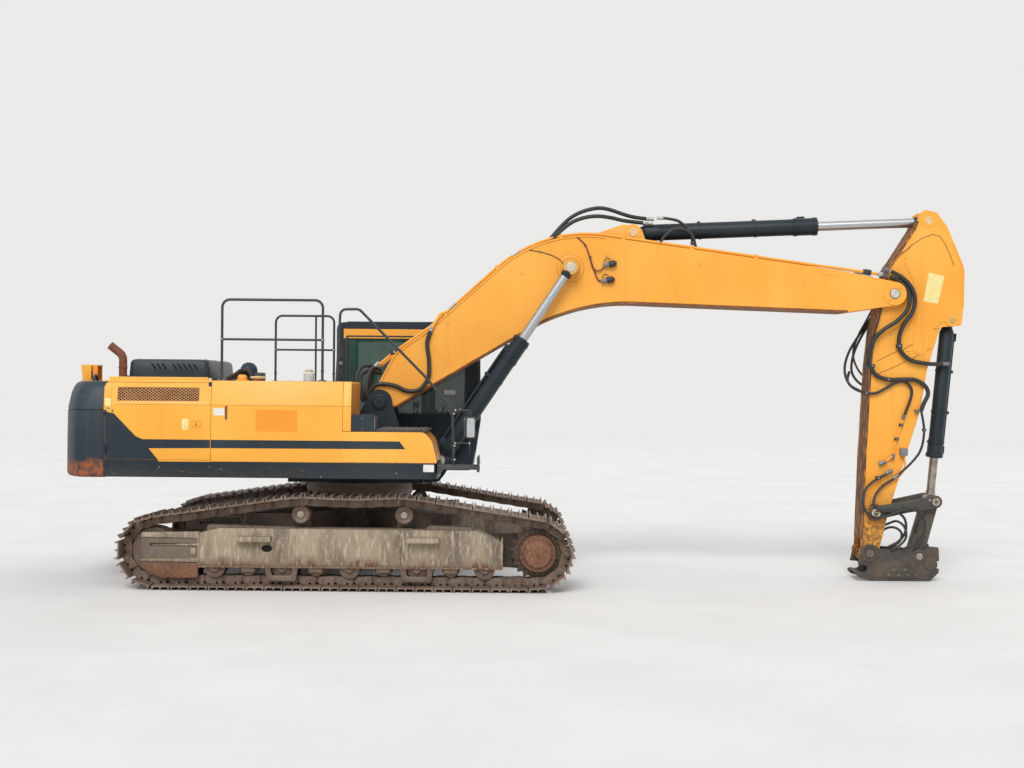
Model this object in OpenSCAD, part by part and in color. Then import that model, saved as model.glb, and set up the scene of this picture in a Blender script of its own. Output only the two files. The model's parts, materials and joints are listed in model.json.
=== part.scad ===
// Crawler excavator of the 38 tonne class, in millimetres.
// X points forward, Y to the machine's left, Z up from the ground.
// The working gear is drawn as it stands at rest.

/* [Tracks] */
// Distance between the sprocket's and the idler's centre
tumbler_dist = 4400; // [4000:10:4800]
// Distance between the middles of the two tracks
gauge = 2740; // [2640:10:2900]
// Width of a track shoe
shoe_w = 600; // [500:50:700]
// Shoes on one track
shoe_count = 51; // [50:1:53]
// Radius of the pin line round sprocket and idler
pin_r = 335; // [320:5:350]
// Height of the pin line over the grousers' tips
pin_h = 100; // [95:1:110]
// Height of the inner face of a shoe plate over the pin line
plate_in = 48; // [40:1:55]
// Thickness of a shoe plate
plate_t = 18; // [12:1:25]
// Height of the rail under the pin line
rail_drop = 52; // [45:1:60]
// Height of the pin line over the carrier rollers
top_pin_z = 1010; // [980:5:1020]
// Places of the carrier rollers along the machine
carrier_x = [-530, 660];
// Track rollers on one side
roller_count = 9; // [7:1:9]
// Distance between two track rollers
roller_pitch = 387; // [370:1:400]
// Radius of a track roller's tread
roller_r = 95; // [80:1:100]

/* [Upper structure] */
// Height of the gap under the upper structure
deck_low = 1275; // [1250:5:1300]
// Height of the deck's top
deck_top = 1455; // [1430:5:1480]
// Width of the upper structure
house_w = 2980; // [2900:10:3000]
// Front edge of the deck
deck_front = 1035; // [1000:5:1100]
// Front face of the counterweight
weight_front = -2800; // [-2850:5:-2750]
// Swing radius of the counterweight
tail_r = 3550; // [3450:10:3600]
// Height of the side panels' top
panel_top = 2390; // [2350:5:2450]
// Thickness of doors and panels
panel_t = 35; // [25:1:50]
// Rear face of the tank housing
tank_back = -1570; // [-1600:5:-1500]
// Front face of the tank housing
tank_front = 40; // [0:5:80]
// Inner side of the tank
tank_in = -450; // [-500:5:-400]
// Inner side of the toolbox, clear of the boom cylinder
box_in = -550; // [-600:5:-540]
// Height of the toolbox
box_top = 1815; // [1780:5:1850]
// Radius of a handrail's tube
rail_r = 19; // [15:1:22]

/* [Cab] */
// Inner side of the cab
cab_in = 550; // [550:5:600]
// Rear face of the cab
cab_back = -370; // [-380:5:-340]
// Front face of the cab
cab_front = 1470; // [1400:5:1500]
// Height of the cab's roof
cab_top = 3185; // [3100:5:3250]
// Thickness of the cab's walls and pillars
wall_t = 60; // [45:1:70]
// Thickness of a pane
glass_t = 6; // [4:1:8]

/* [Boom and arm] */
// Place of the boom's foot pin, forward of the swing axis
foot_x = 262; // [240:1:280]
// Height of the boom's foot pin
foot_z = 2152; // [2120:1:2180]
// Rise of the line from foot pin to tip pin
boom_rise = 12.36; // [12:0.01:13]
// Distance from foot pin to tip pin
boom_len = 6470; // [6450:1:6490]
// Width of the boom
boom_w = 590; // [570:1:600]
// Thickness of the boom's two tip plates
fork_t = 50; // [40:1:60]
// Direction of the line from arm pin to coupler pin
arm_turn = -94.83; // [-95.5:0.01:-94]
// Distance from arm pin to coupler pin
arm_len = 3210; // [3190:1:3230]
// Width of the arm
arm_w = 400; // [380:1:410]
// Direction of the line between the coupler's two pins
coupler_turn = -3; // [-4:0.1:-2]
// Distance between the coupler's two pins
coupler_len = 612; // [600:1:620]
// Radius of the coupler's two jaws
jaw_r = 45; // [35:1:50]
// Gap in a pin's bore
fit = 0.3; // [0.2:0.1:0.5]

/* [Cylinders] */
// Place of a boom cylinder's base pin, forward of the swing axis
base_x = 1020; // [1000:1:1030]
// Height of a boom cylinder's base pin
base_z = 1450; // [1440:1:1460]
// Distance of a boom cylinder from the machine's middle
boom_cyl_y = 435; // [430:1:438]
// Outer radius of a boom cylinder's barrel
boom_cyl_r = 95; // [85:1:98]
// Radius of a boom cylinder's rod
boom_rod_r = 55; // [50:1:60]
// Outer radius of the arm cylinder's barrel
arm_cyl_r = 102; // [95:1:105]
// Radius of the arm cylinder's rod
arm_rod_r = 60; // [50:1:65]
// Outer radius of the bucket cylinder's barrel
bucket_cyl_r = 88; // [80:1:92]
// Radius of the bucket cylinder's rod
bucket_rod_r = 52; // [45:1:58]

/* [Hidden] */
$fn = 48;

paint = [0.98, 0.68, 0.24];
slate = [0.2, 0.24, 0.28];
rust = [0.45, 0.3, 0.22];
steel = [0.75, 0.77, 0.8];
beige = [0.6, 0.55, 0.48];

// The part's origin lies under the middle of its length, this far in front of the swing axis
mid_x = 1950;
eps = 1;
track_mid = gauge / 2;
tumbler_x = tumbler_dist / 2;
tumbler_z = pin_h + pin_r;
side_y = house_w / 2;

// Pins of the boom in its own frame: along the pin line, and at right angles to it
boom_tip = [boom_len, 0];
boom_eye = [2631, 1124];
arm_cyl_pin = [3491, 1413];
// Pins of the arm in its own frame
rod_pin = [-947, 355];
bucket_cyl_pin = [247, 759];
rocker_pin = [arm_len - 506, 22];
rocker_end = [arm_len - 709, 742];

function turned(p, a) = [p[0] * cos(a) - p[1] * sin(a), p[0] * sin(a) + p[1] * cos(a)];
function boom_at(p) = [foot_x, foot_z] + turned(p, boom_rise);
arm_pin = boom_at(boom_tip);
function arm_at(p) = arm_pin + turned(p, arm_turn);
tip_pin = arm_at([arm_len, 0]);
link_pin = tip_pin + turned([coupler_len, 0], coupler_turn);
function heading(p, q) = atan2(q[1] - p[1], q[0] - p[0]);

// Corners given as [x, z, radius], rounded with arcs of a few steps
function unit(v) = v / norm(v);
function corner(a, b, c, r, steps) =
    let (u = unit(a - b), v = unit(c - b),
         half = acos(max(-1, min(1, u * v))) / 2,
         mid = b + unit(u + v) * r / sin(half),
         from = b + u * r / tan(half) - mid,
         to = b + v * r / tan(half) - mid,
         a0 = atan2(from[1], from[0]),
         raw = atan2(to[1], to[0]) - a0,
         sweep = raw > 180 ? raw - 360 : raw < -180 ? raw + 360 : raw)
    [for (i = [0 : steps]) mid + r * [cos(a0 + sweep * i / steps), sin(a0 + sweep * i / steps)]];
function rounded(p, steps = 6) =
    let (n = len(p), xz = [for (q = p) [q[0], q[1]]])
    [for (i = [0 : n - 1])
        each p[i][2] == 0 ? [xz[i]] :
        corner(xz[(i + n - 1) % n], xz[i], xz[(i + 1) % n], p[i][2], steps)];

// A side view drawn in X and Z, given a width from y0 to y1
module side(y0, y1) {
    translate([0, y1, 0]) rotate([90, 0, 0]) linear_extrude(y1 - y0) children();
}
module both_sides() {
    children();
    mirror([0, 1, 0]) children();
}
module across(p, r, y0, y1) {
    translate([p[0], y1, p[1]]) rotate([90, 0, 0]) cylinder(h = y1 - y0, r = r);
}
module block(x0, x1, y0, y1, z0, z1) {
    translate([x0, y0, z0]) cube([x1 - x0, y1 - y0, z1 - z0]);
}
// Tube swept along points [x, y, z] that keep off the Y direction, with a number of flat sides
function ring(p, t, r, sides) =
    let (u = unit([0, 1, 0] - t * t[1]), v = cross(t, u))
    [for (k = [0 : sides - 1]) p + r * (cos(360 * k / sides) * u + sin(360 * k / sides) * v)];
module tube(points, r, sides = 10) {
    last = len(points) - 1;
    rings = [for (i = [0 : last])
        let (before = i > 0 ? unit(points[i] - points[i - 1]) : unit(points[1] - points[0]),
             after = i < last ? unit(points[i + 1] - points[i]) : before)
        each ring(points[i], unit(before + after), r, sides)];
    skin = [for (i = [0 : last - 1], k = [0 : sides - 1])
        [i * sides + k, (i + 1) * sides + k, (i + 1) * sides + (k + 1) % sides, i * sides + (k + 1) % sides]];
    polyhedron(rings, concat([[for (k = [0 : sides - 1]) k]], skin,
        [[for (k = [sides - 1 : -1 : 0]) last * sides + k]]));
}
// Path in X and Z at one place across the machine, its corners [x, z, radius] rounded
function path(y, p, steps = 4) = let (n = len(p) - 1, xz = [for (q = p) [q[0], q[1]]])
    [for (i = [0 : n]) each i == 0 || i == n || p[i][2] == 0 ? [[xz[i][0], y, xz[i][1]]] :
        [for (q = corner(xz[i - 1], xz[i], xz[i + 1], p[i][2], steps)) [q[0], y, q[1]]]];

module machine() { translate([-mid_x, 0, 0]) children(); }
module in_boom() {
    machine() translate([foot_x, 0, foot_z]) rotate([0, -boom_rise, 0]) children();
}
module in_arm() {
    machine() translate([arm_pin[0], 0, arm_pin[1]]) rotate([0, -arm_turn, 0]) children();
}
module in_coupler() {
    machine() translate([tip_pin[0], 0, tip_pin[1]]) rotate([0, -coupler_turn, 0]) children();
}
// Frame of a cylinder: X along it from its base pin towards its rod's eye
module in_cylinder(from, to) {
    machine() translate([from[0], 0, from[1]]) rotate([0, -heading(from, to), 0]) children();
}

// Track: the pin line, its pins and its shoes
arc_step = 5;
pin_line = concat(
    [[-tumbler_x, pin_h]],
    [for (a = [-90 : arc_step : 80]) [tumbler_x + pin_r * cos(a), tumbler_z + pin_r * sin(a)]],
    [[carrier_x[1] + 60, top_pin_z - 3], [carrier_x[1] - 60, top_pin_z],
     [(carrier_x[0] + carrier_x[1]) / 2, top_pin_z - 25],
     [carrier_x[0] + 60, top_pin_z], [carrier_x[0] - 60, top_pin_z - 3]],
    [for (a = [95 : arc_step : 265]) [-tumbler_x + pin_r * cos(a), tumbler_z + pin_r * sin(a)]]
);
line_count = len(pin_line);
function run(i) = i == 0 ? 0 : run(i - 1) + norm(pin_line[i % line_count] - pin_line[i - 1]);
runs = [for (i = [0 : line_count]) run(i)];
shoe_pitch = runs[line_count] / shoe_count;
function on_line(s, i = 0) = s <= runs[i + 1] ?
    pin_line[i] + (pin_line[(i + 1) % line_count] - pin_line[i]) * (s - runs[i]) / (runs[i + 1] - runs[i]) :
    on_line(s, i + 1);
pins = [for (i = [0 : shoe_count - 1]) on_line(i * shoe_pitch)];
function pin(i) = pins[(i + shoe_count) % shoe_count];
function out(i) = let (d = unit(pin(i + 1) - pin(i))) [d[1], -d[0]];
function out_at_pin(i) = unit(out(i - 1) + out(i));
// Outline of one shoe: along the track, and out from the pin line
ridge = pin_h;
flat = plate_in + plate_t;
shoe_side = [[-103, flat], [-92, ridge], [-72, flat], [-14, flat], [0, ridge], [14, flat],
             [72, flat], [92, ridge], [103, flat], [105, plate_in + 4]];
function on_shoe(i, p) =
    (pin(i) + pin(i + 1)) / 2 + unit(pin(i + 1) - pin(i)) * p[0] + out(i) * p[1];
shoe_outline = [for (i = [0 : shoe_count - 1]) for (p = shoe_side) on_shoe(i, p)];
function loop(h) = [for (i = [0 : shoe_count - 1]) pin(i) + out_at_pin(i) * h];

link_in = 45;
link_out = 95;
module track() {
    color(rust) machine() {
        side(track_mid - shoe_w / 2, track_mid + shoe_w / 2) difference() {
            polygon(shoe_outline);
            polygon(loop(plate_in));
        }
        for (y = [-link_out, link_in])
            side(track_mid + y, track_mid + y + link_out - link_in) difference() {
                polygon(loop(plate_in + 8));
                polygon(loop(-rail_drop));
            }
    }
}

tread_r = sqrt(pin_r * pin_r - shoe_pitch * shoe_pitch / 4) - rail_drop - 2;
roller_z = pin_h + rail_drop + fit + roller_r;
roller_mid = 40;
function roller_x(i) = roller_mid + (i - (roller_count - 1) / 2) * roller_pitch;
carrier_r = 90;
carrier_z = top_pin_z - rail_drop - 9 - carrier_r;
// Track frame's own sizes
frame_out = 165;
frame_plate = 22;
frame_low = 250;
channel_top = 362;
yoke_back = -2340;
yoke_front = -1690;
frame_front = 1790;

module track_frame() {
    color(beige) machine() {
        difference() {
            side(track_mid - frame_out, track_mid + frame_out)
                polygon(rounded([[yoke_front, frame_low, 0], [frame_front, frame_low, 0],
                    [frame_front, 560, 60], [1500, 690, 80], [-1450, 720, 80], [yoke_front, 660, 0]]));
            block(yoke_front - eps, frame_front + eps, track_mid - frame_out + frame_plate,
                track_mid + frame_out - frame_plate, frame_low - eps, channel_top);
        }
        // Yoke plates beside the idler, joined to the frame by a block behind it
        for (y = [track_mid - frame_out, track_mid + frame_out - frame_plate])
            side(y, y + frame_plate) polygon(rounded([[yoke_front, 150, 0], [yoke_front, 660, 0],
                [yoke_back + 60, 640, 90], [yoke_back, 400, 90], [yoke_back + 60, 150, 60]]));
        block(yoke_front - 60, yoke_front + eps, track_mid - frame_out, track_mid + frame_out, 300, 640);
        // Flange that carries the final drive
        side(track_mid - frame_out - 20, track_mid - frame_out + 10) {
            translate([tumbler_x, tumbler_z]) circle(r = 215);
            polygon([[frame_front - 250, frame_low], [tumbler_x, tumbler_z - 215],
                [tumbler_x, tumbler_z + 215], [frame_front - 250, 640]]);
        }
        // Carrier roller brackets
        for (x = carrier_x)
            side(track_mid - frame_out + 5, track_mid - 110)
                polygon([[x - 110, 600], [x + 110, 600], [x + 70, carrier_z + 60], [x - 70, carrier_z + 60]]);
        // Guards of the chain and the steps on the outer side
        for (i = [2, 6])
            block(roller_x(i) - 45, roller_x(i) + 45, track_mid + frame_out - eps,
                track_mid + frame_out + 22, 210, 330);
        for (x = [[-1250, -850], [700, 1075]])
            difference() {
                block(x[0], x[1], track_mid + frame_out - eps, track_mid + shoe_w / 2 - 15, 555, 615);
                block(x[0] + 40, x[1] - 40, track_mid + frame_out + 30, track_mid + shoe_w / 2, 550, 595);
            }
    }
}

leg_low = 520;
ring_low = 1020;
ring_r = 650;
ring_top = deck_low - 100;
module lower_frame() {
    color(beige) machine() difference() {
        union() {
            translate([0, 0, 480]) cylinder(h = ring_low - 480, r = 620);
            for (sx = [-1, 1], sy = [-1, 1])
                translate([0, 0, leg_low]) linear_extrude(330)
                    polygon([[sx * 150, sy * 520], [sx * 560, sy * 160],
                        [sx * 1200, sy * (track_mid - frame_out)], [sx * 620, sy * (track_mid - frame_out)]]);
        }
        translate([0, 0, 400]) cylinder(h = 700, r = 400);
    }
}
module swing_ring() {
    color(steel) machine() difference() {
        translate([0, 0, ring_low]) cylinder(h = ring_top - ring_low - fit, r = ring_r);
        translate([0, 0, ring_low - eps]) cylinder(h = 400, r = 500);
    }
}

tooth_count = 21;
sprocket_half = 36;
drive_r = 180;
module sprocket() {
    side(track_mid - sprocket_half, track_mid + sprocket_half)
        translate([tumbler_x, tumbler_z]) difference() {
            union() {
                circle(r = 285);
                for (i = [0 : tooth_count - 1]) rotate(360 * i / tooth_count)
                    polygon([[270, -34], [318, -16], [318, 16], [270, 34]]);
            }
            circle(r = drive_r + fit);
        }
}
module sprockets() { color(rust) machine() both_sides() sprocket(); }
module final_drives() {
    color(rust) machine() both_sides() {
        c = [tumbler_x, tumbler_z];
        across(c, 150, track_mid - frame_out - 115, track_mid - frame_out - 20);
        across(c, 205, track_mid - frame_out + 10, track_mid - sprocket_half - fit);
        across(c, drive_r, track_mid - sprocket_half - eps, track_mid + sprocket_half + eps);
        across(c, 215, track_mid + sprocket_half + fit, track_mid + 175);
        across(c, 160, track_mid + 170, track_mid + 200);
    }
}
module idlers() {
    color(rust) machine() both_sides() {
        c = [-tumbler_x, tumbler_z];
        across(c, tread_r, track_mid - 100, track_mid + 100);
        across(c, tread_r + 22, track_mid - 38, track_mid + 38);
        across(c, 70, track_mid - frame_out + frame_plate, track_mid + frame_out - frame_plate);
    }
}
module track_rollers() {
    color(rust) machine() both_sides() for (i = [0 : roller_count - 1]) {
        c = [roller_x(i), roller_z];
        across(c, roller_r, track_mid - 120, track_mid + 120);
        across(c, 40, track_mid - frame_out + frame_plate, track_mid + frame_out - frame_plate);
    }
}
module carrier_rollers() {
    color(rust) machine() both_sides() for (x = carrier_x) {
        across([x, carrier_z], carrier_r, track_mid - 100, track_mid + 100);
        across([x, carrier_z], 35, track_mid - 110, track_mid - 90);
    }
}

// Upper structure
bracket_in = 305;
bracket_out = 335;
foot_pin_r = 55;
base_pin_r = 45;
cab_floor_z = deck_low;
module bracket_side() {
    difference() {
        union() {
            polygon(rounded([[-760, ring_top, 0], [1000, ring_top, 60], [1150, 1400, 110], [1110, 1560, 110],
                [560, 1700, 120], [foot_x + 155, foot_z - 10, 0], [foot_x - 155, foot_z + 20, 0],
                [-260, 1560, 200], [-760, 1480, 0]]));
            translate([foot_x, foot_z]) circle(r = 155);
        }
    }
}
module house_frame() {
    color(slate) machine() {
        difference() {
            linear_slab(deck_low, deck_top);
            block(weight_front + 100, -900, -side_y + 60, -700, deck_low - eps, deck_top - 30);
            block(weight_front + 100, -900, 700, side_y - 60, deck_low - eps, deck_top - 30);
            block(-800, deck_front - 100, -side_y + 60, -700, deck_low - eps, deck_top - 30);
            block(weight_front + 100, -900, -600, 600, deck_low - eps, deck_top - 30);
            block(cab_back - 20, deck_front + 200, cab_in - 10, side_y + eps, deck_low - eps, deck_top + eps);
            both_sides()
                block(base_x - 150, deck_front + 200, bracket_out, cab_in - 5, deck_low - eps, deck_top + eps);
        }
        block(-820, 820, -cab_in + 10, cab_in - 10, ring_top, deck_low + 30);
        block(cab_back, deck_front - 100, 500, side_y - 40, ring_top + 20, deck_low);
        for (y = [-bracket_out, bracket_in]) side(y, y + bracket_out - bracket_in) bracket_side();
        across([foot_x, foot_z], foot_pin_r, -bracket_out - 25, bracket_out + 25);
        for (s = [-1, 1]) {
            y = s > 0 ? bracket_out - eps : -boom_cyl_y - 75;
            across([base_x, base_z], base_pin_r, y, y + boom_cyl_y + 75 - bracket_out + eps);
            z = s > 0 ? boom_cyl_y + 60 : -boom_cyl_y - 75;
            across([base_x, base_z], base_pin_r + 20, z, z + 15);
        }
    }
}
module linear_slab(z0, z1) {
    translate([0, 0, z0]) linear_extrude(z1 - z0)
        polygon(rounded([[weight_front, -side_y, 0], [deck_front, -side_y, 120], [deck_front, side_y, 120],
            [weight_front, side_y, 0]]));
}
module counterweight() {
    color(slate) machine() intersection() {
        rotate([0, 0, 90]) rotate_extrude(angle = 180, $fn = 96)
            polygon(rounded([[0, deck_low - 10, 0], [tail_r - 30, deck_low - 10, 90], [tail_r, 1700, 300],
                [tail_r - 20, panel_top - 15, 110], [0, panel_top - 15, 0]]));
        translate([0, 0, deck_low - 10]) linear_extrude(panel_top - deck_low)
            polygon(rounded([[weight_front - fit, -side_y, 0], [weight_front - fit, side_y, 0],
                [-tail_r - 100, side_y, 160], [-tail_r - 100, -side_y, 160]]));
    }
}
module engine() {
    color(slate) machine() block(-2550, -1750, -700, 800, deck_top, 2180);
}

// Openings of the housing's doors: [front, back], as places along the machine
door_low = 1475;
door_top = 2360;
pump_span = [tank_back - 5, weight_front + 10];
cooler_span = [-1640, weight_front + 10];
filter_span = [-480, -1610];
hood_span = [weight_front + 1070, weight_front + 100];
hood_half = 800;
housing_front = cab_back - 30;
module rear_housing() {
    color(paint) machine() difference() {
        union() {
            block(weight_front, tank_back - fit, -side_y, side_y, deck_top, panel_top);
            block(tank_back - 60, housing_front, tank_in + fit, side_y, deck_top, panel_top);
        }
        block(weight_front + panel_t, tank_back - panel_t, -side_y + panel_t, side_y - panel_t,
            deck_top - eps, panel_top - panel_t);
        block(tank_back - 100, housing_front - panel_t, 400, side_y - panel_t,
            deck_top - eps, panel_top - panel_t);
        // Room behind the boom's foot stays open to the front
        block(-900, housing_front + eps, tank_in - eps, 360, deck_top - eps, panel_top + eps);
        block(hood_span[1] + 40, hood_span[0] - 40, -hood_half + 40, hood_half - 40, 2300, panel_top + eps);
        block(pump_span[1] - fit, pump_span[0] + 10, -side_y - eps, -side_y + panel_t + eps, door_low - 4, door_top + 4);
        block(cooler_span[1] - fit, cooler_span[0] + 4, side_y - panel_t - eps, side_y + eps, door_low - 4, door_top + 4);
        block(filter_span[1] - fit, filter_span[0] + 4, side_y - panel_t - eps, side_y + eps, door_low - 4, door_top + 4);
    }
    color(paint) machine() {
        frame_hinges(pump_span[1], -1, door_low, door_top);
        frame_hinges(cooler_span[1], 1, door_low, door_top);
        frame_hinges(filter_span[1], 1, door_low, door_top);
        hood_hinges(knuckle_h, hood_span[0] + axis_out, hood_span[0] + 50);
    }
}
// Hinges: the moving knuckles, and below or beside them those of the frame
knuckle_r = 10;
knuckle_h = 50;
axis_out = 12;
axis_in = 10;
leaf = [2, 6];
module on_side(s) {
    if (s > 0) children();
    else mirror([0, 1, 0]) children();
}
module knuckle(x, z) {
    translate([x + axis_in, side_y + axis_out, z]) cylinder(h = knuckle_h - fit, r = knuckle_r);
}
module door_hinges(x, s, low, high) {
    on_side(s) for (z = [low + 120, high - 180]) {
        knuckle(x, z);
        block(x + axis_in, x + 50, side_y - eps, side_y + leaf[1], z, z + knuckle_h - fit);
    }
}
module frame_hinges(x, s, low, high) {
    on_side(s) for (z = [low + 120 - knuckle_h, high - 180 - knuckle_h]) {
        knuckle(x, z);
        block(x - 8, x + axis_in, side_y + leaf[0], side_y + leaf[1], z, z + knuckle_h - fit);
        block(x - 8, x - 1, side_y - eps, side_y + leaf[1], z, z + knuckle_h - fit);
    }
}
module hood_hinges(start, from, to) {
    for (y = [-430, 380]) {
        across([hood_span[0] + axis_out, panel_top + axis_out], knuckle_r, y + start, y + start + knuckle_h - fit);
        block(from, to, y + start, y + start + knuckle_h - fit, panel_top + (start > 0 ? -eps : leaf[0]),
            panel_top + leaf[1] + leaf[0]);
    }
}
module side_door(span, s) {
    y = s > 0 ? side_y - panel_t : -side_y;
    block(span[1], span[0], y, y + panel_t, door_low, door_top);
    door_hinges(span[1], s, door_low, door_top);
}
module pump_door() { color(paint) machine() side_door(pump_span, -1); }
module cooler_door() { color(paint) machine() side_door(cooler_span, 1); }
module filter_door() { color(paint) machine() side_door(filter_span, 1); }
module engine_hood() {
    color(slate) machine() difference() {
        side(-hood_half, hood_half) polygon(rounded([[hood_span[1], panel_top + 0.3, 0], [hood_span[0], panel_top + 0.3, 0],
            [hood_span[0] - 20, panel_top + 255, 60], [hood_span[1] + 20, panel_top + 255, 60]]));
        side(-hood_half + 25, hood_half - 25) polygon([[hood_span[1] + 30, panel_top - 10], [hood_span[0] - 30, panel_top - 10],
            [hood_span[0] - 50, panel_top + 230], [hood_span[1] + 50, panel_top + 230]]);
    }
    color(slate) machine() hood_hinges(0, hood_span[0] - 2, hood_span[0] + axis_out);
}
module fuel_tank() {
    color(paint) machine() side(-side_y, tank_in)
        polygon(rounded([[tank_back, deck_top, 0], [tank_front - 100, deck_top, 0], [tank_front - 100, box_top, 0],
            [tank_front, box_top, 0], [tank_front, panel_top, 45], [tank_back, panel_top, 0]]));
}
module toolbox() {
    color(paint) machine() side(-side_y, box_in)
        polygon(rounded([[tank_front - 100 + fit, deck_top, 0], [deck_front - 5, deck_top, 0],
            [deck_front - 60, 1715, 150], [deck_front - 150, box_top - fit, 90], [tank_front - 100 + fit, box_top - fit, 0]]));
}
module step_plate() {
    color(slate) machine() side(-side_y + 20, box_in - 20)
        polygon([[330, box_top], [330, box_top + 38], [910, box_top + 38], [940, box_top + 30], [900, box_top]]);
}
module filler_box() {
    color(slate) machine() block(tank_front + fit, 320, -side_y + 20, -side_y + 420, box_top, box_top + 200);
}
module front_step() {
    color(slate) machine() {
        block(deck_front + fit, deck_front + 480, -side_y + 40, -950, 1400, 1425);
        block(deck_front + fit, deck_front + 30, -side_y + 40, -950, 1340, 1450);
        block(deck_front + 455, deck_front + 480, -side_y + 40, -950, 1360, 1540);
    }
}
module exhaust_pipe() {
    color(rust) machine() {
        x = weight_front + 65;
        tube(path(-900, [[x, panel_top + fit, 0], [x, 2680, 110], [x - 160, 2805, 0]]), 48, 16);
    }
}
module camera_hood() {
    color(paint) machine() {
        top = panel_top - 15;
        back = -tail_r + 90;
        block(back, back + 210, -110, 110, top, top + 12);
        block(back, back + 210, -110, -98, top + 12, top + 190);
        block(back, back + 210, 98, 110, top + 12, top + 190);
        block(back, back + 210, -110, 110, top + 190, top + 205);
    }
}
rail_y = -1350;
module handrails() {
    color(slate) machine() {
        foot = panel_top + fit;
        tube(path(rail_y, [[-1475, foot, 0], [-1475, 3330, 90], [-310, 3330, 90], [-310, foot, 0]]), rail_r);
        tube(path(rail_y, [[-1475, 2870, 0], [-310, 2870, 0]]), rail_r - 3, 8);
        tube(path(-rail_y, [[-1280, foot, 0], [-1280, 3280, 90], [-500, 3280, 90], [-500, foot, 0]]), rail_r);
        tube(path(-rail_y, [[-1280, 2825, 0], [-500, 2825, 0]]), rail_r - 3, 8);
        tube(path(rail_y, [[-145, panel_top + 1.5, 0], [-107, 3228, 70], [110, 3232, 90], [890, 2447, 300],
            [1197, 2078, 60], [1220, 1426.5, 0]]), rail_r);
    }
}
module mirrors() {
    color(slate) machine() {
        tube(path(rail_y, [[1197 + rail_r + fit, 2074, 0], [1400, 2070, 30], [1400, 1990, 0]]), 12, 8);
        block(1340, 1465, rail_y - 60, rail_y + 60, 1740, 2000);
    }
}

// Cab: its side view, walls and windows
cab_out = side_y;
module cab_side(inset) {
    polygon(rounded([[cab_back + inset, cab_floor_z + inset, 0], [cab_front - 90 - inset, cab_floor_z + inset, 60],
        [cab_front - inset, 1900, 300], [cab_front - 20 - inset, cab_top - inset, 160],
        [cab_back + inset, cab_top - 20 - inset, 90]]));
}
door_span = [cab_back + 90, 760];
door_z = [cab_floor_z + 70, cab_top - 150];
right_window = [cab_back + 120, 1300, 1980, cab_top - 190];
module cab_shell() {
    color(slate) machine() difference() {
        side(cab_in, cab_out) cab_side(0);
        side(cab_in + wall_t, cab_out - wall_t) cab_side(wall_t);
        block(right_window[0], right_window[1], cab_in - eps, cab_in + wall_t + eps, right_window[2], right_window[3]);
        block(door_span[0], door_span[1], cab_out - wall_t - eps, cab_out + eps, door_z[0], door_z[1]);
        block(door_span[1] + 70, cab_front - 110, cab_out - wall_t - eps, cab_out + eps, 1980, cab_top - 190);
        block(cab_front - 300, cab_front + eps, cab_in + 70, cab_out - 70, 1500, cab_top - 150);
        block(cab_back - eps, cab_back + wall_t + eps, cab_in + 110, cab_out - 110, 2150, cab_top - 200);
    }
    color(slate) machine() frame_hinges(door_span[0], 1, door_z[0], door_z[1]);
}
module cab_glass() {
    color([0.5, 0.75, 0.65, 0.6]) machine() {
        block(right_window[0], right_window[1], cab_in + 20, cab_in + 20 + glass_t, right_window[2], right_window[3]);
        block(door_span[1] + 70, cab_front - 110, cab_out - 20 - glass_t, cab_out - 20, 1980, cab_top - 190);
        block(cab_back + 20, cab_back + 20 + glass_t, cab_in + 110, cab_out - 110, 2150, cab_top - 200);
        intersection() {
            side(cab_in + 70, cab_out - 70) difference() {
                cab_side(20);
                cab_side(20 + glass_t);
            }
            block(cab_front - 300, cab_front, cab_in, cab_out, 1500, cab_top - 150);
        }
    }
}
module seat() {
    color([0.2, 0.2, 0.22]) machine() {
        block(150, 650, 780, 1260, 1760, 1900);
        block(60, 200, 780, 1260, 1760, 2650);
        block(250, 550, 880, 1160, cab_floor_z + wall_t, 1760);
    }
}
module console() {
    color([0.2, 0.2, 0.22]) machine() {
        for (y = [[cab_in + wall_t, 740], [1300, cab_out - wall_t]])
            block(100, 700, y[0], y[1], cab_floor_z + wall_t, 1980);
    }
}
module cab_door() {
    color(slate) machine() difference() {
        block(door_span[0] + fit, door_span[1] - 5, cab_out - wall_t + 5, cab_out, door_z[0] + 5, door_z[1] - 5);
        block(door_span[0] + 80, door_span[1] - 80, cab_out - wall_t, cab_out + eps, 1900, door_z[1] - 80);
    }
    color(slate) machine() door_hinges(door_span[0], 1, door_z[0], door_z[1]);
}
module door_glass() {
    color([0.5, 0.75, 0.65, 0.6]) machine()
        block(door_span[0] + 80, door_span[1] - 80, cab_out - 30, cab_out - 30 + glass_t, 1900, door_z[1] - 80);
}

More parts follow.
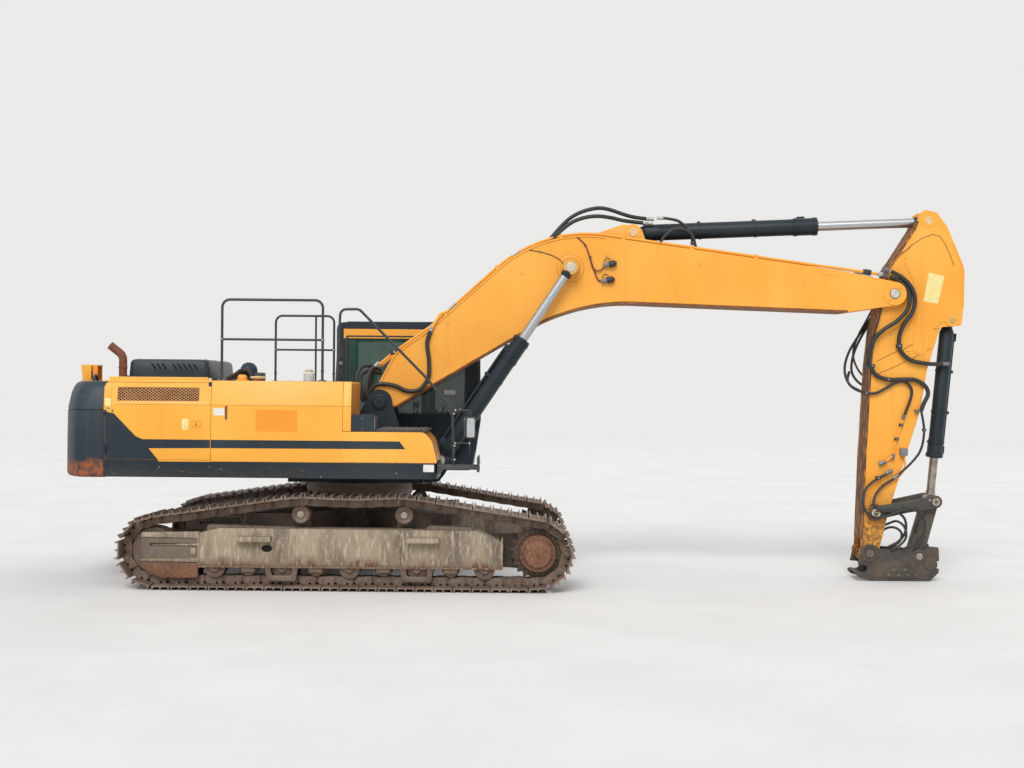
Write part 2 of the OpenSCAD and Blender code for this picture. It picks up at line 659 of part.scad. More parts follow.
// Boom
tip_pin_r = 50;
slot_back = boom_len - 690;
boom_crown = [2412, 1680];
boom_shoulder = [boom_len - 570, 410];
boom_side_points = [[-150, 60, 0], [60, 260, 90], [300, 545, 200], [800, 760, 900], [each boom_crown, 1650],
    [each boom_shoulder, 700], [boom_len + 20, 150, 90], [boom_len + 150, 0, 90], [boom_len, -142, 60],
    [boom_len - 620, -100, 300], [2637, 712, 2400], [200, -100, 200], [-60, -120, 60]];
module boom() {
    color(paint) in_boom() {
        difference() {
            union() {
                side(-boom_w / 2, boom_w / 2) {
                    polygon(rounded(boom_side_points, 8));
                    circle(r = 150);
                    translate(boom_tip) circle(r = 142);
                }
                for (y = [-372, boom_w / 2 - eps])
                    across(boom_eye, 98, y, y + 372 - boom_w / 2 + eps);
            }
            side(-boom_w / 2 + fork_t, boom_w / 2 - fork_t)
                polygon([[slot_back + 60, -300], [slot_back, 600], [boom_len + 300, 600], [boom_len + 300, -300]]);
            across([0, 0], foot_pin_r + fit, -boom_w, boom_w);
        }
        across(boom_tip, tip_pin_r, -boom_w / 2 - 15, boom_w / 2 + 15);
        for (y = [-160, 110]) side(y, y + 50) {
            polygon(rounded([[3050, 1350, 0], [3040, 1500, 30], [3400, 1535, 60], [3600, 1440, 40], [3620, 1200, 0]]));
            translate(arm_cyl_pin) circle(r = 110);
        }
        across(arm_cyl_pin, 40, -175, 175);
    }
}
pipe_r = 17;
pipe_y = [-245, -195, 195, 245];
pipe_lift = 46;
crown_run = unit(boom_shoulder - boom_crown);
pipe_crown = boom_crown + [0, pipe_lift + 4];
pipe_end = boom_crown + 0.88 * (boom_shoulder - boom_crown) + pipe_lift * [-crown_run[1], crown_run[0]];
pipe_line = path(0, [[640, 740, 0], [800, 808, 600], [each pipe_crown, 1690], [each pipe_end, 0]], 8);
clamp_x = [1150, 3150, 4900];
function pipe_at(x) = let (i = [for (k = [0 : len(pipe_line) - 2]) if (pipe_line[k + 1][0] >= x) k][0],
    p = [pipe_line[i][0], pipe_line[i][2]], q = [pipe_line[i + 1][0], pipe_line[i + 1][2]])
    [x, p[1] + (q[1] - p[1]) * (x - p[0]) / (q[0] - p[0]), heading(p, q)];
module boom_pipes() {
    color(paint) in_boom() {
        for (y = pipe_y) tube([for (p = pipe_line) [p[0], y, p[2]]], pipe_r);
        difference() {
            for (x = clamp_x, y = [-265, 175]) {
                p = pipe_at(x);
                translate([p[0], y, p[1]]) rotate([0, -p[2], 0]) block(-25, 25, 0, 90, -pipe_lift - 10, pipe_r + 6);
            }
            side(-boom_w, boom_w) translate([0, fit]) polygon(rounded(boom_side_points, 8));
        }
    }
}

// Cylinders: base eye, barrel, gland; rod and rod eye
module barrel(r, bore, eye_r, pin_bore, half, length, gland) {
    difference() {
        union() {
            across([0, 0], eye_r, -half, half);
            rotate([0, 90, 0]) translate([0, 0, pin_bore + 20]) cylinder(h = length - pin_bore - 20, r = r);
            rotate([0, 90, 0]) translate([0, 0, length - gland]) cylinder(h = gland, r = r + 16);
        }
        across([0, 0], pin_bore, -half - eps, half + eps);
        rotate([0, 90, 0]) translate([0, 0, eye_r + 30]) cylinder(h = length, r = bore + fit);
    }
}
module rod(r, eye_r, half, far, length) {
    translate([far, 0, 0]) {
        rotate([0, -90, 0]) cylinder(h = length, r = r);
        across([0, 0], eye_r, -half, half);
    }
}
boom_cyl_from = [base_x, base_z];
boom_cyl_to = boom_at(boom_eye);
boom_cyl_far = norm(boom_cyl_to - boom_cyl_from);
module boom_barrels() {
    color(slate) in_cylinder(boom_cyl_from, boom_cyl_to) for (s = [-1, 1]) translate([0, s * boom_cyl_y, 0])
        barrel(boom_cyl_r, boom_rod_r, 100, base_pin_r + fit, 58, 1780, 300);
}
module boom_rods() {
    color(steel) in_cylinder(boom_cyl_from, boom_cyl_to) for (s = [-1, 1]) translate([0, s * boom_cyl_y, 0]) {
        rod(boom_rod_r, 94, 55, boom_cyl_far, 1980);
        across([boom_cyl_far, 0], 60, s > 0 ? 50 : -68, s > 0 ? 68 : -50);
    }
}
arm_cyl_from = boom_at(arm_cyl_pin);
arm_cyl_to = arm_at(rod_pin);
arm_cyl_far = norm(arm_cyl_to - arm_cyl_from);
module arm_barrel() {
    color(slate) in_cylinder(arm_cyl_from, arm_cyl_to)
        barrel(arm_cyl_r, arm_rod_r, 105, 40 + fit, 100, 2300, 280);
}
module arm_rod() {
    color(steel) in_cylinder(arm_cyl_from, arm_cyl_to) rod(arm_rod_r, 100, 95, arm_cyl_far, 2395);
}
bucket_cyl_from = arm_at(bucket_cyl_pin);
bucket_cyl_to = arm_at(rocker_end);
bucket_cyl_far = norm(bucket_cyl_to - bucket_cyl_from);
module bucket_barrel() {
    color(slate) in_cylinder(bucket_cyl_from, bucket_cyl_to)
        barrel(bucket_cyl_r, bucket_rod_r, 90, 40 + fit, 95, 1710, 200);
}
module bucket_rod() {
    color(steel) in_cylinder(bucket_cyl_from, bucket_cyl_to) rod(bucket_rod_r, 85, 65, bucket_cyl_far, 1760);
}

// Arm
arm_half = arm_w / 2;
arm_side_points = [[-1075, 300, 0], [-1060, 440, 60], [-900, 590, 120], [-400, 850, 300], [60, 885, 300],
    [305, 880, 20], [350, 620, 60], [880, 505, 300], [1400, 465, 0], [arm_len - 506, 190, 300], [arm_len - 30, 120, 60],
    [arm_len + 80, 0, 60], [arm_len - 30, -105, 60], [arm_len - 1210, -165, 600], [900, -200, 300], [467, -190, 200],
    [-300, -90, 120], [-840, 190, 120], [-1030, 240, 60]];
module arm() {
    color(paint) in_arm() {
        difference() {
            union() {
                side(-arm_half, arm_half) {
                    polygon(rounded(arm_side_points, 5));
                    translate(rod_pin) circle(r = 120);
                    translate([arm_len, 0]) circle(r = 105);
                }
                across([0, 0], 150, -boom_w / 2 + fork_t + 10, boom_w / 2 - fork_t - 10);
            }
            // Room for the arm cylinder's rod and the bucket cylinder's base
            block(-1300, -800, -115, 115, 100, 700);
            block(130, 600, -112, 112, 640, 1000);
            side(-arm_half - eps, -arm_half + 10 + fit) translate([arm_len, 0]) circle(r = 240);
            side(arm_half - 10 - fit, arm_half + eps) translate([arm_len, 0]) circle(r = 240);
            across([0, 0], tip_pin_r + fit, -400, 400);
            across([arm_len, 0], 45 + fit, -400, 400);
        }
        across(bucket_cyl_pin, 40, -arm_half - 12, arm_half + 12);
        across(rocker_pin, 75, -235, -arm_half + eps);
        across(rocker_pin, 75, arm_half - eps, 235);
        across(rocker_pin, 40, -295, 295);
        for (y = [-arm_half - 12, arm_half - eps]) across(rod_pin, 55, y, y + 13);
    }
}
module rocker() {
    color(slate) in_arm() for (y = [-285, 245]) difference() {
        union() {
            side(y, y + 40) {
                translate(rocker_pin) circle(r = 85);
                translate(rocker_end) circle(r = 80);
                d = unit(rocker_end - rocker_pin);
                n = [-d[1], d[0]];
                polygon([rocker_pin + 75 * n, rocker_end + 65 * n, rocker_end - 65 * n, rocker_pin - 75 * n]);
            }
            across(rocker_end, 40, y > 0 ? 195 : -246, y > 0 ? 246 : -195);
        }
        across(rocker_pin, 40 + fit, y - 10, y + 50);
    }
}

// Link and coupler, in the coupler's frame
function to_coupler(p) = turned(p - tip_pin, -coupler_turn);
link_top = to_coupler(bucket_cyl_to);
coupler_pin_r = 40;
rear_jaw = [765, -90];
front_jaw = [-60, -190];
module power_link() {
    color(slate) in_coupler() {
        bottom = [coupler_len, 0];
        d = unit(link_top - bottom);
        n = [-d[1], d[0]];
        difference() {
            union() {
                across(bottom, 78, -190, 190);
                across(link_top, 75, -190, 190);
                side(-190, 190)
                    polygon([bottom + 70 * n, link_top + 65 * n, link_top - 65 * n, bottom - 70 * n]);
            }
            across(bottom, coupler_pin_r + fit, -200, 200);
            side(-75, 75) polygon([bottom + d * 260 + 200 * n, bottom + d * 1000 + 200 * n,
                bottom + d * 1000 - 200 * n, bottom + d * 260 - 200 * n]);
        }
    }
}
module coupler() {
    color(slate) in_coupler() {
        for (y = [-240, 200]) side(y, y + 40) difference() {
            union() {
                circle(r = 108);
                translate([coupler_len, 0]) circle(r = 80);
                polygon([[0, 60], [500, 60], [610, 40], [720, 130], [845, 125], [865, 0], [865, -180],
                    [765, -290], [0, -330], [-110, -305], [-160, -265], [-130, -110], [-90, 0]]);
            }
            translate(rear_jaw) circle(r = jaw_r);
            translate(rear_jaw - [0, jaw_r]) square([300, 2 * jaw_r]);
            translate(front_jaw) circle(r = jaw_r);
            translate(front_jaw - [300, jaw_r]) square([300, 2 * jaw_r]);
        }
        block(60, 420, -201, 201, -300, -230);
        across([0, 0], 45, -245, 245);
        across([coupler_len, 0], coupler_pin_r, -245, 245);
    }
}

lower_frame();
track_frame();  // track_frame_left
mirror([0, 1, 0]) track_frame();  // track_frame_right
track();  // track_left
mirror([0, 1, 0]) track();  // track_right
sprockets();
final_drives();
idlers();
track_rollers();
carrier_rollers();
swing_ring();
house_frame();
counterweight();
engine();
rear_housing();
fuel_tank();
toolbox();
step_plate();
filler_box();
front_step();
exhaust_pipe();
camera_hood();
handrails();
mirrors();
pump_door();
cooler_door();
filter_door();
engine_hood();
cab_shell();
cab_glass();
seat();
console();
cab_door();
door_glass();
boom();
boom_pipes();
boom_barrels();
boom_rods();
arm();
arm_barrel();
arm_rod();
bucket_barrel();
bucket_rod();
rocker();
power_link();
coupler();
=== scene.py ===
import json
import math
import random

import bmesh
import bpy
from mathutils import Matrix, Vector


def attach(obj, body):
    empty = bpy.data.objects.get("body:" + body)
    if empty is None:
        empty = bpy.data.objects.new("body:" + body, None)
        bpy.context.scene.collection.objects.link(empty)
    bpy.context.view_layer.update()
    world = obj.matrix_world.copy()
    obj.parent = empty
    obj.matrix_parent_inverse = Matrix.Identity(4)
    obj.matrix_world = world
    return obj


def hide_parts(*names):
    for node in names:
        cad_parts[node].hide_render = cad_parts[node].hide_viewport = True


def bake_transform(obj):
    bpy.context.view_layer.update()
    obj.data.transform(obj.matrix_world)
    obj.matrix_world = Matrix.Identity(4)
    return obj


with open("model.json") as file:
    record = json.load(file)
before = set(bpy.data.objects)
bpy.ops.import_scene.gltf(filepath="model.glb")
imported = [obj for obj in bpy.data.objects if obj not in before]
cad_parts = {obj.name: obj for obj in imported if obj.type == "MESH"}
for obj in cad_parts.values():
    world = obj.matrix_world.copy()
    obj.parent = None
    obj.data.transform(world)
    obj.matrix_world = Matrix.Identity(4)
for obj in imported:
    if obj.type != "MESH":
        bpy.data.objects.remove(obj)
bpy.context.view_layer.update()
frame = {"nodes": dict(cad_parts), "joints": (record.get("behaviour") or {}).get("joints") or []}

joints = {j["name"]: j for j in frame["joints"]}
scene = bpy.context.scene


def pinOf(jointName):
    return Vector(joints[jointName]["pos_m"])


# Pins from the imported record; the machine's places are counted forward from its swing axis
swingX = pinOf("swing").x
footPin, armPin, tipPin = pinOf("boom_lift"), pinOf("arm_swing"), pinOf("coupler_curl")
linkPin, rockerPin = pinOf("link_turn"), pinOf("rocker_turn")
boomCylBase, armCylBase, bucketCylBase = (pinOf(n) for n in ("boom_cylinder_turn", "arm_cylinder_turn",
                                                             "bucket_cylinder_turn"))


def pinFrame(a, b):            # X from pin a to pin b, Y to the machine's left
    x = (b - a).normalized()
    m = Matrix((x, (0, 1, 0), (-x.z, 0, x.x))).transposed().to_4x4()
    m.translation = a
    return m


def inFrame(m, x, z, y=0):
    return m @ Vector((x, y, z))


machineFrame = Matrix.Translation((swingX, 0, 0))
boomFrame, armFrame, couplerFrame = pinFrame(footPin, armPin), pinFrame(armPin, tipPin), pinFrame(tipPin, linkPin)

# Heights and the half width that several pieces of the upper structure share, in its frame
deckTop, roofTop, halfWidth = 1.4553, 2.3903, 1.49
stripeLow, stripeTop = 1.613, 1.7085                 # the dark stripe along the sides
creaseShadeLow, creaseShadeTop = 2.1072, 2.1104                    # the painted shade line along the crease
knuckle = 0.0497                                     # height of a hinge's knuckle

# Camera: level, to the right of the machine, its frame a little turned as in the photograph
cameraSet = {"forward": 1.887, "side": 18.67, "height": 2.30, "focalPixels": 1496, "width": 1024,
             "middle": (512, 384), "shiftPixels": 7, "roll": 0.009}


def makeCamera():
    data = bpy.data.cameras.new("camera")
    data.sensor_width = 36
    data.lens = cameraSet["focalPixels"] / cameraSet["width"] * data.sensor_width
    data.shift_y = cameraSet["shiftPixels"] / cameraSet["width"]
    data.clip_end = 200
    cam = bpy.data.objects.new("camera", data)
    scene.collection.objects.link(cam)
    cam.location = (swingX + cameraSet["forward"], -cameraSet["side"], cameraSet["height"])
    cam.rotation_euler = (Matrix.Rotation(math.radians(90), 3, "X") @ Matrix.Rotation(cameraSet["roll"], 3,
            "Z")).to_euler()
    scene.camera = cam


def seenAt(px, py, y):         # the place at depth y that the camera sees at a pixel of the photograph
    c = cameraSet
    scale = c["focalPixels"] / (c["side"] + y)
    dx, dy = px - c["middle"][0], py - c["middle"][1]
    across, down = dx + c["roll"] * dy, dy - c["roll"] * dx
    return Vector((swingX + c["forward"] + across / scale, y, c["height"] + (c["shiftPixels"] - down) / scale))


makeCamera()
print("camera set")


# Finishes: each is a node tree of its own, its pattern fixed to the piece
class Finish:
    def __init__(self, name, roughness=0.5, metallic=0.0, **sockets):
        self.material = bpy.data.materials.new(name)
        self.material.use_nodes = True
        self.tree = self.material.node_tree
        self.shader = self.tree.nodes["Principled BSDF"]
        self.shader.inputs["Roughness"].default_value = roughness
        self.shader.inputs["Metallic"].default_value = metallic
        for socket, value in sockets.items():
            self.shader.inputs[socket.replace("_", " ")].default_value = value
        self.place = self.node("ShaderNodeTexCoord").outputs["Object"]
        finishes[name] = self.material

    def node(self, kind, **settings):
        n = self.tree.nodes.new(kind)
        for k, v in settings.items():
            setattr(n, k, v)
        return n

    def plug(self, socket, value):
        if hasattr(value, "links"):
            self.tree.links.new(value, socket)
        elif isinstance(value, (tuple, list)) and len(value) == 3 and socket.type == "RGBA":
            socket.default_value = (*value, 1)
        else:
            socket.default_value = value

    def noise(self, scale, detail=3, rough=0.55, stretch=(1, 1, 1), warp=0.0):
        mapping = self.node("ShaderNodeMapping")
        self.plug(mapping.inputs["Vector"], self.place)
        mapping.inputs["Scale"].default_value = stretch
        n = self.node("ShaderNodeTexNoise")
        self.plug(n.inputs["Vector"], mapping.outputs["Vector"])
        for socket, value in (("Scale", scale), ("Detail", detail), ("Roughness", rough), ("Distortion", warp)):
            n.inputs[socket].default_value = value
        return n.outputs["Fac"]

    def rise(self, value, low, high, soft=True):      # 0 at low, 1 at high; low may be the larger
        n = self.node("ShaderNodeMapRange", interpolation_type="SMOOTHSTEP" if soft else "LINEAR")
        self.plug(n.inputs["Value"], value)
        n.inputs["From Min"].default_value = low
        n.inputs["From Max"].default_value = high
        return n.outputs["Result"]

    def sum(self, kind, a, b):
        n = self.node("ShaderNodeMath", operation=kind)
        self.plug(n.inputs[0], a)
        self.plug(n.inputs[1], b)
        return n.outputs[0]

    def height(self, axis="Z"):
        n = self.node("ShaderNodeSeparateXYZ")
        self.plug(n.inputs[0], self.place)
        return n.outputs[axis]

    def mix(self, share, a, b, kind="MIX"):
        n = self.node("ShaderNodeMix", data_type="RGBA", blend_type=kind)
        self.plug(n.inputs[0], share)
        self.plug(n.inputs[6], a)
        self.plug(n.inputs[7], b)
        return n.outputs[2]

    def done(self, color, roughness=None, bump=None, strength=0.1, distance=0.01, metallic=None):
        self.plug(self.shader.inputs["Base Color"], color)
        if roughness is not None:
            self.plug(self.shader.inputs["Roughness"], roughness)
        if metallic is not None:
            self.plug(self.shader.inputs["Metallic"], metallic)
        if bump is not None:
            n = self.node("ShaderNodeBump")
            n.inputs["Strength"].default_value = strength
            n.inputs["Distance"].default_value = distance
            self.plug(n.inputs["Height"], bump)
            self.plug(self.shader.inputs["Normal"], n.outputs["Normal"])


finishes = {}


def paintFinish(name, color, faded, chip=(0.09, 0.045, 0.025), chips=0.5, grime=(0.12, 0.08, 0.05), grimeFrom=None,
                grimeShare=0.8, streaks=0.12, roughness=0.38, gloss=0.12):
    f = Finish(name, roughness, Coat_Weight=gloss, Coat_Roughness=0.25, Specular_IOR_Level=0.2 + 2 * gloss)
    broad = f.noise(0.9, 2)
    tone = f.mix(f.rise(broad, 0.35, 0.7), color, faded)
    run = f.noise(9, 4, 0.6, (1, 1, 0.07))                       # rain streaks down the sides
    tone = f.mix(f.sum("MULTIPLY", f.rise(run, 0.5, 0.8), streaks), tone, grime)
    dust = f.noise(35, 5, 0.7)
    tone = f.mix(f.sum("MULTIPLY", f.rise(dust, 0.45, 0.75), streaks * 0.5), tone, faded, "SOFT_LIGHT")
    spots = f.sum("MULTIPLY", f.rise(f.noise(70, 3, 0.5), 0.69, 0.72), f.rise(f.noise(2.3, 3), 0.5, 0.62))
    scrapes = f.sum("MULTIPLY", f.rise(f.noise(26, 3, 0.6, (0.25, 0.25, 1.6), 0.6), 0.69, 0.71),
                    f.rise(f.noise(1.7, 2), 0.52, 0.6))
    bare = f.sum("MULTIPLY", f.sum("MAXIMUM", spots, scrapes), chips)
    tone = f.mix(bare, tone, chip)
    rough = f.sum("ADD", f.sum("MULTIPLY", dust, 0.25), roughness - 0.1)
    if grimeFrom:
        low = f.rise(f.sum("ADD", f.height(), f.sum("MULTIPLY", f.sum("SUBTRACT", f.noise(5, 5, 0.65), 0.5),
                                                    (grimeFrom[1] - grimeFrom[0]) * 1.6)), grimeFrom[1], grimeFrom[0])
        dirt = f.sum("MULTIPLY", f.sum("MULTIPLY", low, f.rise(f.noise(24, 5, 0.7), 0.3, 0.62)), grimeShare)
        tone = f.mix(dirt, tone, grime)
        rough = f.sum("ADD", rough, f.sum("MULTIPLY", dirt, 0.3))
    f.done(tone, rough, f.sum("SUBTRACT", f.sum("MULTIPLY", f.noise(220, 2), 0.15), bare), 0.12, 0.004)


def metalFinish(name, tones, scale=12, roughness=0.55, metallic=0.5, stretch=(1, 1, 1), bump=0.25, low=None,
                lowTone=(0.13, 0.05, 0.02)):
    f = Finish(name, roughness, metallic)
    broad, fine = f.noise(scale * 0.25, 4, 0.6, stretch), f.noise(scale * 3, 5, 0.7, stretch)
    tone = f.mix(f.rise(broad, 0.36, 0.64), tones[0], tones[1])
    tone = f.mix(f.rise(fine, 0.48, 0.66), tone, tones[2])
    if low:
        share = f.rise(f.sum("ADD", f.height(), f.sum("MULTIPLY", f.sum("SUBTRACT", broad, 0.5), 0.5)), low[1],
                       low[0])
        tone = f.mix(f.sum("MULTIPLY", share, f.rise(fine, 0.35, 0.55)), tone, lowTone)
    f.done(tone, f.sum("ADD", f.sum("MULTIPLY", fine, 0.35), roughness - 0.17),
           f.sum("ADD", fine, f.sum("MULTIPLY", broad, 0.5)), bump, 0.004, f.sum("MULTIPLY", f.rise(fine, 0.7, 0.4),
            metallic))


def plainFinish(name, color, other, scale=30, roughness=0.5, metallic=0.0, bump=0.1, **sockets):
    f = Finish(name, roughness, metallic, **sockets)
    grain = f.noise(scale, 4, 0.6)
    f.done(f.mix(f.rise(grain, 0.35, 0.65), color, other), f.sum("ADD", f.sum("MULTIPLY", grain, 0.2),
            roughness - 0.1), grain, bump, 0.003)


yellow, yellowFaded = (0.88, 0.39, 0.036), (0.93, 0.455, 0.065)
paintFinish("bodyPaint", yellow, yellowFaded, chips=0.35, streaks=0.07)
paintFinish("boomPaint", (0.87, 0.365, 0.034), (0.91, 0.425, 0.058), chips=0.45, streaks=0.1)
paintFinish("armPaint", (0.86, 0.35, 0.03), (0.9, 0.41, 0.052), chips=0.85, grime=(0.1, 0.043, 0.02),
            grimeFrom=(0.4, 1.35), grimeShare=0.9, streaks=0.14)
paintFinish("wornArmPaint", (0.55, 0.2, 0.035), (0.75, 0.32, 0.06), chips=1.0, grime=(0.07, 0.035, 0.02),
            grimeFrom=(1.2, 2.9), grimeShare=1.0, streaks=0.6)
# darker orange with grime: painted shade under the boom's pipes and on the tank's front face, and dust on the
# toolbox's anti-slip sheet
paintFinish("dustAndShadePaint", (0.66, 0.25, 0.035), (0.74, 0.31, 0.05), chips=0.6, grime=(0.2, 0.1, 0.045), streaks=0.6)
paintFinish("orangePatch", (0.84, 0.29, 0.012), (0.84, 0.31, 0.02), chips=0.1, streaks=0.03)
paintFinish("slatePaint", (0.015, 0.025, 0.034), (0.028, 0.041, 0.052), chip=(0.2, 0.17, 0.14), chips=0.5,
            grime=(0.07, 0.06, 0.05), streaks=0.12, roughness=0.45, gloss=0.03)
paintFinish("skirtPaint", (0.014, 0.022, 0.03), (0.025, 0.035, 0.044), chip=(0.2, 0.16, 0.11), chips=0.8,
            grime=(0.07, 0.055, 0.038), grimeFrom=(1.3, 1.42), grimeShare=0.4, streaks=0.12, roughness=0.55,
            gloss=0.02)
paintFinish("weightPaint", (0.018, 0.03, 0.041), (0.032, 0.047, 0.06), chip=(0.42, 0.38, 0.33), chips=0.9,
            grime=(0.34, 0.105, 0.035), grimeFrom=(1.38, 1.5), grimeShare=1.0, streaks=0.08, roughness=0.45,
            gloss=0.03)
paintFinish("cylinderPaint", (0.011, 0.019, 0.025), (0.02, 0.03, 0.037), chip=(0.14, 0.12, 0.1), chips=0.5,
            grime=(0.05, 0.042, 0.034), streaks=0.1, roughness=0.45, gloss=0.03)
metalFinish("frameSteel", ((0.34, 0.272, 0.185), (0.15, 0.11, 0.078), (0.45, 0.375, 0.275)), 11, 0.7, 0.12,
            (1, 1, 0.22), 0.2, (0.22, 0.36), (0.14, 0.065, 0.035))
metalFinish("frameShadowSteel", ((0.16, 0.12, 0.09), (0.1, 0.07, 0.05), (0.2, 0.15, 0.11)), 10, 0.75, 0.1,
            (1, 1, 0.3), 0.25)
metalFinish("trackSteel", ((0.18, 0.125, 0.095), (0.27, 0.2, 0.155), (0.1, 0.065, 0.048)), 14, 0.62, 0.4)
metalFinish("wornSteel", ((0.42, 0.36, 0.3), (0.3, 0.24, 0.19), (0.5, 0.44, 0.38)), 20, 0.45, 0.7)
metalFinish("rollerSteel", ((0.15, 0.1, 0.07), (0.22, 0.16, 0.12), (0.1, 0.065, 0.045)), 16, 0.6, 0.4)
metalFinish("driveRust", ((0.2, 0.085, 0.042), (0.1, 0.045, 0.026), (0.28, 0.155, 0.09)), 16, 0.75, 0.12)
metalFinish("exhaustRust", ((0.17, 0.055, 0.03), (0.1, 0.035, 0.02), (0.26, 0.11, 0.06)), 18, 0.75, 0.2)
metalFinish("couplerSteel", ((0.06, 0.055, 0.05), (0.12, 0.085, 0.06), (0.035, 0.035, 0.035)), 12, 0.6, 0.4)
metalFinish("linkSteel", ((0.062, 0.058, 0.05), (0.12, 0.095, 0.068), (0.032, 0.033, 0.033)), 9, 0.6, 0.2)
metalFinish("deckSteel", ((0.03, 0.035, 0.04), (0.055, 0.06, 0.062), (0.09, 0.085, 0.075)), 12, 0.6, 0.3)
metalFinish("zinc", ((0.5, 0.5, 0.48), (0.38, 0.37, 0.35), (0.62, 0.61, 0.58)), 40, 0.38, 0.8, (1, 1, 1), 0.08)
metalFinish("pinSteel", ((0.62, 0.57, 0.5), (0.5, 0.44, 0.36), (0.72, 0.68, 0.62)), 40, 0.42, 0.5, (1, 1, 1), 0.08)
metalFinish("meshRust", ((0.46, 0.21, 0.08), (0.56, 0.28, 0.12), (0.27, 0.12, 0.05)), 30, 0.7, 0.1)
metalFinish("rustFace", ((0.07, 0.035, 0.02), (0.2, 0.08, 0.028), (0.62, 0.24, 0.035)), 9, 0.75, 0.1, (1, 1, 0.2))
metalFinish("sprocketSteel", ((0.075, 0.05, 0.035), (0.11, 0.072, 0.05), (0.05, 0.034, 0.025)), 16, 0.62, 0.35)
plainFinish("dullRod", (0.4, 0.37, 0.34), (0.27, 0.23, 0.2), 14, 0.36, 1.0, 0.03)
plainFinish("rodChrome", (0.5, 0.51, 0.52), (0.46, 0.47, 0.48), 4, 0.3, 1.0, 0.0)
plainFinish("hoseRubber", (0.012, 0.012, 0.012), (0.03, 0.029, 0.028), 60, 0.5, 0, 0.15)
plainFinish("blackPlastic", (0.018, 0.019, 0.02), (0.032, 0.033, 0.034), 120, 0.55, 0, 0.1)
# near-black: painted shade in holes, slots, gaps, the exhaust's mouth and behind the grille
plainFinish("paintedGapShade", (0.004, 0.004, 0.004), (0.008, 0.007, 0.006), 20, 0.9)
plainFinish("railPaint", (0.028, 0.031, 0.035), (0.05, 0.052, 0.055), 50, 0.5, 0.2, 0.06)
plainFinish("whitePlate", (0.78, 0.77, 0.73), (0.7, 0.68, 0.63), 25, 0.5, 0, 0.04)
plainFinish("paleYellowPlate", (0.85, 0.72, 0.3), (0.78, 0.63, 0.24), 25, 0.5, 0, 0.04)
plainFinish("creamPaint", (0.75, 0.58, 0.33), (0.62, 0.42, 0.2), 25, 0.55, 0, 0.08)
# dark orange-brown: painted shade in the panels' crease and at the steps of the boom's boss rings, and the darker
# colour of the arm's weld seams
plainFinish("seamShade", (0.48, 0.18, 0.025), (0.33, 0.115, 0.02), 30, 0.7)
plainFinish("goldWear", (0.72, 0.42, 0.12), (0.6, 0.33, 0.08), 25, 0.45, 0.2)
plainFinish("fittingSteel", (0.11, 0.125, 0.145), (0.2, 0.21, 0.22), 30, 0.45, 0.4, 0.05)
# dark brown: painted shade under the boom
plainFinish("undersidePaintedShade", (0.14, 0.058, 0.018), (0.3, 0.11, 0.022), 12, 0.8)
plainFinish("redCable", (0.16, 0.02, 0.015), (0.1, 0.015, 0.012), 40, 0.5, 0, 0.05)
plainFinish("seatCloth", (0.03, 0.031, 0.034), (0.052, 0.053, 0.057), 260, 0.85, 0, 0.4, Sheen_Weight=0.3)
plainFinish("greenCushion", (0.1, 0.22, 0.15), (0.14, 0.28, 0.2), 90, 0.8, 0, 0.2)
plainFinish("greyTrim", (0.16, 0.165, 0.17), (0.2, 0.205, 0.21), 150, 0.6, 0, 0.12)
plainFinish("lampLens", (0.75, 0.77, 0.78), (0.6, 0.62, 0.64), 40, 0.12, 0.3, 0.05)
plainFinish("mirrorGlass", (0.62, 0.65, 0.68), (0.55, 0.57, 0.6), 8, 0.06, 1.0, 0.0)


def floorFinish():                                                # pale, and fading out far from the machine
    f = Finish("floor", 0.9)
    away = f.node("ShaderNodeVectorMath", operation="LENGTH")
    f.plug(away.inputs[0], f.place)
    f.plug(f.shader.inputs["Alpha"], f.rise(away.outputs["Value"], 62, 24))
    f.done(f.mix(f.rise(f.noise(0.6, 4, 0.6), 0.35, 0.65), (0.8, 0.79, 0.77), (0.76, 0.75, 0.73)))


floorFinish()


def glassFinish(name, color, clear):
    f = Finish(name, 0.05, 0.0, Alpha=clear, IOR=1.45)
    f.done(f.mix(f.rise(f.noise(3, 4), 0.4, 0.7), color, tuple(c * 1.5 + 0.01 for c in color)),
           f.sum("ADD", f.sum("MULTIPLY", f.noise(12, 4), 0.08), 0.02))


glassFinish("tintedGlass", (0.02, 0.075, 0.055), 0.52)
print("finishes made:", len(finishes))


# Small solids, gathered into one visible piece
def roundedLine(points, steps=6, closed=True):       # corners [x, z, radius] rounded with arcs
    out, n = [], len(points)
    for i, (x, z, r) in enumerate(points):
        b = Vector((x, z))
        if r == 0 or (not closed and i in (0, n - 1)):
            out.append(b)
            continue
        u = (Vector(points[i - 1][:2]) - b).normalized()
        v = (Vector(points[(i + 1) % n][:2]) - b).normalized()
        half = math.acos(max(-1, min(1, u.dot(v)))) / 2
        mid = b + (u + v).normalized() * r / math.sin(half)
        start, end = b + u * r / math.tan(half) - mid, b + v * r / math.tan(half) - mid
        a0 = math.atan2(start.y, start.x)
        sweep = math.atan2(end.y, end.x) - a0
        sweep = sweep - math.tau if sweep > math.pi else sweep + math.tau if sweep < -math.pi else sweep
        out += [mid + r * Vector((math.cos(a0 + sweep * k / steps), math.sin(a0 + sweep * k / steps)))
                for k in range(steps + 1)]
    return out


def roundedBox(x0, x1, z0, z1, r, steps=6):          # a rectangle with rounded corners
    return roundedLine([[x0, z0, r], [x1, z0, r], [x1, z1, r], [x0, z1, r]], steps)


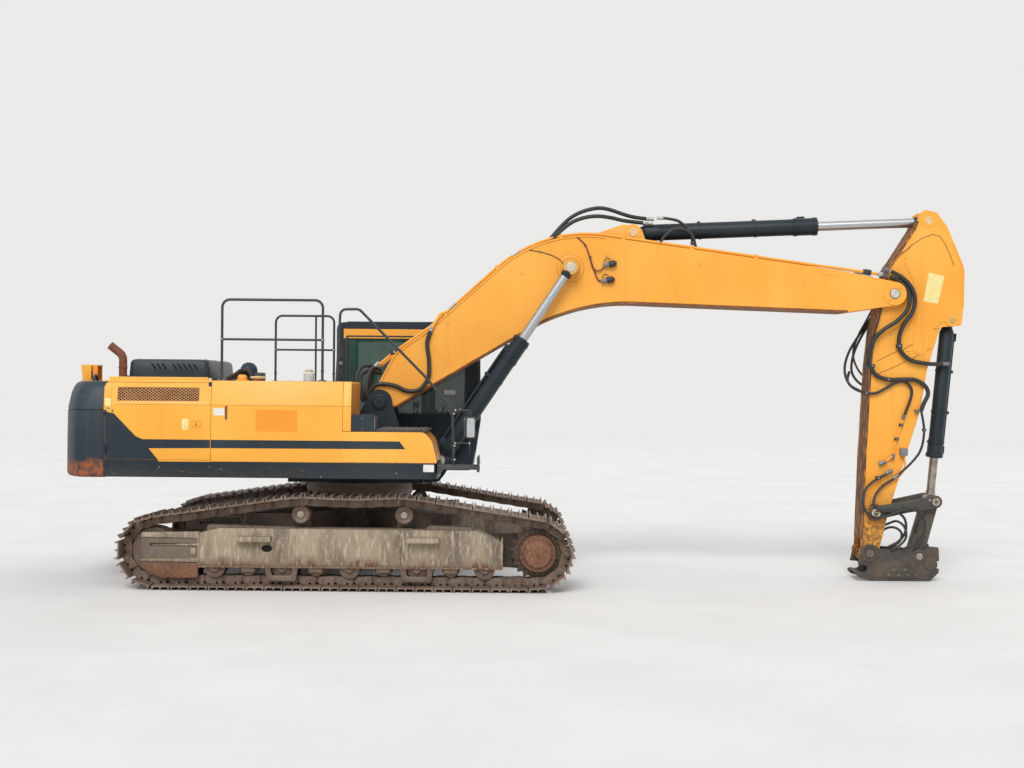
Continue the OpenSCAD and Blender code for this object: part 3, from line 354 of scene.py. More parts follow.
def smoothLine(points, perSpan=6):                   # a smooth curve through the points
    p = [Vector(q) for q in points]
    p = [p[0] * 2 - p[1]] + p + [p[-1] * 2 - p[-2]]
    out = []
    for i in range(1, len(p) - 2):
        for k in range(perSpan):
            t = k / perSpan
            out.append(0.5 * (2 * p[i] + (p[i + 1] - p[i - 1]) * t + (2 * p[i - 1] - 5 * p[i] + 4 * p[i + 1]
                    - p[i + 2]) * t * t + (3 * p[i] - p[i - 1] - 3 * p[i + 1] + p[i + 2]) * t ** 3))
    return out + [p[-2]]


def mirrored(side, a, b, middle=0):                  # two depths on one side of a middle, the smaller first
    return sorted((middle + side * a, middle + side * b))


def flipTo(side):                                    # what is drawn on the right side, put on the side asked for
    return Matrix.Scale(-side, 4, (0, 1, 0))


def lineLength(points):
    return sum((b - a).length for a, b in zip(points, points[1:]))


def lofted(rings, ends=(True, True), around=False):   # a skin through rings of points
    part = bmesh.new()
    loops = [[part.verts.new(c) for c in ring] for ring in rings]
    for a, b in zip(loops, loops[1:] + (loops[:1] if around else [])):
        for k in range(len(a)):
            m = (k + 1) % len(a)
            part.faces.new((a[k], a[m], b[m], b[k]))
    if ends[0]:
        part.faces.new(loops[0][::-1])
    if ends[1]:
        part.faces.new(loops[-1])
    bmesh.ops.recalc_face_normals(part, faces=part.faces)
    return part


bevelFrom = math.radians(30)                         # only edges that turn by more than this are bevelled


class Piece:
    def __init__(self, name, body, slot, place=Matrix.Identity(4), replaces=(), sharpAngle=35):
        self.name, self.body, self.slot, self.place, self.replaces = name, body, slot, place, replaces
        self.sharpAngle, self.bm, self.used = sharpAngle, bmesh.new(), []

    def finishIndex(self, finish):
        if finish not in self.used:
            self.used.append(finish)
        return self.used.index(finish)

    def add(self, part, finish, bevel=0.0, segments=2, place=None, keepIndex=False):
        if bevel:
            sharp = [e for e in part.edges if e.is_manifold and e.calc_face_angle(0) > bevelFrom]
            bmesh.ops.bevel(part, geom=sharp, offset=bevel, segments=segments, profile=0.6, affect="EDGES",
                            clamp_overlap=True)
        if not keepIndex:
            index = self.finishIndex(finish)
            for f in part.faces:
                f.material_index = index
        move = self.place @ place if place else self.place
        if move.determinant() < 0:
            bmesh.ops.reverse_faces(part, faces=part.faces)
        mesh = bpy.data.meshes.new("part")
        part.to_mesh(mesh)
        part.free()
        mesh.transform(move)
        self.bm.from_mesh(mesh)
        bpy.data.meshes.remove(mesh)

    def box(self, low, high, finish, bevel=0.004, segments=2, place=None):
        part = bmesh.new()
        bmesh.ops.create_cube(part, size=1)
        low, high = Vector(low), Vector(high)
        for v in part.verts:
            v.co = Vector(((low.x + high.x) / 2 + v.co.x * (high.x - low.x),
                           (low.y + high.y) / 2 + v.co.y * (high.y - low.y),
                           (low.z + high.z) / 2 + v.co.z * (high.z - low.z)))
        self.add(part, finish, bevel, segments, place)

    # a box on one side, depths from the middle
    def sideBox(self, side, xs, ys, zs, finish, bevel=0.004, segments=2):
        y0, y1 = mirrored(side, *ys)
        self.box((xs[0], y0, zs[0]), (xs[1], y1, zs[1]), finish, bevel, segments)

    def plate(self, outline, y0, y1, finish, bevel=0.004, segments=2, place=None):      # a side view given a width
        self.prism([Vector((p[0], y0, p[1])) for p in outline], Vector((0, y1 - y0, 0)), finish, bevel, segments,
                   place)

    def slab(self, outline, z0, z1, finish, bevel=0.004, segments=2, place=None):       # a plan view given a height
        self.prism([Vector((p[0], p[1], z0)) for p in outline], Vector((0, 0, z1 - z0)), finish, bevel, segments,
                   place)

    # a front view [y, z] given a depth
    def front(self, outline, x0, x1, finish, bevel=0.004, segments=2, place=None):
        self.prism([Vector((x0, p[0], p[1])) for p in outline], Vector((x1 - x0, 0, 0)), finish, bevel, segments,
                   place)

    def prism(self, corners, depth, finish, bevel, segments, place):
        part = bmesh.new()
        face = part.faces.new([part.verts.new(c) for c in corners])
        moved = bmesh.ops.extrude_face_region(part, geom=[face])["geom"]
        bmesh.ops.translate(part, vec=depth, verts=[g for g in moved if isinstance(g, bmesh.types.BMVert)])
        bmesh.ops.recalc_face_normals(part, faces=part.faces)
        self.add(part, finish, bevel, segments, place)

    def lathe(self, at, axis, profile, finish, sides=32, place=None, bevel=0.0):        # profile: [along, radius]
        part = bmesh.new()
        turn = Vector(axis).normalized().to_track_quat("Z", "Y").to_matrix().to_4x4()
        rings = [[part.verts.new(Vector((r * math.cos(math.tau * k / sides), r * math.sin(math.tau * k / sides),
                                         h))) for k in range(sides)] if r > 0 else [part.verts.new(Vector((0, 0,
                h)))] for h, r in profile]
        for a, b in zip(rings, rings[1:]):
            for k in range(sides):
                m = (k + 1) % sides
                quad = [a[k % len(a)], a[m % len(a)], b[m % len(b)], b[k % len(b)]]
                quad = [v for i, v in enumerate(quad) if v not in quad[:i]]
                if len(quad) > 2:
                    part.faces.new(quad)
        for ring in (rings[0], rings[-1]):
            if len(ring) > 1:
                part.faces.new(ring)
        bmesh.ops.recalc_face_normals(part, faces=part.faces)
        part.transform(Matrix.Translation(at) @ turn)
        self.add(part, finish, bevel, 2, place)

    def rod(self, a, b, radius, finish, sides=20, bevel=0.003, place=None, end=None):
        a, b = Vector(a), Vector(b)
        length, end = (b - a).length, radius if end is None else end
        c = min(bevel, radius * 0.4, length * 0.4)
        self.lathe(a, b - a, [(0, radius - c), (c, radius), (length - c, end), (length, end - c)] if c else [(0,
                radius), (length, end)], finish, sides, place)

    def tube(self, points, radius, finish, sides=10, place=None):
        pts = [Vector(p) for p in points]
        side, rings = None, []
        for i, p in enumerate(pts):
            t = (pts[min(i + 1, len(pts) - 1)] - pts[max(i - 1, 0)]).normalized()
            if side is None:
                side = t.orthogonal().normalized()
            side = (side - t * side.dot(t)).normalized()
            up = t.cross(side)
            rings.append([p + radius * (math.cos(math.tau * k / sides) * side + math.sin(math.tau * k / sides) * up)
                          for k in range(sides)])
        self.add(lofted(rings), finish, place=place)

    def bolt(self, at, axis, radius, finish, washer=True, place=None):
        a = Vector(axis).normalized()
        if washer:
            self.lathe(at, a, [(-0.001, radius * 1.25), (radius * 0.18, radius * 1.25),
                               (radius * 0.2, radius * 1.15)], finish, 14, place)
        self.lathe(at, a, [(0, radius), (radius * 0.85, radius), (radius, radius * 0.8), (radius, 0)], finish, 6,
                   place)

    def boltRing(self, centre, axis, ringRadius, count, radius, finish, start=0.0, place=None):
        turn = Vector(axis).normalized().to_track_quat("Z", "Y").to_matrix()
        for k in range(count):
            a = start + math.tau * k / count
            self.bolt(Vector(centre) + turn @ Vector((ringRadius * math.cos(a), ringRadius * math.sin(a), 0)), axis,
                      radius, finish, place=place)

    def done(self):
        mesh = bpy.data.meshes.new(self.name)
        self.bm.to_mesh(mesh)
        self.bm.free()
        mesh.shade_smooth()
        mesh.set_sharp_from_angle(angle=math.radians(self.sharpAngle))
        for name in self.used:
            mesh.materials.append(finishes[name])
        obj = bpy.data.objects.new(self.name, mesh)
        scene.collection.objects.link(obj)
        if self.body:
            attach(obj, self.body)
        if self.replaces:
            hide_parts(*self.replaces)
        return obj


def dressNode(node, finish):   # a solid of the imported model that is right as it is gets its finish
    mesh = frame["nodes"][node].data
    mesh.materials.clear()
    mesh.materials.append(finishes[finish])


# Floor, backdrop and soft light
# turn, power, softness
stageSet = {"radius": 70, "sky": 0.62, "seen": (0.83, 0.825, 0.815),
            "lights": {"sun": ((48, 14, -24), 2.0, 30), "fill": ((65, -10, 150), 0.5, 60)}}


def makeStage():
    bm = bmesh.new()
    bmesh.ops.create_circle(bm, cap_ends=True, segments=96, radius=stageSet["radius"],
                            matrix=Matrix.Translation((0, 0, -0.0008)))
    mesh = bpy.data.meshes.new("floor")
    bm.to_mesh(mesh)
    bm.free()
    mesh.materials.append(finishes["floor"])
    ground = bpy.data.objects.new("floor", mesh)
    scene.collection.objects.link(ground)
    world = bpy.data.worlds.new("sky")
    scene.world = world
    world.use_nodes = True
    tree = world.node_tree
    sky = tree.nodes["Background"]
    sky.inputs["Color"].default_value = (0.95, 0.97, 1.0, 1)
    sky.inputs["Strength"].default_value = stageSet["sky"]
    seen = tree.nodes.new("ShaderNodeBackground")                 # what the camera, metal and glass see of it
    seen.inputs["Color"].default_value = (*stageSet["seen"], 1)
    rays, join = tree.nodes.new("ShaderNodeLightPath"), tree.nodes.new("ShaderNodeMixShader")
    share = rays.outputs["Is Camera Ray"]
    for kind in ("Is Glossy Ray", "Is Transmission Ray"):
        larger = tree.nodes.new("ShaderNodeMath")
        larger.operation = "MAXIMUM"
        tree.links.new(share, larger.inputs[0])
        tree.links.new(rays.outputs[kind], larger.inputs[1])
        share = larger.outputs[0]
    tree.links.new(share, join.inputs[0])
    tree.links.new(sky.outputs[0], join.inputs[1])
    tree.links.new(seen.outputs[0], join.inputs[2])
    tree.links.new(join.outputs[0], tree.nodes["World Output"].inputs["Surface"])
    for name, (turn, power, angle) in stageSet["lights"].items():
        light = bpy.data.lights.new(name, "SUN")
        light.energy, light.angle = power, math.radians(angle)
        lamp = bpy.data.objects.new(name, light)
        scene.collection.objects.link(lamp)
        lamp.rotation_euler = [math.radians(t) for t in turn]
    scene.view_settings.view_transform = "Standard"


makeStage()
print("stage set")


# Tracks: shoes, links, pins and bolts along the pin line
trackSet = {"tumblers": 2.2, "middle": 1.37, "shoeHalf": 0.3, "shoes": 51, "pinRadius": 0.335, "pinHeight": 0.1,
            "plateOut": 0.066, "topPin": 1.01, "carriers": (-0.53, 0.66), "sag": 0.025}


def pinLine():
    t = trackSet
    z, c, r = t["pinHeight"] + t["pinRadius"], t["carriers"], t["pinRadius"]
    line = [(-t["tumblers"], t["pinHeight"])]
    line += [(t["tumblers"] + r * math.cos(math.radians(a)), z + r * math.sin(math.radians(a)))
             for a in range(-90, 81, 5)]
    line += [(c[1] + 0.06, t["topPin"] - 0.003), (c[1] - 0.06, t["topPin"]),
             ((c[0] + c[1]) / 2, t["topPin"] - t["sag"]), (c[0] + 0.06, t["topPin"]),
             (c[0] - 0.06, t["topPin"] - 0.003)]
    line += [(-t["tumblers"] + r * math.cos(math.radians(a)), z + r * math.sin(math.radians(a)))
             for a in range(95, 266, 5)]
    line = [Vector(p) for p in line]
    runs = [0]
    for a, b in zip(line, line[1:] + line[:1]):
        runs.append(runs[-1] + (b - a).length)
    line.append(line[0])
    pins, seg = [], 0
    for i in range(t["shoes"]):
        s = runs[-1] * i / t["shoes"]
        while s > runs[seg + 1]:
            seg += 1
        pins.append(line[seg] + (line[seg + 1] - line[seg]) * (s - runs[seg]) / (runs[seg + 1] - runs[seg]))
    return pins, runs[-1] / t["shoes"]


trackPins, shoePitch = pinLine()


def shoeTemplate(piece):
    # One shoe with its two links: X along the track, Z out from the pin line
    t, h = trackSet, shoePitch / 2
    outline = [(-.103, .048), (-.1045, .06), (-.1, .07), (-.097, .096), (-.095, .1), (-.089, .1), (-.086, .096),
               (-.08, .071), (-.073, .066), (-.017, .066), (-.009, .071), (-.0055, .096), (-.0035, .1), (.0035, .1),
               (.0055, .096), (.009, .071), (.017, .066), (.073, .066), (.08, .071), (.086, .096), (.089, .1),
               (.095, .1), (.097, .096), (.1, .07), (.1045, .058), (.103, .048)]
    piece.plate(outline, -t["shoeHalf"], t["shoeHalf"], "trackSteel", 0.0015, 1)
    for x in (-.092, 0, .092):                                   # grousers' tips, worn bright
        piece.box((x - .0042, -t["shoeHalf"] + .004, .0975), (x + .0042, t["shoeHalf"] - .004, .1003), "wornSteel", 0)
    for s in (-1, 1):
        def half(end):
            arc = [(end * h + .047 * math.cos(a), .047 * math.sin(a)) for a in (math.radians(90 - end * 20 * k)
                    for k in range(1, 9))]
            return ([(-end * .018, .048), (-end * .018, -.05), (end * .05, -.05)] + arc[::-1] + [(end * .056, .048),
                    (end * .052, .024), (end * .028, .024), (end * .024, .048)])
        for end, y0, y1 in ((1, .046, .069), (-1, .0695, .094)):
            piece.plate(half(end), *mirrored(s, y0, y1), "rollerSteel", 0)
        piece.sideBox(s, (-.03, .03), (.05, .09), (-.052, .02), "rollerSteel", 0)
        piece.rod((-h, s * .0945, 0), (-h, s * .1, 0), .021, "trackSteel", 12, .002)
        for x in (-.045, .045):
            for y in (.052, .088):
                piece.lathe((x, s * y, t["plateOut"]), (0, 0, 1), [(0, .013), (.009, .013), (.011, .01), (.011, 0)],
                            "rollerSteel", 6)
    piece.lathe((-h, -.045, 0), (0, 1, 0), [(0, .03), (.09, .03)], "wornSteel", 14)


def makeTrack(name, side):
    sample = Piece("sample", "lower", "track_steel")
    shoeTemplate(sample)
    shoe = bpy.data.meshes.new("shoe")
    sample.bm.to_mesh(shoe)
    sample.bm.free()
    track = Piece(name + "_chain", "lower", "track_steel", machineFrame, [name])
    track.used = list(sample.used)
    for i, pin in enumerate(trackPins):
        following = trackPins[(i + 1) % len(trackPins)]
        d, mid = (following - pin).normalized(), (following + pin) / 2
        m = Matrix(((d.x, 0, d.y, mid.x), (0, 1, 0, side * trackSet["middle"]), (d.y, 0, -d.x, mid.y), (0, 0, 0, 1)))
        part = bmesh.new()
        part.from_mesh(shoe)
        part.transform(m)
        if m.determinant() < 0:
            bmesh.ops.reverse_faces(part, faces=part.faces)
        track.add(part, None, keepIndex=True)
    bpy.data.meshes.remove(shoe)
    track.done()


for trackName, side in (("track_left", 1), ("track_right", -1)):
    makeTrack(trackName, side)
print("tracks made")

# Sprockets, final drives, idlers and rollers
wheelSet = {"teeth": 21, "root": 0.284, "tip": 0.318, "sprocketHalf": 0.036, "coverBolts": 20, "rollers": 9,
            "pitch": 0.387,
            "rollerMiddle": 0.04, "rollerZ": 0.2475, "carrierZ": 0.859}


def makeSprockets():
    w, t = wheelSet, trackSet
    p = Piece("sprocket_rings", "lower", "track_steel", machineFrame, ["sprockets"])
    teeth = []
    for k in range(w["teeth"]):
        for share, r in ((-.5, w["root"] - .004), (-.36, w["root"]), (-.25, .297), (-.14, .312), (-.05, w["tip"]),
                         (.05, w["tip"]), (.14, .312), (.25, .297), (.36, w["root"])):
            a = math.tau * (k + share) / w["teeth"]
            teeth.append((t["tumblers"] + r * math.cos(a), t["pinHeight"] + t["pinRadius"] + r * math.sin(a)))
    for s in (-1, 1):
        mid = s * t["middle"]
        p.plate(teeth, mid - w["sprocketHalf"], mid + w["sprocketHalf"], "sprocketSteel", 0.004, 1)
        at = Vector((t["tumblers"], mid, t["pinHeight"] + t["pinRadius"]))
        for out in (-1, 1):
            p.lathe(at, (0, out, 0), [(.03, .262), (.0365, .262), (.038, .255), (.038, .19)], "sprocketSteel", 48)
            p.boltRing(at + Vector((0, out * .038, 0)), (0, out, 0), .242, 24, .011, "rollerSteel")
    p.done()
    p = Piece("drive_covers", "lower", "track_steel", machineFrame, ["final_drives"])
    for s in (-1, 1):
        at, axis = Vector((t["tumblers"], s * t["middle"], t["pinHeight"] + t["pinRadius"])), (0, s, 0)
        p.lathe(at, axis, [(-.28, .12), (-.275, .15), (-.185, .15), (-.155, .2), (-.15, .205), (-.0365, .205),
                           (-.036, .18), (.0363, .18), (.037, .214), (.05, .215), (.06, .211), (.075, .211),
                           (.085, .215), (.15, .215), (.163, .211), (.17, .204), (.171, .168), (.174, .163),
                           (.189, .16), (.197, .153), (.199, .14), (.199, .062), (.1955, .058), (.1955, .03),
                           (.2, .026), (.2, 0)], "driveRust", 64)
        p.boltRing(at + Vector((0, s * .171, 0)), axis, .187, w["coverBolts"], .0105, "driveRust")
        p.boltRing(at + Vector((0, s * .199, 0)), axis, .1, 3, .012, "driveRust", 0.5)
        p.bolt(at + Vector((0, s * .2, 0)), axis, .014, "driveRust")
    p.done()


def makeIdlers():
    t = trackSet
    p = Piece("idler_wheels", "lower", "track_steel", machineFrame, ["idlers"])
    half = [(-.1, .155), (-.1, .248), (-.096, .26), (-.043, .262), (-.037, .278), (-.033, .283)]
    for s in (-1, 1):
        at = Vector((-t["tumblers"], s * t["middle"], t["pinHeight"] + t["pinRadius"]))
        p.lathe(at, (0, 1, 0), [(-.143, .045), (-.143, .068), (-.108, .072), (-.105, .11), (-.07, .125),
                                (-.066, .15)] + half + [(-h, r) for h, r in half[::-1]] + [(.066, .15), (.07, .125),
                (.105, .11), (.108, .072), (.143, .068), (.143, .045)], "rollerSteel", 56)
    p.done()


def makeRollers():
    w, t = wheelSet, trackSet
    p = Piece("roller_set", "lower", "track_steel", machineFrame, ["track_rollers"])
    for s in (-1, 1):
        for i in range(w["rollers"]):
            at = Vector((w["rollerMiddle"] + (i - 4) * w["pitch"], s * t["middle"], w["rollerZ"]))
            double = i % 2 == 0
            outer = ([(-.128, .05), (-.128, .11), (-.124, .12), (-.104, .122), (-.1, .117),
                      (-.097, .095)] if double else [(-.12, .05), (-.12, .088), (-.115, .095)])
            p.lathe(at, (0, 1, 0), [(-.143, .038)] + [(-.132, .042)] + outer + [(-.044, .0945), (-.04, .108),
                    (.04, .108), (.044, .0945)] + [(-h, r) for h, r in outer[::-1]] + [(.132, .042), (.143, .038)],
                    "rollerSteel", 28)
            for out in (-1, 1):                                   # collars bolted under the frame
                y = out * .1435
                if not double:
                    p.box((at.x - .075, at.y + min(y, y + out * .02), .2), (at.x + .075, at.y + max(y, y + out * .02),
                            .3), "rollerSteel", .006)
                    for x in (-.05, .05):
                        p.bolt((at.x + x, at.y + y + out * .02, .275), (0, out, 0), .013, "rollerSteel")
                p.lathe(at + Vector((0, y, 0)), (0, out, 0), [(-.004, .05), (.012, .05), (.016, .045), (.016, .02),
                                                              (.01, .016), (.01, 0)], "rollerSteel", 20)
    p.done()
    p = Piece("carrier_set", "lower", "track_steel", machineFrame, ["carrier_rollers"])
    for s in (-1, 1):
        for x in t["carriers"]:
            p.lathe((x, s * t["middle"], w["carrierZ"]), (0, s, 0), [(-.11, .035), (-.1, .04), (-.098, .1),
                    (-.09, .104), (-.074, .104), (-.066, .089), (.062, .089), (.072, .104), (.09, .104), (.096, .1),
                    (.1, .085), (.093, .07), (.093, .05), (.1, .045), (.103, .03), (.1, .022), (.1, 0)],
                    "rollerSteel", 32)
            p.lathe((x, s * t["middle"], w["carrierZ"]), (0, s, 0), [(.098, .044), (.1045, .031), (.1045, .022),
                    (.102, .02), (.102, 0)], "wornSteel", 28)
    p.done()


makeSprockets()
makeIdlers()
makeRollers()

# Track frames: box with a sloped top, cover over the idler's yoke, guards, steps and roller flange
frameSet = {"out": 0.165, "yokeBack": -2.34, "yokeFront": -1.69, "front": 1.79}


def makeTrackFrame(name, side):
    f, t = frameSet, trackSet
    p = Piece(name + "_weldment", "lower", "undercarriage_paint", machineFrame @ Matrix.Scale(side, 4, (0, 1, 0)),
              [name])
    mid, o = t["middle"], f["out"]
    p.plate(roundedLine([[f["yokeFront"], .262, 0], [f["front"], .262, 0], [f["front"], .56, .06], [1.5, .69, .08],
                         [-1.45, .7, .08], [f["yokeFront"], .64, 0]]), mid - o, mid + o, "frameSteel", .006)
    # the sloped tops at both ends stand higher than the middle
    for ends in ([[-1.6, .6, 0], [-1.6, .74, .04], [-.62, .715, .1], [-.45, .66, 0]], [[.8, .62, 0], [.95, .745, .05],
            [1.4, .73, .1], [1.62, .6, 0]]):
        p.plate(roundedLine(ends), mid - o + .03, mid + o - .03, "frameShadowSteel", .01)
    p.plate([(f["yokeFront"], .25), (f["front"], .25), (f["front"], .268), (f["yokeFront"], .268)], mid - o - .018,
            mid + o + .018, "frameSteel", .003)
    for y in (mid - o, mid + o):                                  # weld beads between the box's plates
        for x in (-.58, .62, 1.74):
            p.rod((x, y, .275), (x, y, .63), .0055, "frameSteel", 8, 0)
    # yoke over the idler: upper cover, channel, lower rib, belly
    yb, yf, w = f["yokeBack"], f["yokeFront"], o + .016
    for s in (-1, 1):
        y0, y1 = mirrored(s, o - .022, o, mid)
        p.plate(roundedLine([[yf, .15, 0], [yf, .66, 0], [yb + .03, .64, .05], [yb, .58, .03], [yb, .28, .04],
                             [yb + .1, .15, .1]]), y0, y1, "frameShadowSteel", .004)
        for z0, z1, x0 in ((.585, .66, yb), (.5, .522, yb + .1), (.31, .355, yb)):
            p.plate(roundedLine([[yf + .01, z0, 0], [yf + .01, z1, 0], [x0, z1 - .012, .015], [x0, z0 + .008, .01]]),
                    *mirrored(s, o - .004, w, mid), "frameSteel", .006)
        p.plate(roundedLine([[yf - .005, .13, .02], [yf - .005, .3, 0], [yb + .01, .3, 0], [yb + .02, .22, .06],
                             [yb + .2, .125, .2]]), *mirrored(s, o - .006, o + .008, mid), "driveRust", .006)
        y0, y1 = mirrored(s, o - .004, o + .01, mid)
        p.box((yf - .09, y0, .4), (yf - .03, y1, .47), "frameSteel", .004)
        p.rod((yf, mid + s * o, .27), (yf, mid + s * o, .66), .012, "frameSteel", 10, 0)
    p.box((yf - .06, mid - o + .001, .3), (yf + .02, mid + o - .001, .64), "frameShadowSteel", .01)
    p.rod((-t["tumblers"], mid - .14, .435), (-t["tumblers"], mid + .14, .435), .07, "rollerSteel", 20)
    # end plate and flange that carries the final drive
    p.box((f["front"] - .012, mid - o - .012, .255), (f["front"] + .01, mid + o + .012, .6), "frameSteel", .005)
    c = (t["tumblers"], t["pinHeight"] + t["pinRadius"])
    p.plate([(f["front"] - .25, .262), (c[0] - .03, c[1] - .213), (c[0] + .1, c[1] - .19), (c[0] + .19, c[1] - .1),
             (c[0] + .215, c[1]), (c[0] + .19, c[1] + .1), (c[0] + .1, c[1] + .19), (c[0] - .03, c[1] + .213),
             (f["front"] - .25, .63)], mid - o - .02, mid - o + .01, "frameShadowSteel", .006)
    p.boltRing((c[0], mid - o - .02, c[1]), (0, -1, 0), .185, 16, .012, "rollerSteel")
    # carrier roller posts
    for x in t["carriers"]:
        p.plate(roundedLine([[x - .11, .6, 0], [x + .11, .6, 0], [x + .07, wheelSet["carrierZ"] + .06, .05],
                             [x - .07, wheelSet["carrierZ"] + .06, .05]]), mid - o + .005, mid - .11,
                "frameShadowSteel", .006)
        p.box((x - .09, mid - .115, .665), (x + .09, mid + .03, .705), "rollerSteel", .008)
    for i in (2, 6):                                              # chain guards
        x = wheelSet["rollerMiddle"] + (i - 4) * wheelSet["pitch"]
        for s in (-1, 1):
            y0, y1 = mirrored(s, o - .004, o + .018, mid)
            p.plate(roundedLine([[x - .19, .262, 0], [x - .165, .1, .03], [x + .165, .1, .03], [x + .19, .262, 0],
                                 [x + .13, .262, 0], [x + .11, .165, .03], [x - .11, .165, .03], [x - .13, .262, 0]]),
                    y0, y1, "rollerSteel", .005)
            for dx in (-.16, .16):
                p.bolt((x + dx, mid + s * (o + .018), .245), (0, s, 0), .014, "rollerSteel")
    for x0, x1 in ((-1.25, -.85), (.7, 1.075)):                   # steps on the outer side
        p.box((x0, mid + o - .002, .6), (x1, mid + t["shoeHalf"] - .018, .614), "frameSteel", .003)
        p.box((x0, mid + t["shoeHalf"] - .03, .556), (x1, mid + t["shoeHalf"] - .016, .614), "frameSteel", .003)
        for x in (x0, x1 - .012):
            p.plate([(x, .556), (x + .012, .556), (x + .012, .61), (x, .61)], mid + o - .002,
                    mid + t["shoeHalf"] - .018, "frameSteel", .002)
        for k in range(7):
            x = x0 + .04 + k * (x1 - x0 - .08) / 6
            p.box((x - .006, mid + o + .02, .6135), (x + .006, mid + t["shoeHalf"] - .04, .6175), "wornSteel", .001)
    # oval hole of the grease fitting, filled with painted shade, and its rim
    hole = [(-.905 + .062 * math.cos(math.tau * k / 28), .471 + .04 * math.sin(math.tau * k / 28)) for k in range(28)]
    rim = [(-.905 + .07 * math.cos(math.tau * k / 28), .471 + .048 * math.sin(math.tau * k / 28)) for k in range(28)]
    p.plate(rim, mid + o - .002, mid + o + .003, "frameSteel", .001)
    p.plate(hole, mid + o, mid + o + .0036, "paintedGapShade", 0)
    p.done()


for frameName, side in (("track_frame_left", 1), ("track_frame_right", -1)):
    makeTrackFrame(frameName, side)


def makeTurntable():
    p = Piece("turntable_bolts", "lower", "track_steel", machineFrame)
    p.boltRing((0, 0, 1.02), (0, 0, -1), .6, 36, .014, "rollerSteel")
    p.lathe((0, 0, 1.06), (0, 0, 1), [(0, .652), (.045, .652), (.05, .648)], "rollerSteel", 72)
    p.done()


makeTurntable()
dressNode("lower_frame", "frameShadowSteel")
dressNode("swing_ring", "rollerSteel")
print("undercarriage made")


# Counterweight: lofted from plan outlines, a groove round it, its lower edge scraped to rust
weightSet = {"front": -2.8003, "half": halfWidth, "radius": 3.505,
             "levels": ((1.266, .05), (1.27, .03), (1.285, .008), (1.31, .001), (1.7, 0), (2.036, .004),
                        (2.038, .016), (2.046, .016),
                        (2.048, .006), (2.1, .014), (2.24, .045), (2.31, .075), (2.345, .1), (2.366, .13),
                        (2.3745, .17))}


def weightOutline(inset):
    w = weightSet
    half, r = w["half"] - inset, w["radius"] - inset
    edge = math.asin(half / r) - 0.075
    arc = [[-r * math.cos(a), r * math.sin(a), 0] for a in (edge * k / 14 for k in range(-14, 15))]
    corner = -math.sqrt(r * r - half * half)
    line = [[w["front"], -half, 0]] + [[corner + .2, -half, 0], [corner + .075, -half + .012, 0],
                                       [corner + .008, -half + .07, 0]]
    line += arc + [[x, -y, 0] for x, y, _ in line[::-1]]
    return line


def makeCounterweight():
    p = Piece("counterweight_casting", "house", "slate_paint", machineFrame, ["counterweight"], 50)
    p.add(lofted([[(x, y, z) for x, y, _ in weightOutline(inset)] for z, inset in weightSet["levels"]]),
          "weightPaint")
    for s in (-1, 1):                                             # lifting eyes and the two bolt caps on the top
        loop = [Vector((-3.1, s * .75 + .07 * math.cos(a), 2.37 + .075 * math.sin(a)))
                for a in (math.pi * k / 12 for k in range(13))]
        p.tube(loop, .016, "weightPaint", 10)
        p.lathe((-3.0, s * .35, 2.3745), (0, 0, 1), [(-.004, .06), (.012, .06), (.016, .055), (.016, 0)],
                "weightPaint", 24)
    p.done()


makeCounterweight()

# Side panels: upright to the crease, leaning in above it
panelSet = {"side": halfWidth, "crease": 2.109, "top": 2.39, "lean": 0.04, "thick": 0.035, "low": 1.475,
            "doorTop": 2.36, "hingeTop": 2.219}


def panelY(z, extra=0.0):                                         # the right side's outer face at a height
    s = panelSet
    over = max(0, z - s["crease"]) / (s["top"] - s["crease"])
    return -(s["side"] + extra - (s["lean"] * over + (.005 if z > s["crease"] else 0)))


def panelOutline(z0, z1, thick=None, extra=0.0):
    s, t = panelSet, panelSet["thick"] if thick is None else thick
    heights = [z0] + ([s["crease"] - .004, s["crease"] + .001] if z0 < s["crease"] < z1 else []) + [z1]
    outer = [(panelY(z, extra), z) for z in heights]
    return outer + [(y + t + extra, z) for y, z in outer[::-1]]


def sideStrip(p, x0, x1, z0, z1, finish, side, bevel=0.003, extra=0.0, thick=None):
    flip = flipTo(side)
    p.front(panelOutline(z0, z1, thick, extra), x0, x1, finish, bevel, 2, flip)


def meshScreen(p, x0, x1, z0, z1, yOf, finish, pitchX=0.044, pitchZ=0.031, wide=0.0085, place=None):
    # crossed strands of expanded metal, cut off at the frame
    slope = pitchZ / pitchX
    rise = (z1 - z0) / slope
    count = int((x1 - x0 + rise) / pitchX) + 1
    for k in range(count):
        for lean in (1, -1):
            a = x0 - rise + k * pitchX if lean > 0 else x0 + k * pitchX
            ends = []
            for x, z in ((a, z0), (a + rise, z1)) if lean > 0 else ((a, z0), (a - rise, z1)):
                cx = min(max(x, x0), x1)
                ends.append((cx, z + (cx - x) * slope * lean))
            (xa, za), (xb, zb) = ends
            if abs(xa - xb) < .004 or not (z0 - 1e-6 <= za <= z1 + 1e-6 and z0 - 1e-6 <= zb <= z1 + 1e-6):
                continue
            a3, b3 = Vector((xa, yOf(za), za)), Vector((xb, yOf(zb), zb))
            along = (b3 - a3).normalized()
            n = Vector((0, -1, 0))
            w = along.cross(n).normalized() * wide / 2
            p.prism((a3 + w, b3 + w, b3 - w, a3 - w), n * .003, finish, 0, 1, place)


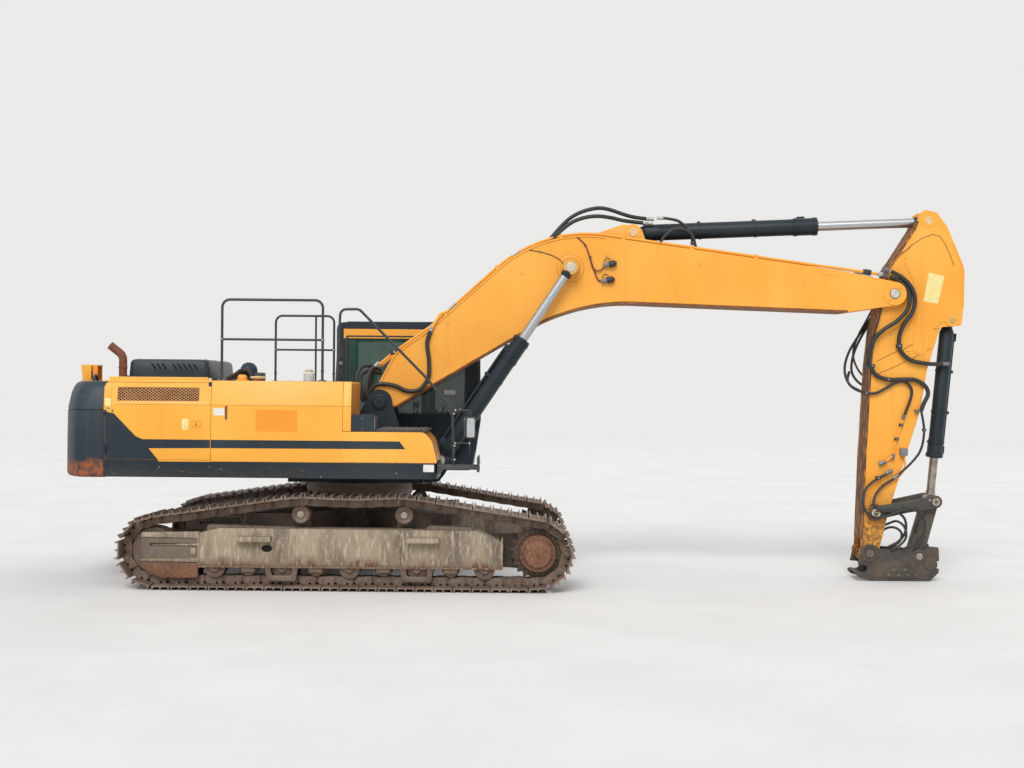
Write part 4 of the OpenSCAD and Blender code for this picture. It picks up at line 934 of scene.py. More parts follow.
def latch(p, x0, x1, z0, z1, side):                               # sunk latch with its lever and lock
    flip = flipTo(side)
    y = -panelSet["side"]
    rim = roundedBox(x0, x1, z0, z1, .012, 4)
    inner = roundedBox(x0 + .01, x1 - .01, z0 + .01, z1 - .01, .008, 4)
    p.plate(rim, y - .003, y + .002, "bodyPaint", .0015, 1, flip)
    p.plate(inner, y - .0036, y + .002, "orangePatch", .0008, 1, flip)
    p.box((x0 + .022, y - .009, z0 + .03), (x1 - .022, y - .003, z1 - .03), "bodyPaint", .003, 2, flip)
    p.rod(((x0 + x1) / 2, y - .004, (z0 + z1) / 2), ((x0 + x1) / 2, y - .0125, (z0 + z1) / 2), .01, "blackPlastic",
          16, .001, flip)


def knuckleHinge(p, x, side, low, high, start, reach):            # the hinges' round parts, as on the solids
    for z in (low + .12 + start, high - .18 + start):
        finish = "slatePaint" if side < 0 and z < 2 else "bodyPaint"
        p.rod((x, side * 1.502, z), (x, side * 1.502, z + knuckle), .01, finish, 16, .0015)
        x0, x1 = sorted((x, x + reach))
        p.sideBox(side, (x0, x1), (1.489, 1.496), (z, z + knuckle), finish, .0015, 1)


doorSet = {"pump_door": (-2.79, -1.575, -1), "cooler_door": (-2.79, -1.64, 1), "filter_door": (-1.61, -.48, 1)}
grille = (-2.648, -1.708, 2.149, 2.306)


def makeDoor(node):
    x0, x1, side = doorSet[node]
    s = panelSet
    p = Piece(node + "_panel", node, "body_paint", machineFrame, [node])
    flip = flipTo(side)
    if node == "filter_door":
        sideStrip(p, x0, x1, s["low"], s["doorTop"], "bodyPaint", side)
    else:
        g = grille if side < 0 else (x0 + .14, x1 - .13, 2.149, 2.306)
        sideStrip(p, x0, x1, s["low"], g[2], "bodyPaint", side)
        sideStrip(p, x0, g[0], g[2], s["doorTop"], "bodyPaint", side, 0)
        sideStrip(p, g[1], x1, g[2], s["doorTop"], "bodyPaint", side, 0)
        sideStrip(p, g[0], g[1], g[3], s["doorTop"], "bodyPaint", side, 0)
        # dark sheet behind the grille: painted shade
        back = [(panelY(g[2]) + .03, g[2] - .01), (panelY(g[3]) + .03, g[3] + .01), (panelY(g[3]) + .034, g[3] + .01),
                (panelY(g[2]) + .034, g[2] - .01)]
        p.front(back, g[0] - .01, g[1] + .01, "paintedGapShade", 0, 1, flip)
        meshScreen(p, g[0] - .004, g[1] + .004, g[2] - .002, g[3] + .002, lambda z: panelY(z) + .008, "meshRust",
                   place=flip)
    # inner returns
    for z0, z1, t in ((s["low"] + .002, s["low"] + .03, .05), (s["doorTop"] - .03, s["doorTop"] - .002, .05)):
        p.front([(panelY(z0) + .034, z0), (panelY(z1) + .034, z1), (panelY(z1) + t, z1), (panelY(z0) + t, z0)],
                x0 + .02, x1 - .02, "bodyPaint", .002, 1, flip)
    latchBack = -.72 if node == "filter_door" else -1.8
    latch(p, latchBack, latchBack + .13, 1.836, 1.937, side)
    y = -s["side"]
    if node == "pump_door":
        p.box((-1.903, y - .0025, 1.822), (-1.825, y, 1.948), "paleYellowPlate", .001, 1, flip)
        for z in (1.86, 1.91):
            p.bolt((-1.864, y - .0025, z), (0, -1, 0), .005, "zinc", place=flip)
        dark = [(x0 + .002, 2.024), (-2.685, 2.003), (-2.43, 1.742), (-2.353, 1.709), (x1 - .002, stripeTop),
                (x1 - .002, stripeLow), (-2.281, 1.605), (-2.175, s["low"] + .002), (x0 + .002, s["low"] + .002)]
        p.plate(dark, y - .0012, y + .001, "slatePaint", 0, 1, flip)
        # thin dark strip of painted shade in the crease
        p.plate([(-2.66, creaseShadeLow), (x1 - .004, creaseShadeLow), (x1 - .004, creaseShadeTop), (-2.66, creaseShadeTop)], y - .0006, y + .004,
                "seamShade", 0, 1, flip)
        # cover of the upper hinge, with its bolts
        sideStrip(p, x0 + .004, -2.722, 2.035, 2.18, "paleYellowPlate", side, .002, .005, .03)
        sideStrip(p, x0 + .004, -2.722, 2.182, 2.35, "bodyPaint", side, .002, .005, .03)
        for bx, bz in ((-2.74, 2.06), (-2.7, 2.032)):
            p.bolt((bx, y - .005, bz), (0, -1, 0), .009, "rollerSteel", place=flip)
    else:
        p.plate([(x0 + .002, stripeLow), (x1 - .002, stripeLow), (x1 - .002, stripeTop), (x0 + .002, stripeTop)],
                y - .0012, y + .001, "slatePaint", 0, 1, flip)
    knuckleHinge(p, x0 + .01, side, s["low"], s["hingeTop"], 0, .04)
    p.done()


for doorNode in doorSet:
    makeDoor(doorNode)


housingSet = {"back": -2.8, "front": -1.5703, "leftFront": -0.4, "wallTop": 2.37}


def makeHousing():
    p = Piece("engine_housing", "house", "body_paint", machineFrame, ["rear_housing"])
    s, h = panelSet, housingSet
    for side in (-1, 1):
        # frame strips below and above the doors
        x0, x1 = (h["back"], h["front"]) if side < 0 else (h["back"], h["leftFront"])
        dark = -2.17 if side < 0 else x0                          # the dark corner takes in the frame round it
        if side < 0:
            sideStrip(p, x0, dark, deckTop, s["low"] - .004, "slatePaint", side, .001)
        sideStrip(p, dark, x1, deckTop, s["low"] - .004, "bodyPaint", side, .001)
        sideStrip(p, x0, x1, s["doorTop"] + .004, s["top"], "bodyPaint", side, .001)
        posts = [(h["back"], -2.7903), (-1.5745, h["front"])] if side < 0 else [(h["back"], -2.7903),
                (-1.636, -1.614), (-.476, h["leftFront"])]
        for x0, x1 in posts:
            split = 2.024 if side < 0 and x0 < -2.7 else s["low"] - .004
            if split > 2:
                sideStrip(p, x0, x1, s["low"] - .004, split, "slatePaint", side, .001)
            sideStrip(p, x0, x1, split, s["doorTop"] + .004, "bodyPaint", side, .001)
        for x in [-2.78] if side < 0 else [-2.78, -1.6]:
            knuckleHinge(p, x, side, s["low"], s["hingeTop"], -.05, -.018)
    roof = .035
    y0, y1 = -(s["side"] - s["lean"] - .03), s["side"] - s["lean"] - .03
    z0, z1 = s["top"] - roof, s["top"]
    p.box((h["back"], y0, z0), (-2.66, y1, z1), "bodyPaint", .002)     # roof round the hood's opening
    p.box((-1.77, y0, z0), (h["front"], y1, z1), "bodyPaint", .002)
    for a, b in ((y0, -.76), (.76, y1)):
        p.box((-2.67, a, z0), (-1.76, b, z1), "bodyPaint", .002)
    p.box((-1.58, -.4497, z0), (-.9, y1, z1), "bodyPaint", .002)
    p.box((-.91, .36, z0), (h["leftFront"], y1, z1), "bodyPaint", .002)
    p.box((h["back"], -1.455, deckTop), (-2.765, 1.455, h["wallTop"]), "slatePaint", .003)      # bulkheads
    p.box((-1.605, -1.455, deckTop), (-1.57, .4, h["wallTop"]), "slatePaint", .003)
    p.box((-.94, -.4497, deckTop), (-.9, .36, h["wallTop"]), "slatePaint", .003)
    p.box((-.9, .36, deckTop), (h["leftFront"], .4, h["wallTop"]), "slatePaint", .003)
    p.box((-.435, .4, deckTop), (h["leftFront"], 1.455, h["wallTop"]), "slatePaint", .003)
    p.box((-1.6, -.4497, deckTop), (-.9, -.42, h["wallTop"]), "slatePaint", .003)
    # raised strips along the roof's edges, with the small hinge bracket at their end
    for side in (-1, 1):
        p.sideBox(side, (-2.75, -1.615), (1.4, 1.44), (2.388, 2.426), "bodyPaint", .005)
        p.sideBox(side, (-1.612, -1.575), (1.4, 1.435), (2.388, 2.416), "creamPaint", .005)
        p.sideBox(side, (-1.617, -1.611), (1.39, 1.436), (2.386, 2.424), "driveRust", .001)
    for y in (-.43, .38):                                         # hood hinges
        p.rod((-1.718, y + .05, 2.402), (-1.718, y + .0997, 2.402), .01, "slatePaint", 14, .0015)
        p.box((-1.72, y + .05, 2.389), (-1.68, y + .0997, 2.396), "slatePaint", .0015, 1)
    p.done()


makeHousing()


engineSet = {"back": -2.5, "front": -1.8, "half": 0.35, "caps": 6, "capPitch": 0.09, "coolerFins": 22,
             "finPitch": 0.03,
             "filters": 3, "filterPitch": 0.15}


def makeEngine():
    e = engineSet
    p = Piece("engine_unit", "house", "slate_paint", machineFrame, ["engine"])
    p.box((e["back"], -e["half"], deckTop), (e["front"], e["half"], 1.62), "deckSteel", .02)
    p.box((-2.45, -.28, 1.6), (-1.85, .28, 1.98), "slatePaint", .03)
    p.box((-2.42, -.2, 1.97), (-1.88, .2, 2.1), "deckSteel", .03)
    for k in range(e["caps"]):
        x = -2.37 + k * e["capPitch"]
        p.rod((x, -.1, 2.09), (x, -.1, 2.15), .03, "deckSteel", 16, .006)
    p.rod((-2.4, -.36, 2.0), (-1.85, -.36, 2.0), .09, "exhaustRust", 24, .02)
    p.rod((-2.15, .42, 1.95), (-1.9, .42, 1.95), .12, "deckSteel", 28, .03)
    p.lathe((-2.12, .38, 1.75), (0, 1, 0), [(0, .05), (.02, .3), (.06, .31), (.08, .28), (.08, .06), (.12, .05),
                                            (.12, 0)], "blackPlastic", 40)
    p.box((-2.55, .62, deckTop), (-1.75, .7997, 2.17), "deckSteel", .01)
    for k in range(e["coolerFins"]):
        z = 1.5 + k * e["finPitch"]
        p.box((-2.53, .795, z), (-1.77, .7999, z + .01), "greyTrim", 0)
    p.box((-2.45, -.7, deckTop), (-1.95, -.42, 1.9), "slatePaint", .02)
    for k in range(e["filters"]):
        x = -2.35 + k * e["filterPitch"]
        p.rod((x, -.68, 1.88), (x, -.68, 2.1), .045, "hoseRubber", 18, .01)
        p.tube(smoothLine([(x, -.68, 2.09), (-2.33 + k * .14, -.55, 2.16), (-2.2 + k * .1, -.4, 2.08),
                           (-2.1 + k * .1, -.28, 1.9)]), .022, "hoseRubber", 10)
    p.done()


makeEngine()

hoodSet = {"back": -2.7, "front": -1.73, "half": 0.8, "top": 2.645, "base": roofTop}


def makeHood():
    h = hoodSet
    p = Piece("hood_cover", "engine_hood", "slate_paint", machineFrame, ["engine_hood"])
    shells = []
    for inset, z in ((0, h["base"]), (0, h["base"] + .02), (.004, 2.5), (.012, 2.6), (.03, 2.632), (.06, 2.643),
                     (.1, h["top"])):
        line = roundedBox(h["back"] + inset, h["front"] - inset, -h["half"] + inset, h["half"] - inset, .06, 5)
        shells.append([(c.x, c.y, z) for c in line])
    part = lofted(shells, (False, True))
    bmesh.ops.solidify(part, geom=part.faces[:], thickness=.012)
    p.add(part, "slatePaint")
    # slanted slots and the rows of small holes below them, drawn as painted shade
    for s in (-1, 1):
        y = s * (h["half"] - .0035)
        y0, y1 = mirrored(s, -.004, .0015, y)
        for k, lean in [(i, 1) for i in range(3)] + [(i + 4, -1) for i in range(5)]:
            x = -2.43 + k * .062
            p.plate([(x, 2.59), (x + .026, 2.59), (x + .026 + .045, 2.525), (x + .045, 2.525)], y0, y1, "paintedGapShade", 0)
        for row in range(3):
            for k in range(12):
                p.lathe((-2.38 + k * .04 + row * .012, y + s * .0005, 2.512 - row * .018), (0, s, 0),
                        [(0, .006), (.0012, .006)], "paintedGapShade", 8)
    for x in (-2.62, -1.82):
        for y in (-.6, 0, .6):
            p.bolt((x, y, 2.6445), (0, 0, 1), .009, "zinc")
    for y in (-.43, .38):
        p.rod((-1.718, y, 2.402), (-1.718, y + knuckle, 2.402), .01, "slatePaint", 14, .0015)
        p.box((-1.735, y, 2.392), (-1.718, y + knuckle, 2.398), "slatePaint", .0015, 1)
    p.done()


makeHood()

tankSet = {"back": -1.5697, "seam": -0.054, "front": 0.04, "inner": -0.45, "base": deckTop}


def makeTank():
    t, s = tankSet, panelSet
    p = Piece("tank_housing", "house", "body_paint", machineFrame, ["fuel_tank"])
    # the big cover
    sideStrip(p, t["back"] + .003, t["seam"] - .003, t["base"] + .004, s["top"] - .002, "bodyPaint", -1, .004)
    sideStrip(p, t["seam"] + .002, t["front"], 1.82, s["top"] - .002, "bodyPaint", -1, .006)
    p.front([(panelY(t["base"]) + .012, t["base"]), (panelY(s["crease"]) + .014, s["crease"]),
             (panelY(s["top"]) + .03, s["top"] - .01), (t["inner"], s["top"] - .01), (t["inner"], t["base"])],
            t["back"], t["seam"] - .008, "bodyPaint", .006)
    p.front([(panelY(1.82) + .012, 1.82), (panelY(s["crease"]) + .014, s["crease"]),
             (panelY(s["top"]) + .03, s["top"] - .004), (t["inner"], s["top"] - .004), (t["inner"], 1.82)],
            t["seam"] - .01, t["front"] - .001, "bodyPaint", .012)
    p.box((-1.56, -1.42, s["top"] - .012), (t["front"] - .01, t["inner"] + .003, s["top"]), "bodyPaint", .004)
    # the tank's front face in darker orange: painted shade and dust
    p.front([(-1.465, 1.84), (-1.465, 2.1), (-1.43, 2.365), (t["inner"] - .01, 2.365), (t["inner"] - .01, 1.84)],
            t["front"] - .002, t["front"] + .0002, "dustAndShadePaint", 0)
    y = -s["side"]
    slot = roundedBox(-1.407, -1.38, 1.941, 2.1, .012, 4)
    rim = roundedBox(-1.412, -1.375, 1.936, 2.105, .016, 4)
    p.plate(rim, y - .002, y + .002, "bodyPaint", .001, 1)
    p.plate(slot, y - .0026, y + .002, "driveRust", 0)
    p.box((-1.541, y - .0012, 1.99), (-1.418, y + .001, 2.072), "whitePlate", .0004, 1)
    p.box((-1.053, y - .0007, 1.81), (-.577, y + .001, 2.055), "orangePatch", 0)
    p.plate([(t["back"] + .003, stripeLow), (t["seam"] - .003, 1.617), (t["seam"] - .003, stripeTop),
             (t["back"] + .003, stripeTop)], y - .0012, y + .001, "slatePaint", 0)
    # filler cap, breather lid, float housing on the top
    top = s["top"]
    p.lathe((-1.255, -1.25, top - .002), (0, 0, 1), [(0, .08), (.014, .08), (.018, .055), (.05, .055), (.06, .048),
                                                     (.075, .03), (.075, 0)], "armPaint", 28)
    p.lathe((-1.08, -1.2, top - .002), (0, 0, 1), [(0, .05), (.03, .05), (.032, .09), (.046, .094), (.056, .08),
                                                   (.06, 0)], "creamPaint", 32)
    p.lathe((-1.08, -1.2, top), (0, 0, 1), [(0, .07), (.014, .07), (.014, .05)], "driveRust", 32)
    p.lathe((-.55, -.73, top - .002), (0, 0, 1), [(0, .062), (.01, .064), (.1, .064), (.118, .05), (.12, .034),
                                                  (.15, .034), (.155, .03), (.155, 0)], "whitePlate", 32)
    p.lathe((-.55, -.73, top + .118), (0, 0, 1), [(0, .05), (.01, .052), (.02, .05), (.02, .03)], "creamPaint", 32)
    # thin dark strip of painted shade in the crease
    p.plate([(t["back"] + .003, creaseShadeLow), (t["front"] - .002, creaseShadeLow), (t["front"] - .002, creaseShadeTop),
             (t["back"] + .003, creaseShadeTop)], y - .0006, y + .004, "seamShade", 0)
    for k in range(8):
        p.bolt((-1.45 + k * .19, -1.41, top), (0, 0, 1), .008, "zinc")
    p.box((-.86, -1.36, top - .001), (-.06, -.5, top + .003), "deckSteel", .001, 1)       # anti-slip sheet
    p.done()


makeTank()


def treadPlate(p, x0, x1, y0, y1, z, finish, step=0.06):          # raised bars of an anti-slip sheet
    nx, ny = int((x1 - x0) / step), int((y1 - y0) / step)
    for i in range(nx):
        for j in range(ny):
            x, y = x0 + (i + .5) * (x1 - x0) / nx, y0 + (j + .5) * (y1 - y0) / ny
            turn = Matrix.Translation((x, y, z)) @ Matrix.Rotation(math.radians(45 if (i + j) % 2 else -45), 4, "Z")
            p.box((-.016, -.004, -.001), (.016, .004, .0022), finish, 0, 1, turn)


boxSet = {"back": -0.0597, "front": 1.03, "top": 1.8147, "inner": -0.55}


def makeToolbox():
    b = boxSet
    p = Piece("toolbox_body", "house", "body_paint", machineFrame, ["toolbox"])
    face = [[b["back"], deckTop, 0], [b["front"], deckTop, .02], [b["front"] - .002, 1.5, .1],
            [b["front"] - .055, 1.715, .15], [b["front"] - .145, b["top"], .09], [b["back"], b["top"], 0]]
    p.plate(roundedLine(face, 8), -halfWidth, -1.455, "bodyPaint", .007, 3)
    inner = [[x + (-.012 if x > .5 else .001), z - (.008 if z > 1.8 else 0), r] for x, z, r in face]
    p.plate(roundedLine(inner, 8), -1.456, b["inner"], "bodyPaint", .004)
    y = -halfWidth
    p.plate([(b["back"] + .003, 1.617), (.668, 1.62), (.6, stripeTop), (b["back"] + .003, stripeTop)], y - .0012,
            y + .001, "slatePaint", 0)
    p.plate([(b["back"] + .002, deckTop), (b["front"] - .01, deckTop), (b["front"] - .01, 1.464),
             (b["back"] + .002, 1.464)], y - .002, y + .001, "driveRust", 0)
    # anti-slip sheet that follows the rounded front, riveted along its edges
    line = roundedLine([[b["front"] - .004, 1.5, 0], [b["front"] - .057, 1.713, .15],
                        [b["front"] - .147, b["top"] - .004, .09], [.62, b["top"] - .004, 0]], 8, False)
    for k in range(len(line) - 1):
        a, c = line[k], line[k + 1]
        d = (c - a).normalized()
        n = Vector((d.y, -d.x)) * .006
        p.prism([Vector((q.x, -1.43, q.y)) for q in (a, c, c + n, a + n)], Vector((0, .84, 0)), "dustAndShadePaint", 0, 1,
                None)
    # dark line along the sheet's edge: painted shade in the gap
    p.tube([Vector((c.x, -1.443, c.y)) for c in line], .0075, "paintedGapShade", 8)
    for k in range(9):
        i = min(int(k * (len(line) - 1) / 8), len(line) - 2)
        t = line[i]
        d = (line[i + 1] - t).normalized()
        for yy in (-1.415, -.605):
            p.bolt((t.x + d.y * .006, yy, t.y - d.x * .006), (d.y, 0, -d.x), .006, "rollerSteel", False)
    p.done()
    p = Piece("toolbox_step", "house", "slate_paint", machineFrame, ["step_plate"])
    p.plate(roundedLine([[.33, 1.8153, 0], [.33, 1.851, .006], [.905, 1.851, .04], [.938, 1.84, .01],
                         [.9, 1.8153, 0]]), -1.47, -.57, "deckSteel", .003)
    treadPlate(p, .35, .89, -1.45, -.59, 1.852, "wornSteel")
    p.done()
    p = Piece("filler_case", "house", "slate_paint", machineFrame, ["filler_box"])
    p.plate(roundedLine([[.0405, 1.8155, 0], [.0405, 2.012, .03], [.29, 2.014, .02], [.3, 1.8155, 0]]), -1.47, -1.08,
            "slatePaint", .008, 3)
    p.plate(roundedLine([[.3, 1.8155, 0], [.3, 2.0, .01], [.32, 1.99, .02], [.32, 1.8155, 0]]), -1.46, -1.09,
            "deckSteel", .004)
    p.box((.3025, -1.468, 1.84), (.311, -1.46, 1.99), "greyTrim", .001, 1)
    for z in (1.85, 1.97):
        p.bolt((.17, -1.47, z), (0, -1, 0), .008, "rollerSteel")
    p.done()


makeToolbox()
print("housing made")
# Deck frame: the solid's own form, with a worn skirt, pin caps and a blank plate
deckSet = {"side": halfWidth, "low": 1.275, "top": 1.455, "foot": (0.262, 2.152), "base": (1.02, 1.45), "chips": 22}


def makeDeck():
    f = deckSet
    dressNode("house_frame", "slatePaint")
    p = Piece("deck_fittings", "house", "slate_paint", machineFrame)
    rng = random.Random(5)
    for s in (-1, 1):
        y0, y1 = mirrored(s, f["side"] - .002, f["side"] + .0015)
        p.box((-2.797, y0, f["low"] + .004), (.918, y1, f["top"] - .022), "skirtPaint", .001, 1)
        p.box((-2.797, y0, f["top"] - .017), (.918, y1, f["top"] - .002), "slatePaint", .001, 1)
        for k in range(f["chips"]):                               # paint knocked off the skirt, mostly low down
            x, z = rng.uniform(-2.75, .85), f["low"] + .01 + .13 * rng.random() ** 1.7
            w, h = rng.uniform(.006, .032), rng.uniform(.003, .009)
            outline = [(x + w * math.cos(a) * rng.uniform(.6, 1.1), z + h * math.sin(a) * rng.uniform(.5, 1.1))
                       for a in (math.tau * i / 8 for i in range(8))]
            p.plate(outline, *mirrored(s, f["side"] + .001, f["side"] + .0019),
                    rng.choice(("deckSteel", "driveRust", "wornSteel")), 0)
    p.box((.876, -1.4925, 1.36), (1.0, -1.49, 1.444), "whitePlate", .001, 1)
    for x, z in ((.886, 1.37), (.99, 1.37), (.886, 1.434), (.99, 1.434)):
        p.bolt((x, -1.4925, z), (0, -1, 0), .004, "zinc", False)
    x, z = f["foot"]
    for s in (-1, 1):                                             # the boom's foot pin and the base pins
        p.lathe((x, s * .347, z), (0, s, 0), [(-.001, .095), (.006, .094), (.009, .088), (.009, .053), (.014, .052),
                                              (.014, .045), (.009, .043), (.009, .03), (.016, .029), (.016, .02),
                                              (.011, .018), (.011, 0)], "cylinderPaint", 40)
        p.lathe((x, s * .347, z), (0, s, 0), [(.0088, .0528), (.0147, .0515), (.0147, .0455), (.0088, .044)],
                "deckSteel", 40)
        p.boltRing((x, s * .356, z), (0, s, 0), .072, 6, .007, "cylinderPaint")
        p.lathe((f["base"][0], s * .51, f["base"][1]), (0, s, 0), [(-.002, .062), (.004, .06), (.004, .03),
                (.007, .028), (.007, 0)], "pinSteel", 36)
        p.sideBox(s, (f["base"][0] - .02, f["base"][0] + .02), (.509, .516),
                  (f["base"][1] - .055, f["base"][1] - .04), "rollerSteel", .001, 1)
        for bx, bz in ((-.5, 1.5), (-.1, 1.58), (.5, 1.66), (.8, 1.6)):
            p.bolt((bx, s * .335, bz), (0, s, 0), .013, "rollerSteel")
    for s in (-1, 1):                                             # ribs on the brackets
        for xr, z0, z1 in ((-.02, 1.47, 1.72), (.5, 1.47, 1.68)):
            p.sideBox(s, (xr, xr + .016), (.334, .37), (z0, z1), "slatePaint", .003, 1)
    # hoses from the valve block to the boom's foot
    for k, (y, z) in enumerate(((-.24, 1.62), (-.16, 1.66), (.16, 1.66), (.24, 1.62))):
        line = smoothLine([(-1.2, y, 2.05), (-.8, y, 2.02 + .04 * k), (-.45, y * .9, 1.82), (-.2, y * .8, z),
                           (.3, y * .7, z + .04), (.6, y * .6, z - .1)], 5)
        p.tube(line, .021, "hoseRubber", 10)
    # covers and hose loops that stand up between the hood and the rails
    p.box((-1.62, -.36, 2.391), (-1.5, .1, 2.435), "blackPlastic", .02, 3)
    p.box((-1.29, -.3, 2.391), (-1.17, -.1, 2.5), "deckSteel", .02, 3)
    p.lathe((-1.37, -.16, 2.391), (0, 0, 1), [(0, .11), (.1, .11), (.17, .1), (.215, .07), (.232, .03), (.235, 0)],
            "slatePaint", 36)
    for y in (-.36, -.305, .0, .06):                              # low beside the hood, which opens over them
        p.tube(smoothLine([(-1.6, y, 2.4), (-1.565, y, 2.44), (-1.5, y, 2.478), (-1.42, y, 2.53), (-1.34, y, 2.51),
                           (-1.28, y, 2.4)], 5), .021, "hoseRubber", 10)
    p.box((-1.5, -.3, 1.455), (-1.12, .3, 2.12), "slatePaint", .02)
    for k in range(5):
        p.rod((-1.12, -.24 + k * .12, 1.95), (-1.07, -.24 + k * .12, 1.95), .03, "zinc", 14)
    p.done()


makeDeck()

exhaustSet = {"x": -2.735, "y": -0.9, "base": roofTop, "radius": 0.048, "mouth": (-2.885, 2.797)}


def makeExhaust():
    e = exhaustSet
    p = Piece("exhaust_stack", "house", "cab_trim", machineFrame, ["exhaust_pipe"])
    x, y, r = e["x"], e["y"], e["radius"]
    line = roundedLine([[x, e["base"] + .004, 0], [x, 2.68, .11], [e["mouth"][0], e["mouth"][1], 0]], 9, False)
    points = [Vector((c.x, y, c.y)) for c in line]
    p.tube(points[:-1] + [points[-1].lerp(points[-2], .5)], r, "exhaustRust", 28)
    d = (points[-1] - points[-2]).normalized()
    p.lathe(points[-1] - d * .075, d, [(0, r * .99), (.06, r), (.072, r * 1.03), (.079, r * 1.03), (.08, r * .93),
                                       (.01, r * .9), (.008, 0)], "exhaustRust", 32)
    # dark disc inside the mouth: painted shade
    p.lathe(points[-1] - d * .06, d, [(0, r * .89), (.004, 0)], "paintedGapShade", 28)
    p.lathe((x, y, e["base"]), (0, 0, 1), [(0, .085), (.012, .085), (.014, .06), (.03, .058), (.034, r)], "driveRust",
            32)
    p.boltRing((x, y, e["base"] + .012), (0, 0, 1), .072, 4, .007, "zinc", .8)
    p.rod((x, y, 2.53), (x, y, 2.545), r + .006, "exhaustRust", 32, .002)
    p.done()


makeExhaust()

cameraGuardSet = {"back": -3.46, "half": 0.11, "low": 2.3753, "top": 2.58}


def makeCameraGuard():
    c = cameraGuardSet
    p = Piece("camera_guard", "house", "body_paint", machineFrame, ["camera_hood"])
    b, z0, z1 = c["back"], c["low"], c["top"]
    p.box((b, -c["half"], z0), (b + .21, c["half"], z0 + .012), "bodyPaint", .002)
    for s in (-1, 1):
        y0, y1 = mirrored(s, c["half"], c["half"] - .012)
        p.plate([(b + .02, z0 + .01), (b + .125, z0 + .01), (b + .125, z1 - .012), (b, z1 - .012)], y0, y1,
                "bodyPaint", .002)
        p.box((b + .145, y0, z0 + .01), (b + .204, y1, z1 - .012), "orangePatch", .002)
        for x in (.03, .1, .178):
            p.bolt((b + x, s * c["half"], z0 + .03), (0, s, 0), .006, "zinc")
    p.plate(roundedLine([[b, z1 - .015, 0], [b + .21, z1 - .015, 0], [b + .21, z1, .006], [b, z1, .006]]), -c["half"],
            c["half"], "bodyPaint", .002)
    p.box((b + .045, -.05, z0 + .03), (b + .15, .05, z0 + .13), "blackPlastic", .012)
    p.lathe((b + .046, 0, z0 + .08), (-1, 0, 0), [(0, .034), (.014, .034), (.016, .026), (.01, .022), (.012, 0)],
            "blackPlastic", 24)
    p.lathe((b + .036, 0, z0 + .08), (-1, 0, 0), [(0, .02), (.004, 0)], "lampLens", 20)
    p.done()


makeCameraGuard()

railSet = {"y": 1.35, "radius": 0.0155, "mid": 0.0135, "foot": roofTop,
           "right": (-1.475, -0.31, 3.33, 2.87), "left": (-1.28, -0.50, 3.28, 2.825), "extra": -0.743,
           "front": [[-.145, 2.392, 0], [-.107, 3.228, .07], [.11, 3.232, .09], [.89, 2.447, .3], [1.197, 2.078, .06],
                     [1.22, 1.4267, 0]]}


def makeRails():
    r = railSet
    p = Piece("safety_rails", "house", "cab_trim", machineFrame, ["handrails"])

    def pipe(y, points, radius=r["radius"]):
        p.tube([Vector((c.x, y, c.y)) for c in roundedLine(points, 8, False)], radius, "railPaint", 14)

    def footPlate(x, y):
        p.box((x - .045, y - .045, r["foot"]), (x + .045, y + .045, r["foot"] + .012), "railPaint", .003)
        p.lathe((x, y, r["foot"] + .011), (0, 0, 1), [(0, .026), (.008, .021)], "railPaint", 20)
        for dx in (-.032, .032):
            for dy in (-.032, .032):
                p.bolt((x + dx, y + dy, r["foot"] + .012), (0, 0, 1), .006, "zinc")

    def collar(x, y, z, axis):
        a = Vector(axis) * .012
        p.rod(Vector((x, y, z)) - a, Vector((x, y, z)) + a, r["radius"] + .0035, "railPaint", 16, .002)

    for y, (x0, x1, top, mid) in ((-r["y"], r["right"]), (r["y"], r["left"])):
        pipe(y, [[x0, r["foot"], 0], [x0, top, .09], [x1, top, .09], [x1, r["foot"], 0]])
        pipe(y, [[x0, mid, 0], [x1, mid, 0]], r["mid"])
        for x in (x0, x1):
            footPlate(x, y)
            collar(x, y, mid, (0, 0, 1))
            p.bolt((x, y - r["radius"] - .003, mid), (0, -1, 0), .009, "zinc")
            collar(x, y, r["foot"] + .12, (0, 0, 1))
    pipe(r["y"], [[r["extra"], r["foot"], 0], [r["extra"], r["left"][2], 0]], r["mid"])
    footPlate(r["extra"], r["y"])
    pipe(-r["y"], r["front"])
    collar(-.128, -r["y"], 2.75, (0, 0, 1))
    # clamps, each with its bolt
    for x, z, d in ((1.203, 2.03, (0, 0, 1)), (1.217, 1.5, (0, 0, 1)), (1.214, 1.66, (0, 0, 1))):
        collar(x, -r["y"], z, d)
        p.box((x - .03, -r["y"] - .012, z - .012), (x + .03, -r["y"] + .012, z + .012), "railPaint", .003)
        p.bolt((x + .014, -r["y"] - .021, z), (0, -1, 0), .008, "pinSteel")
    p.box((1.2, -1.372, 1.4267), (1.245, -1.328, 1.436), "railPaint", .002)
    p.done()


makeRails()

mirrorSet = {"x": (1.34, 1.465), "z": (1.74, 2.0), "y": 1.35, "bar": 2.072}


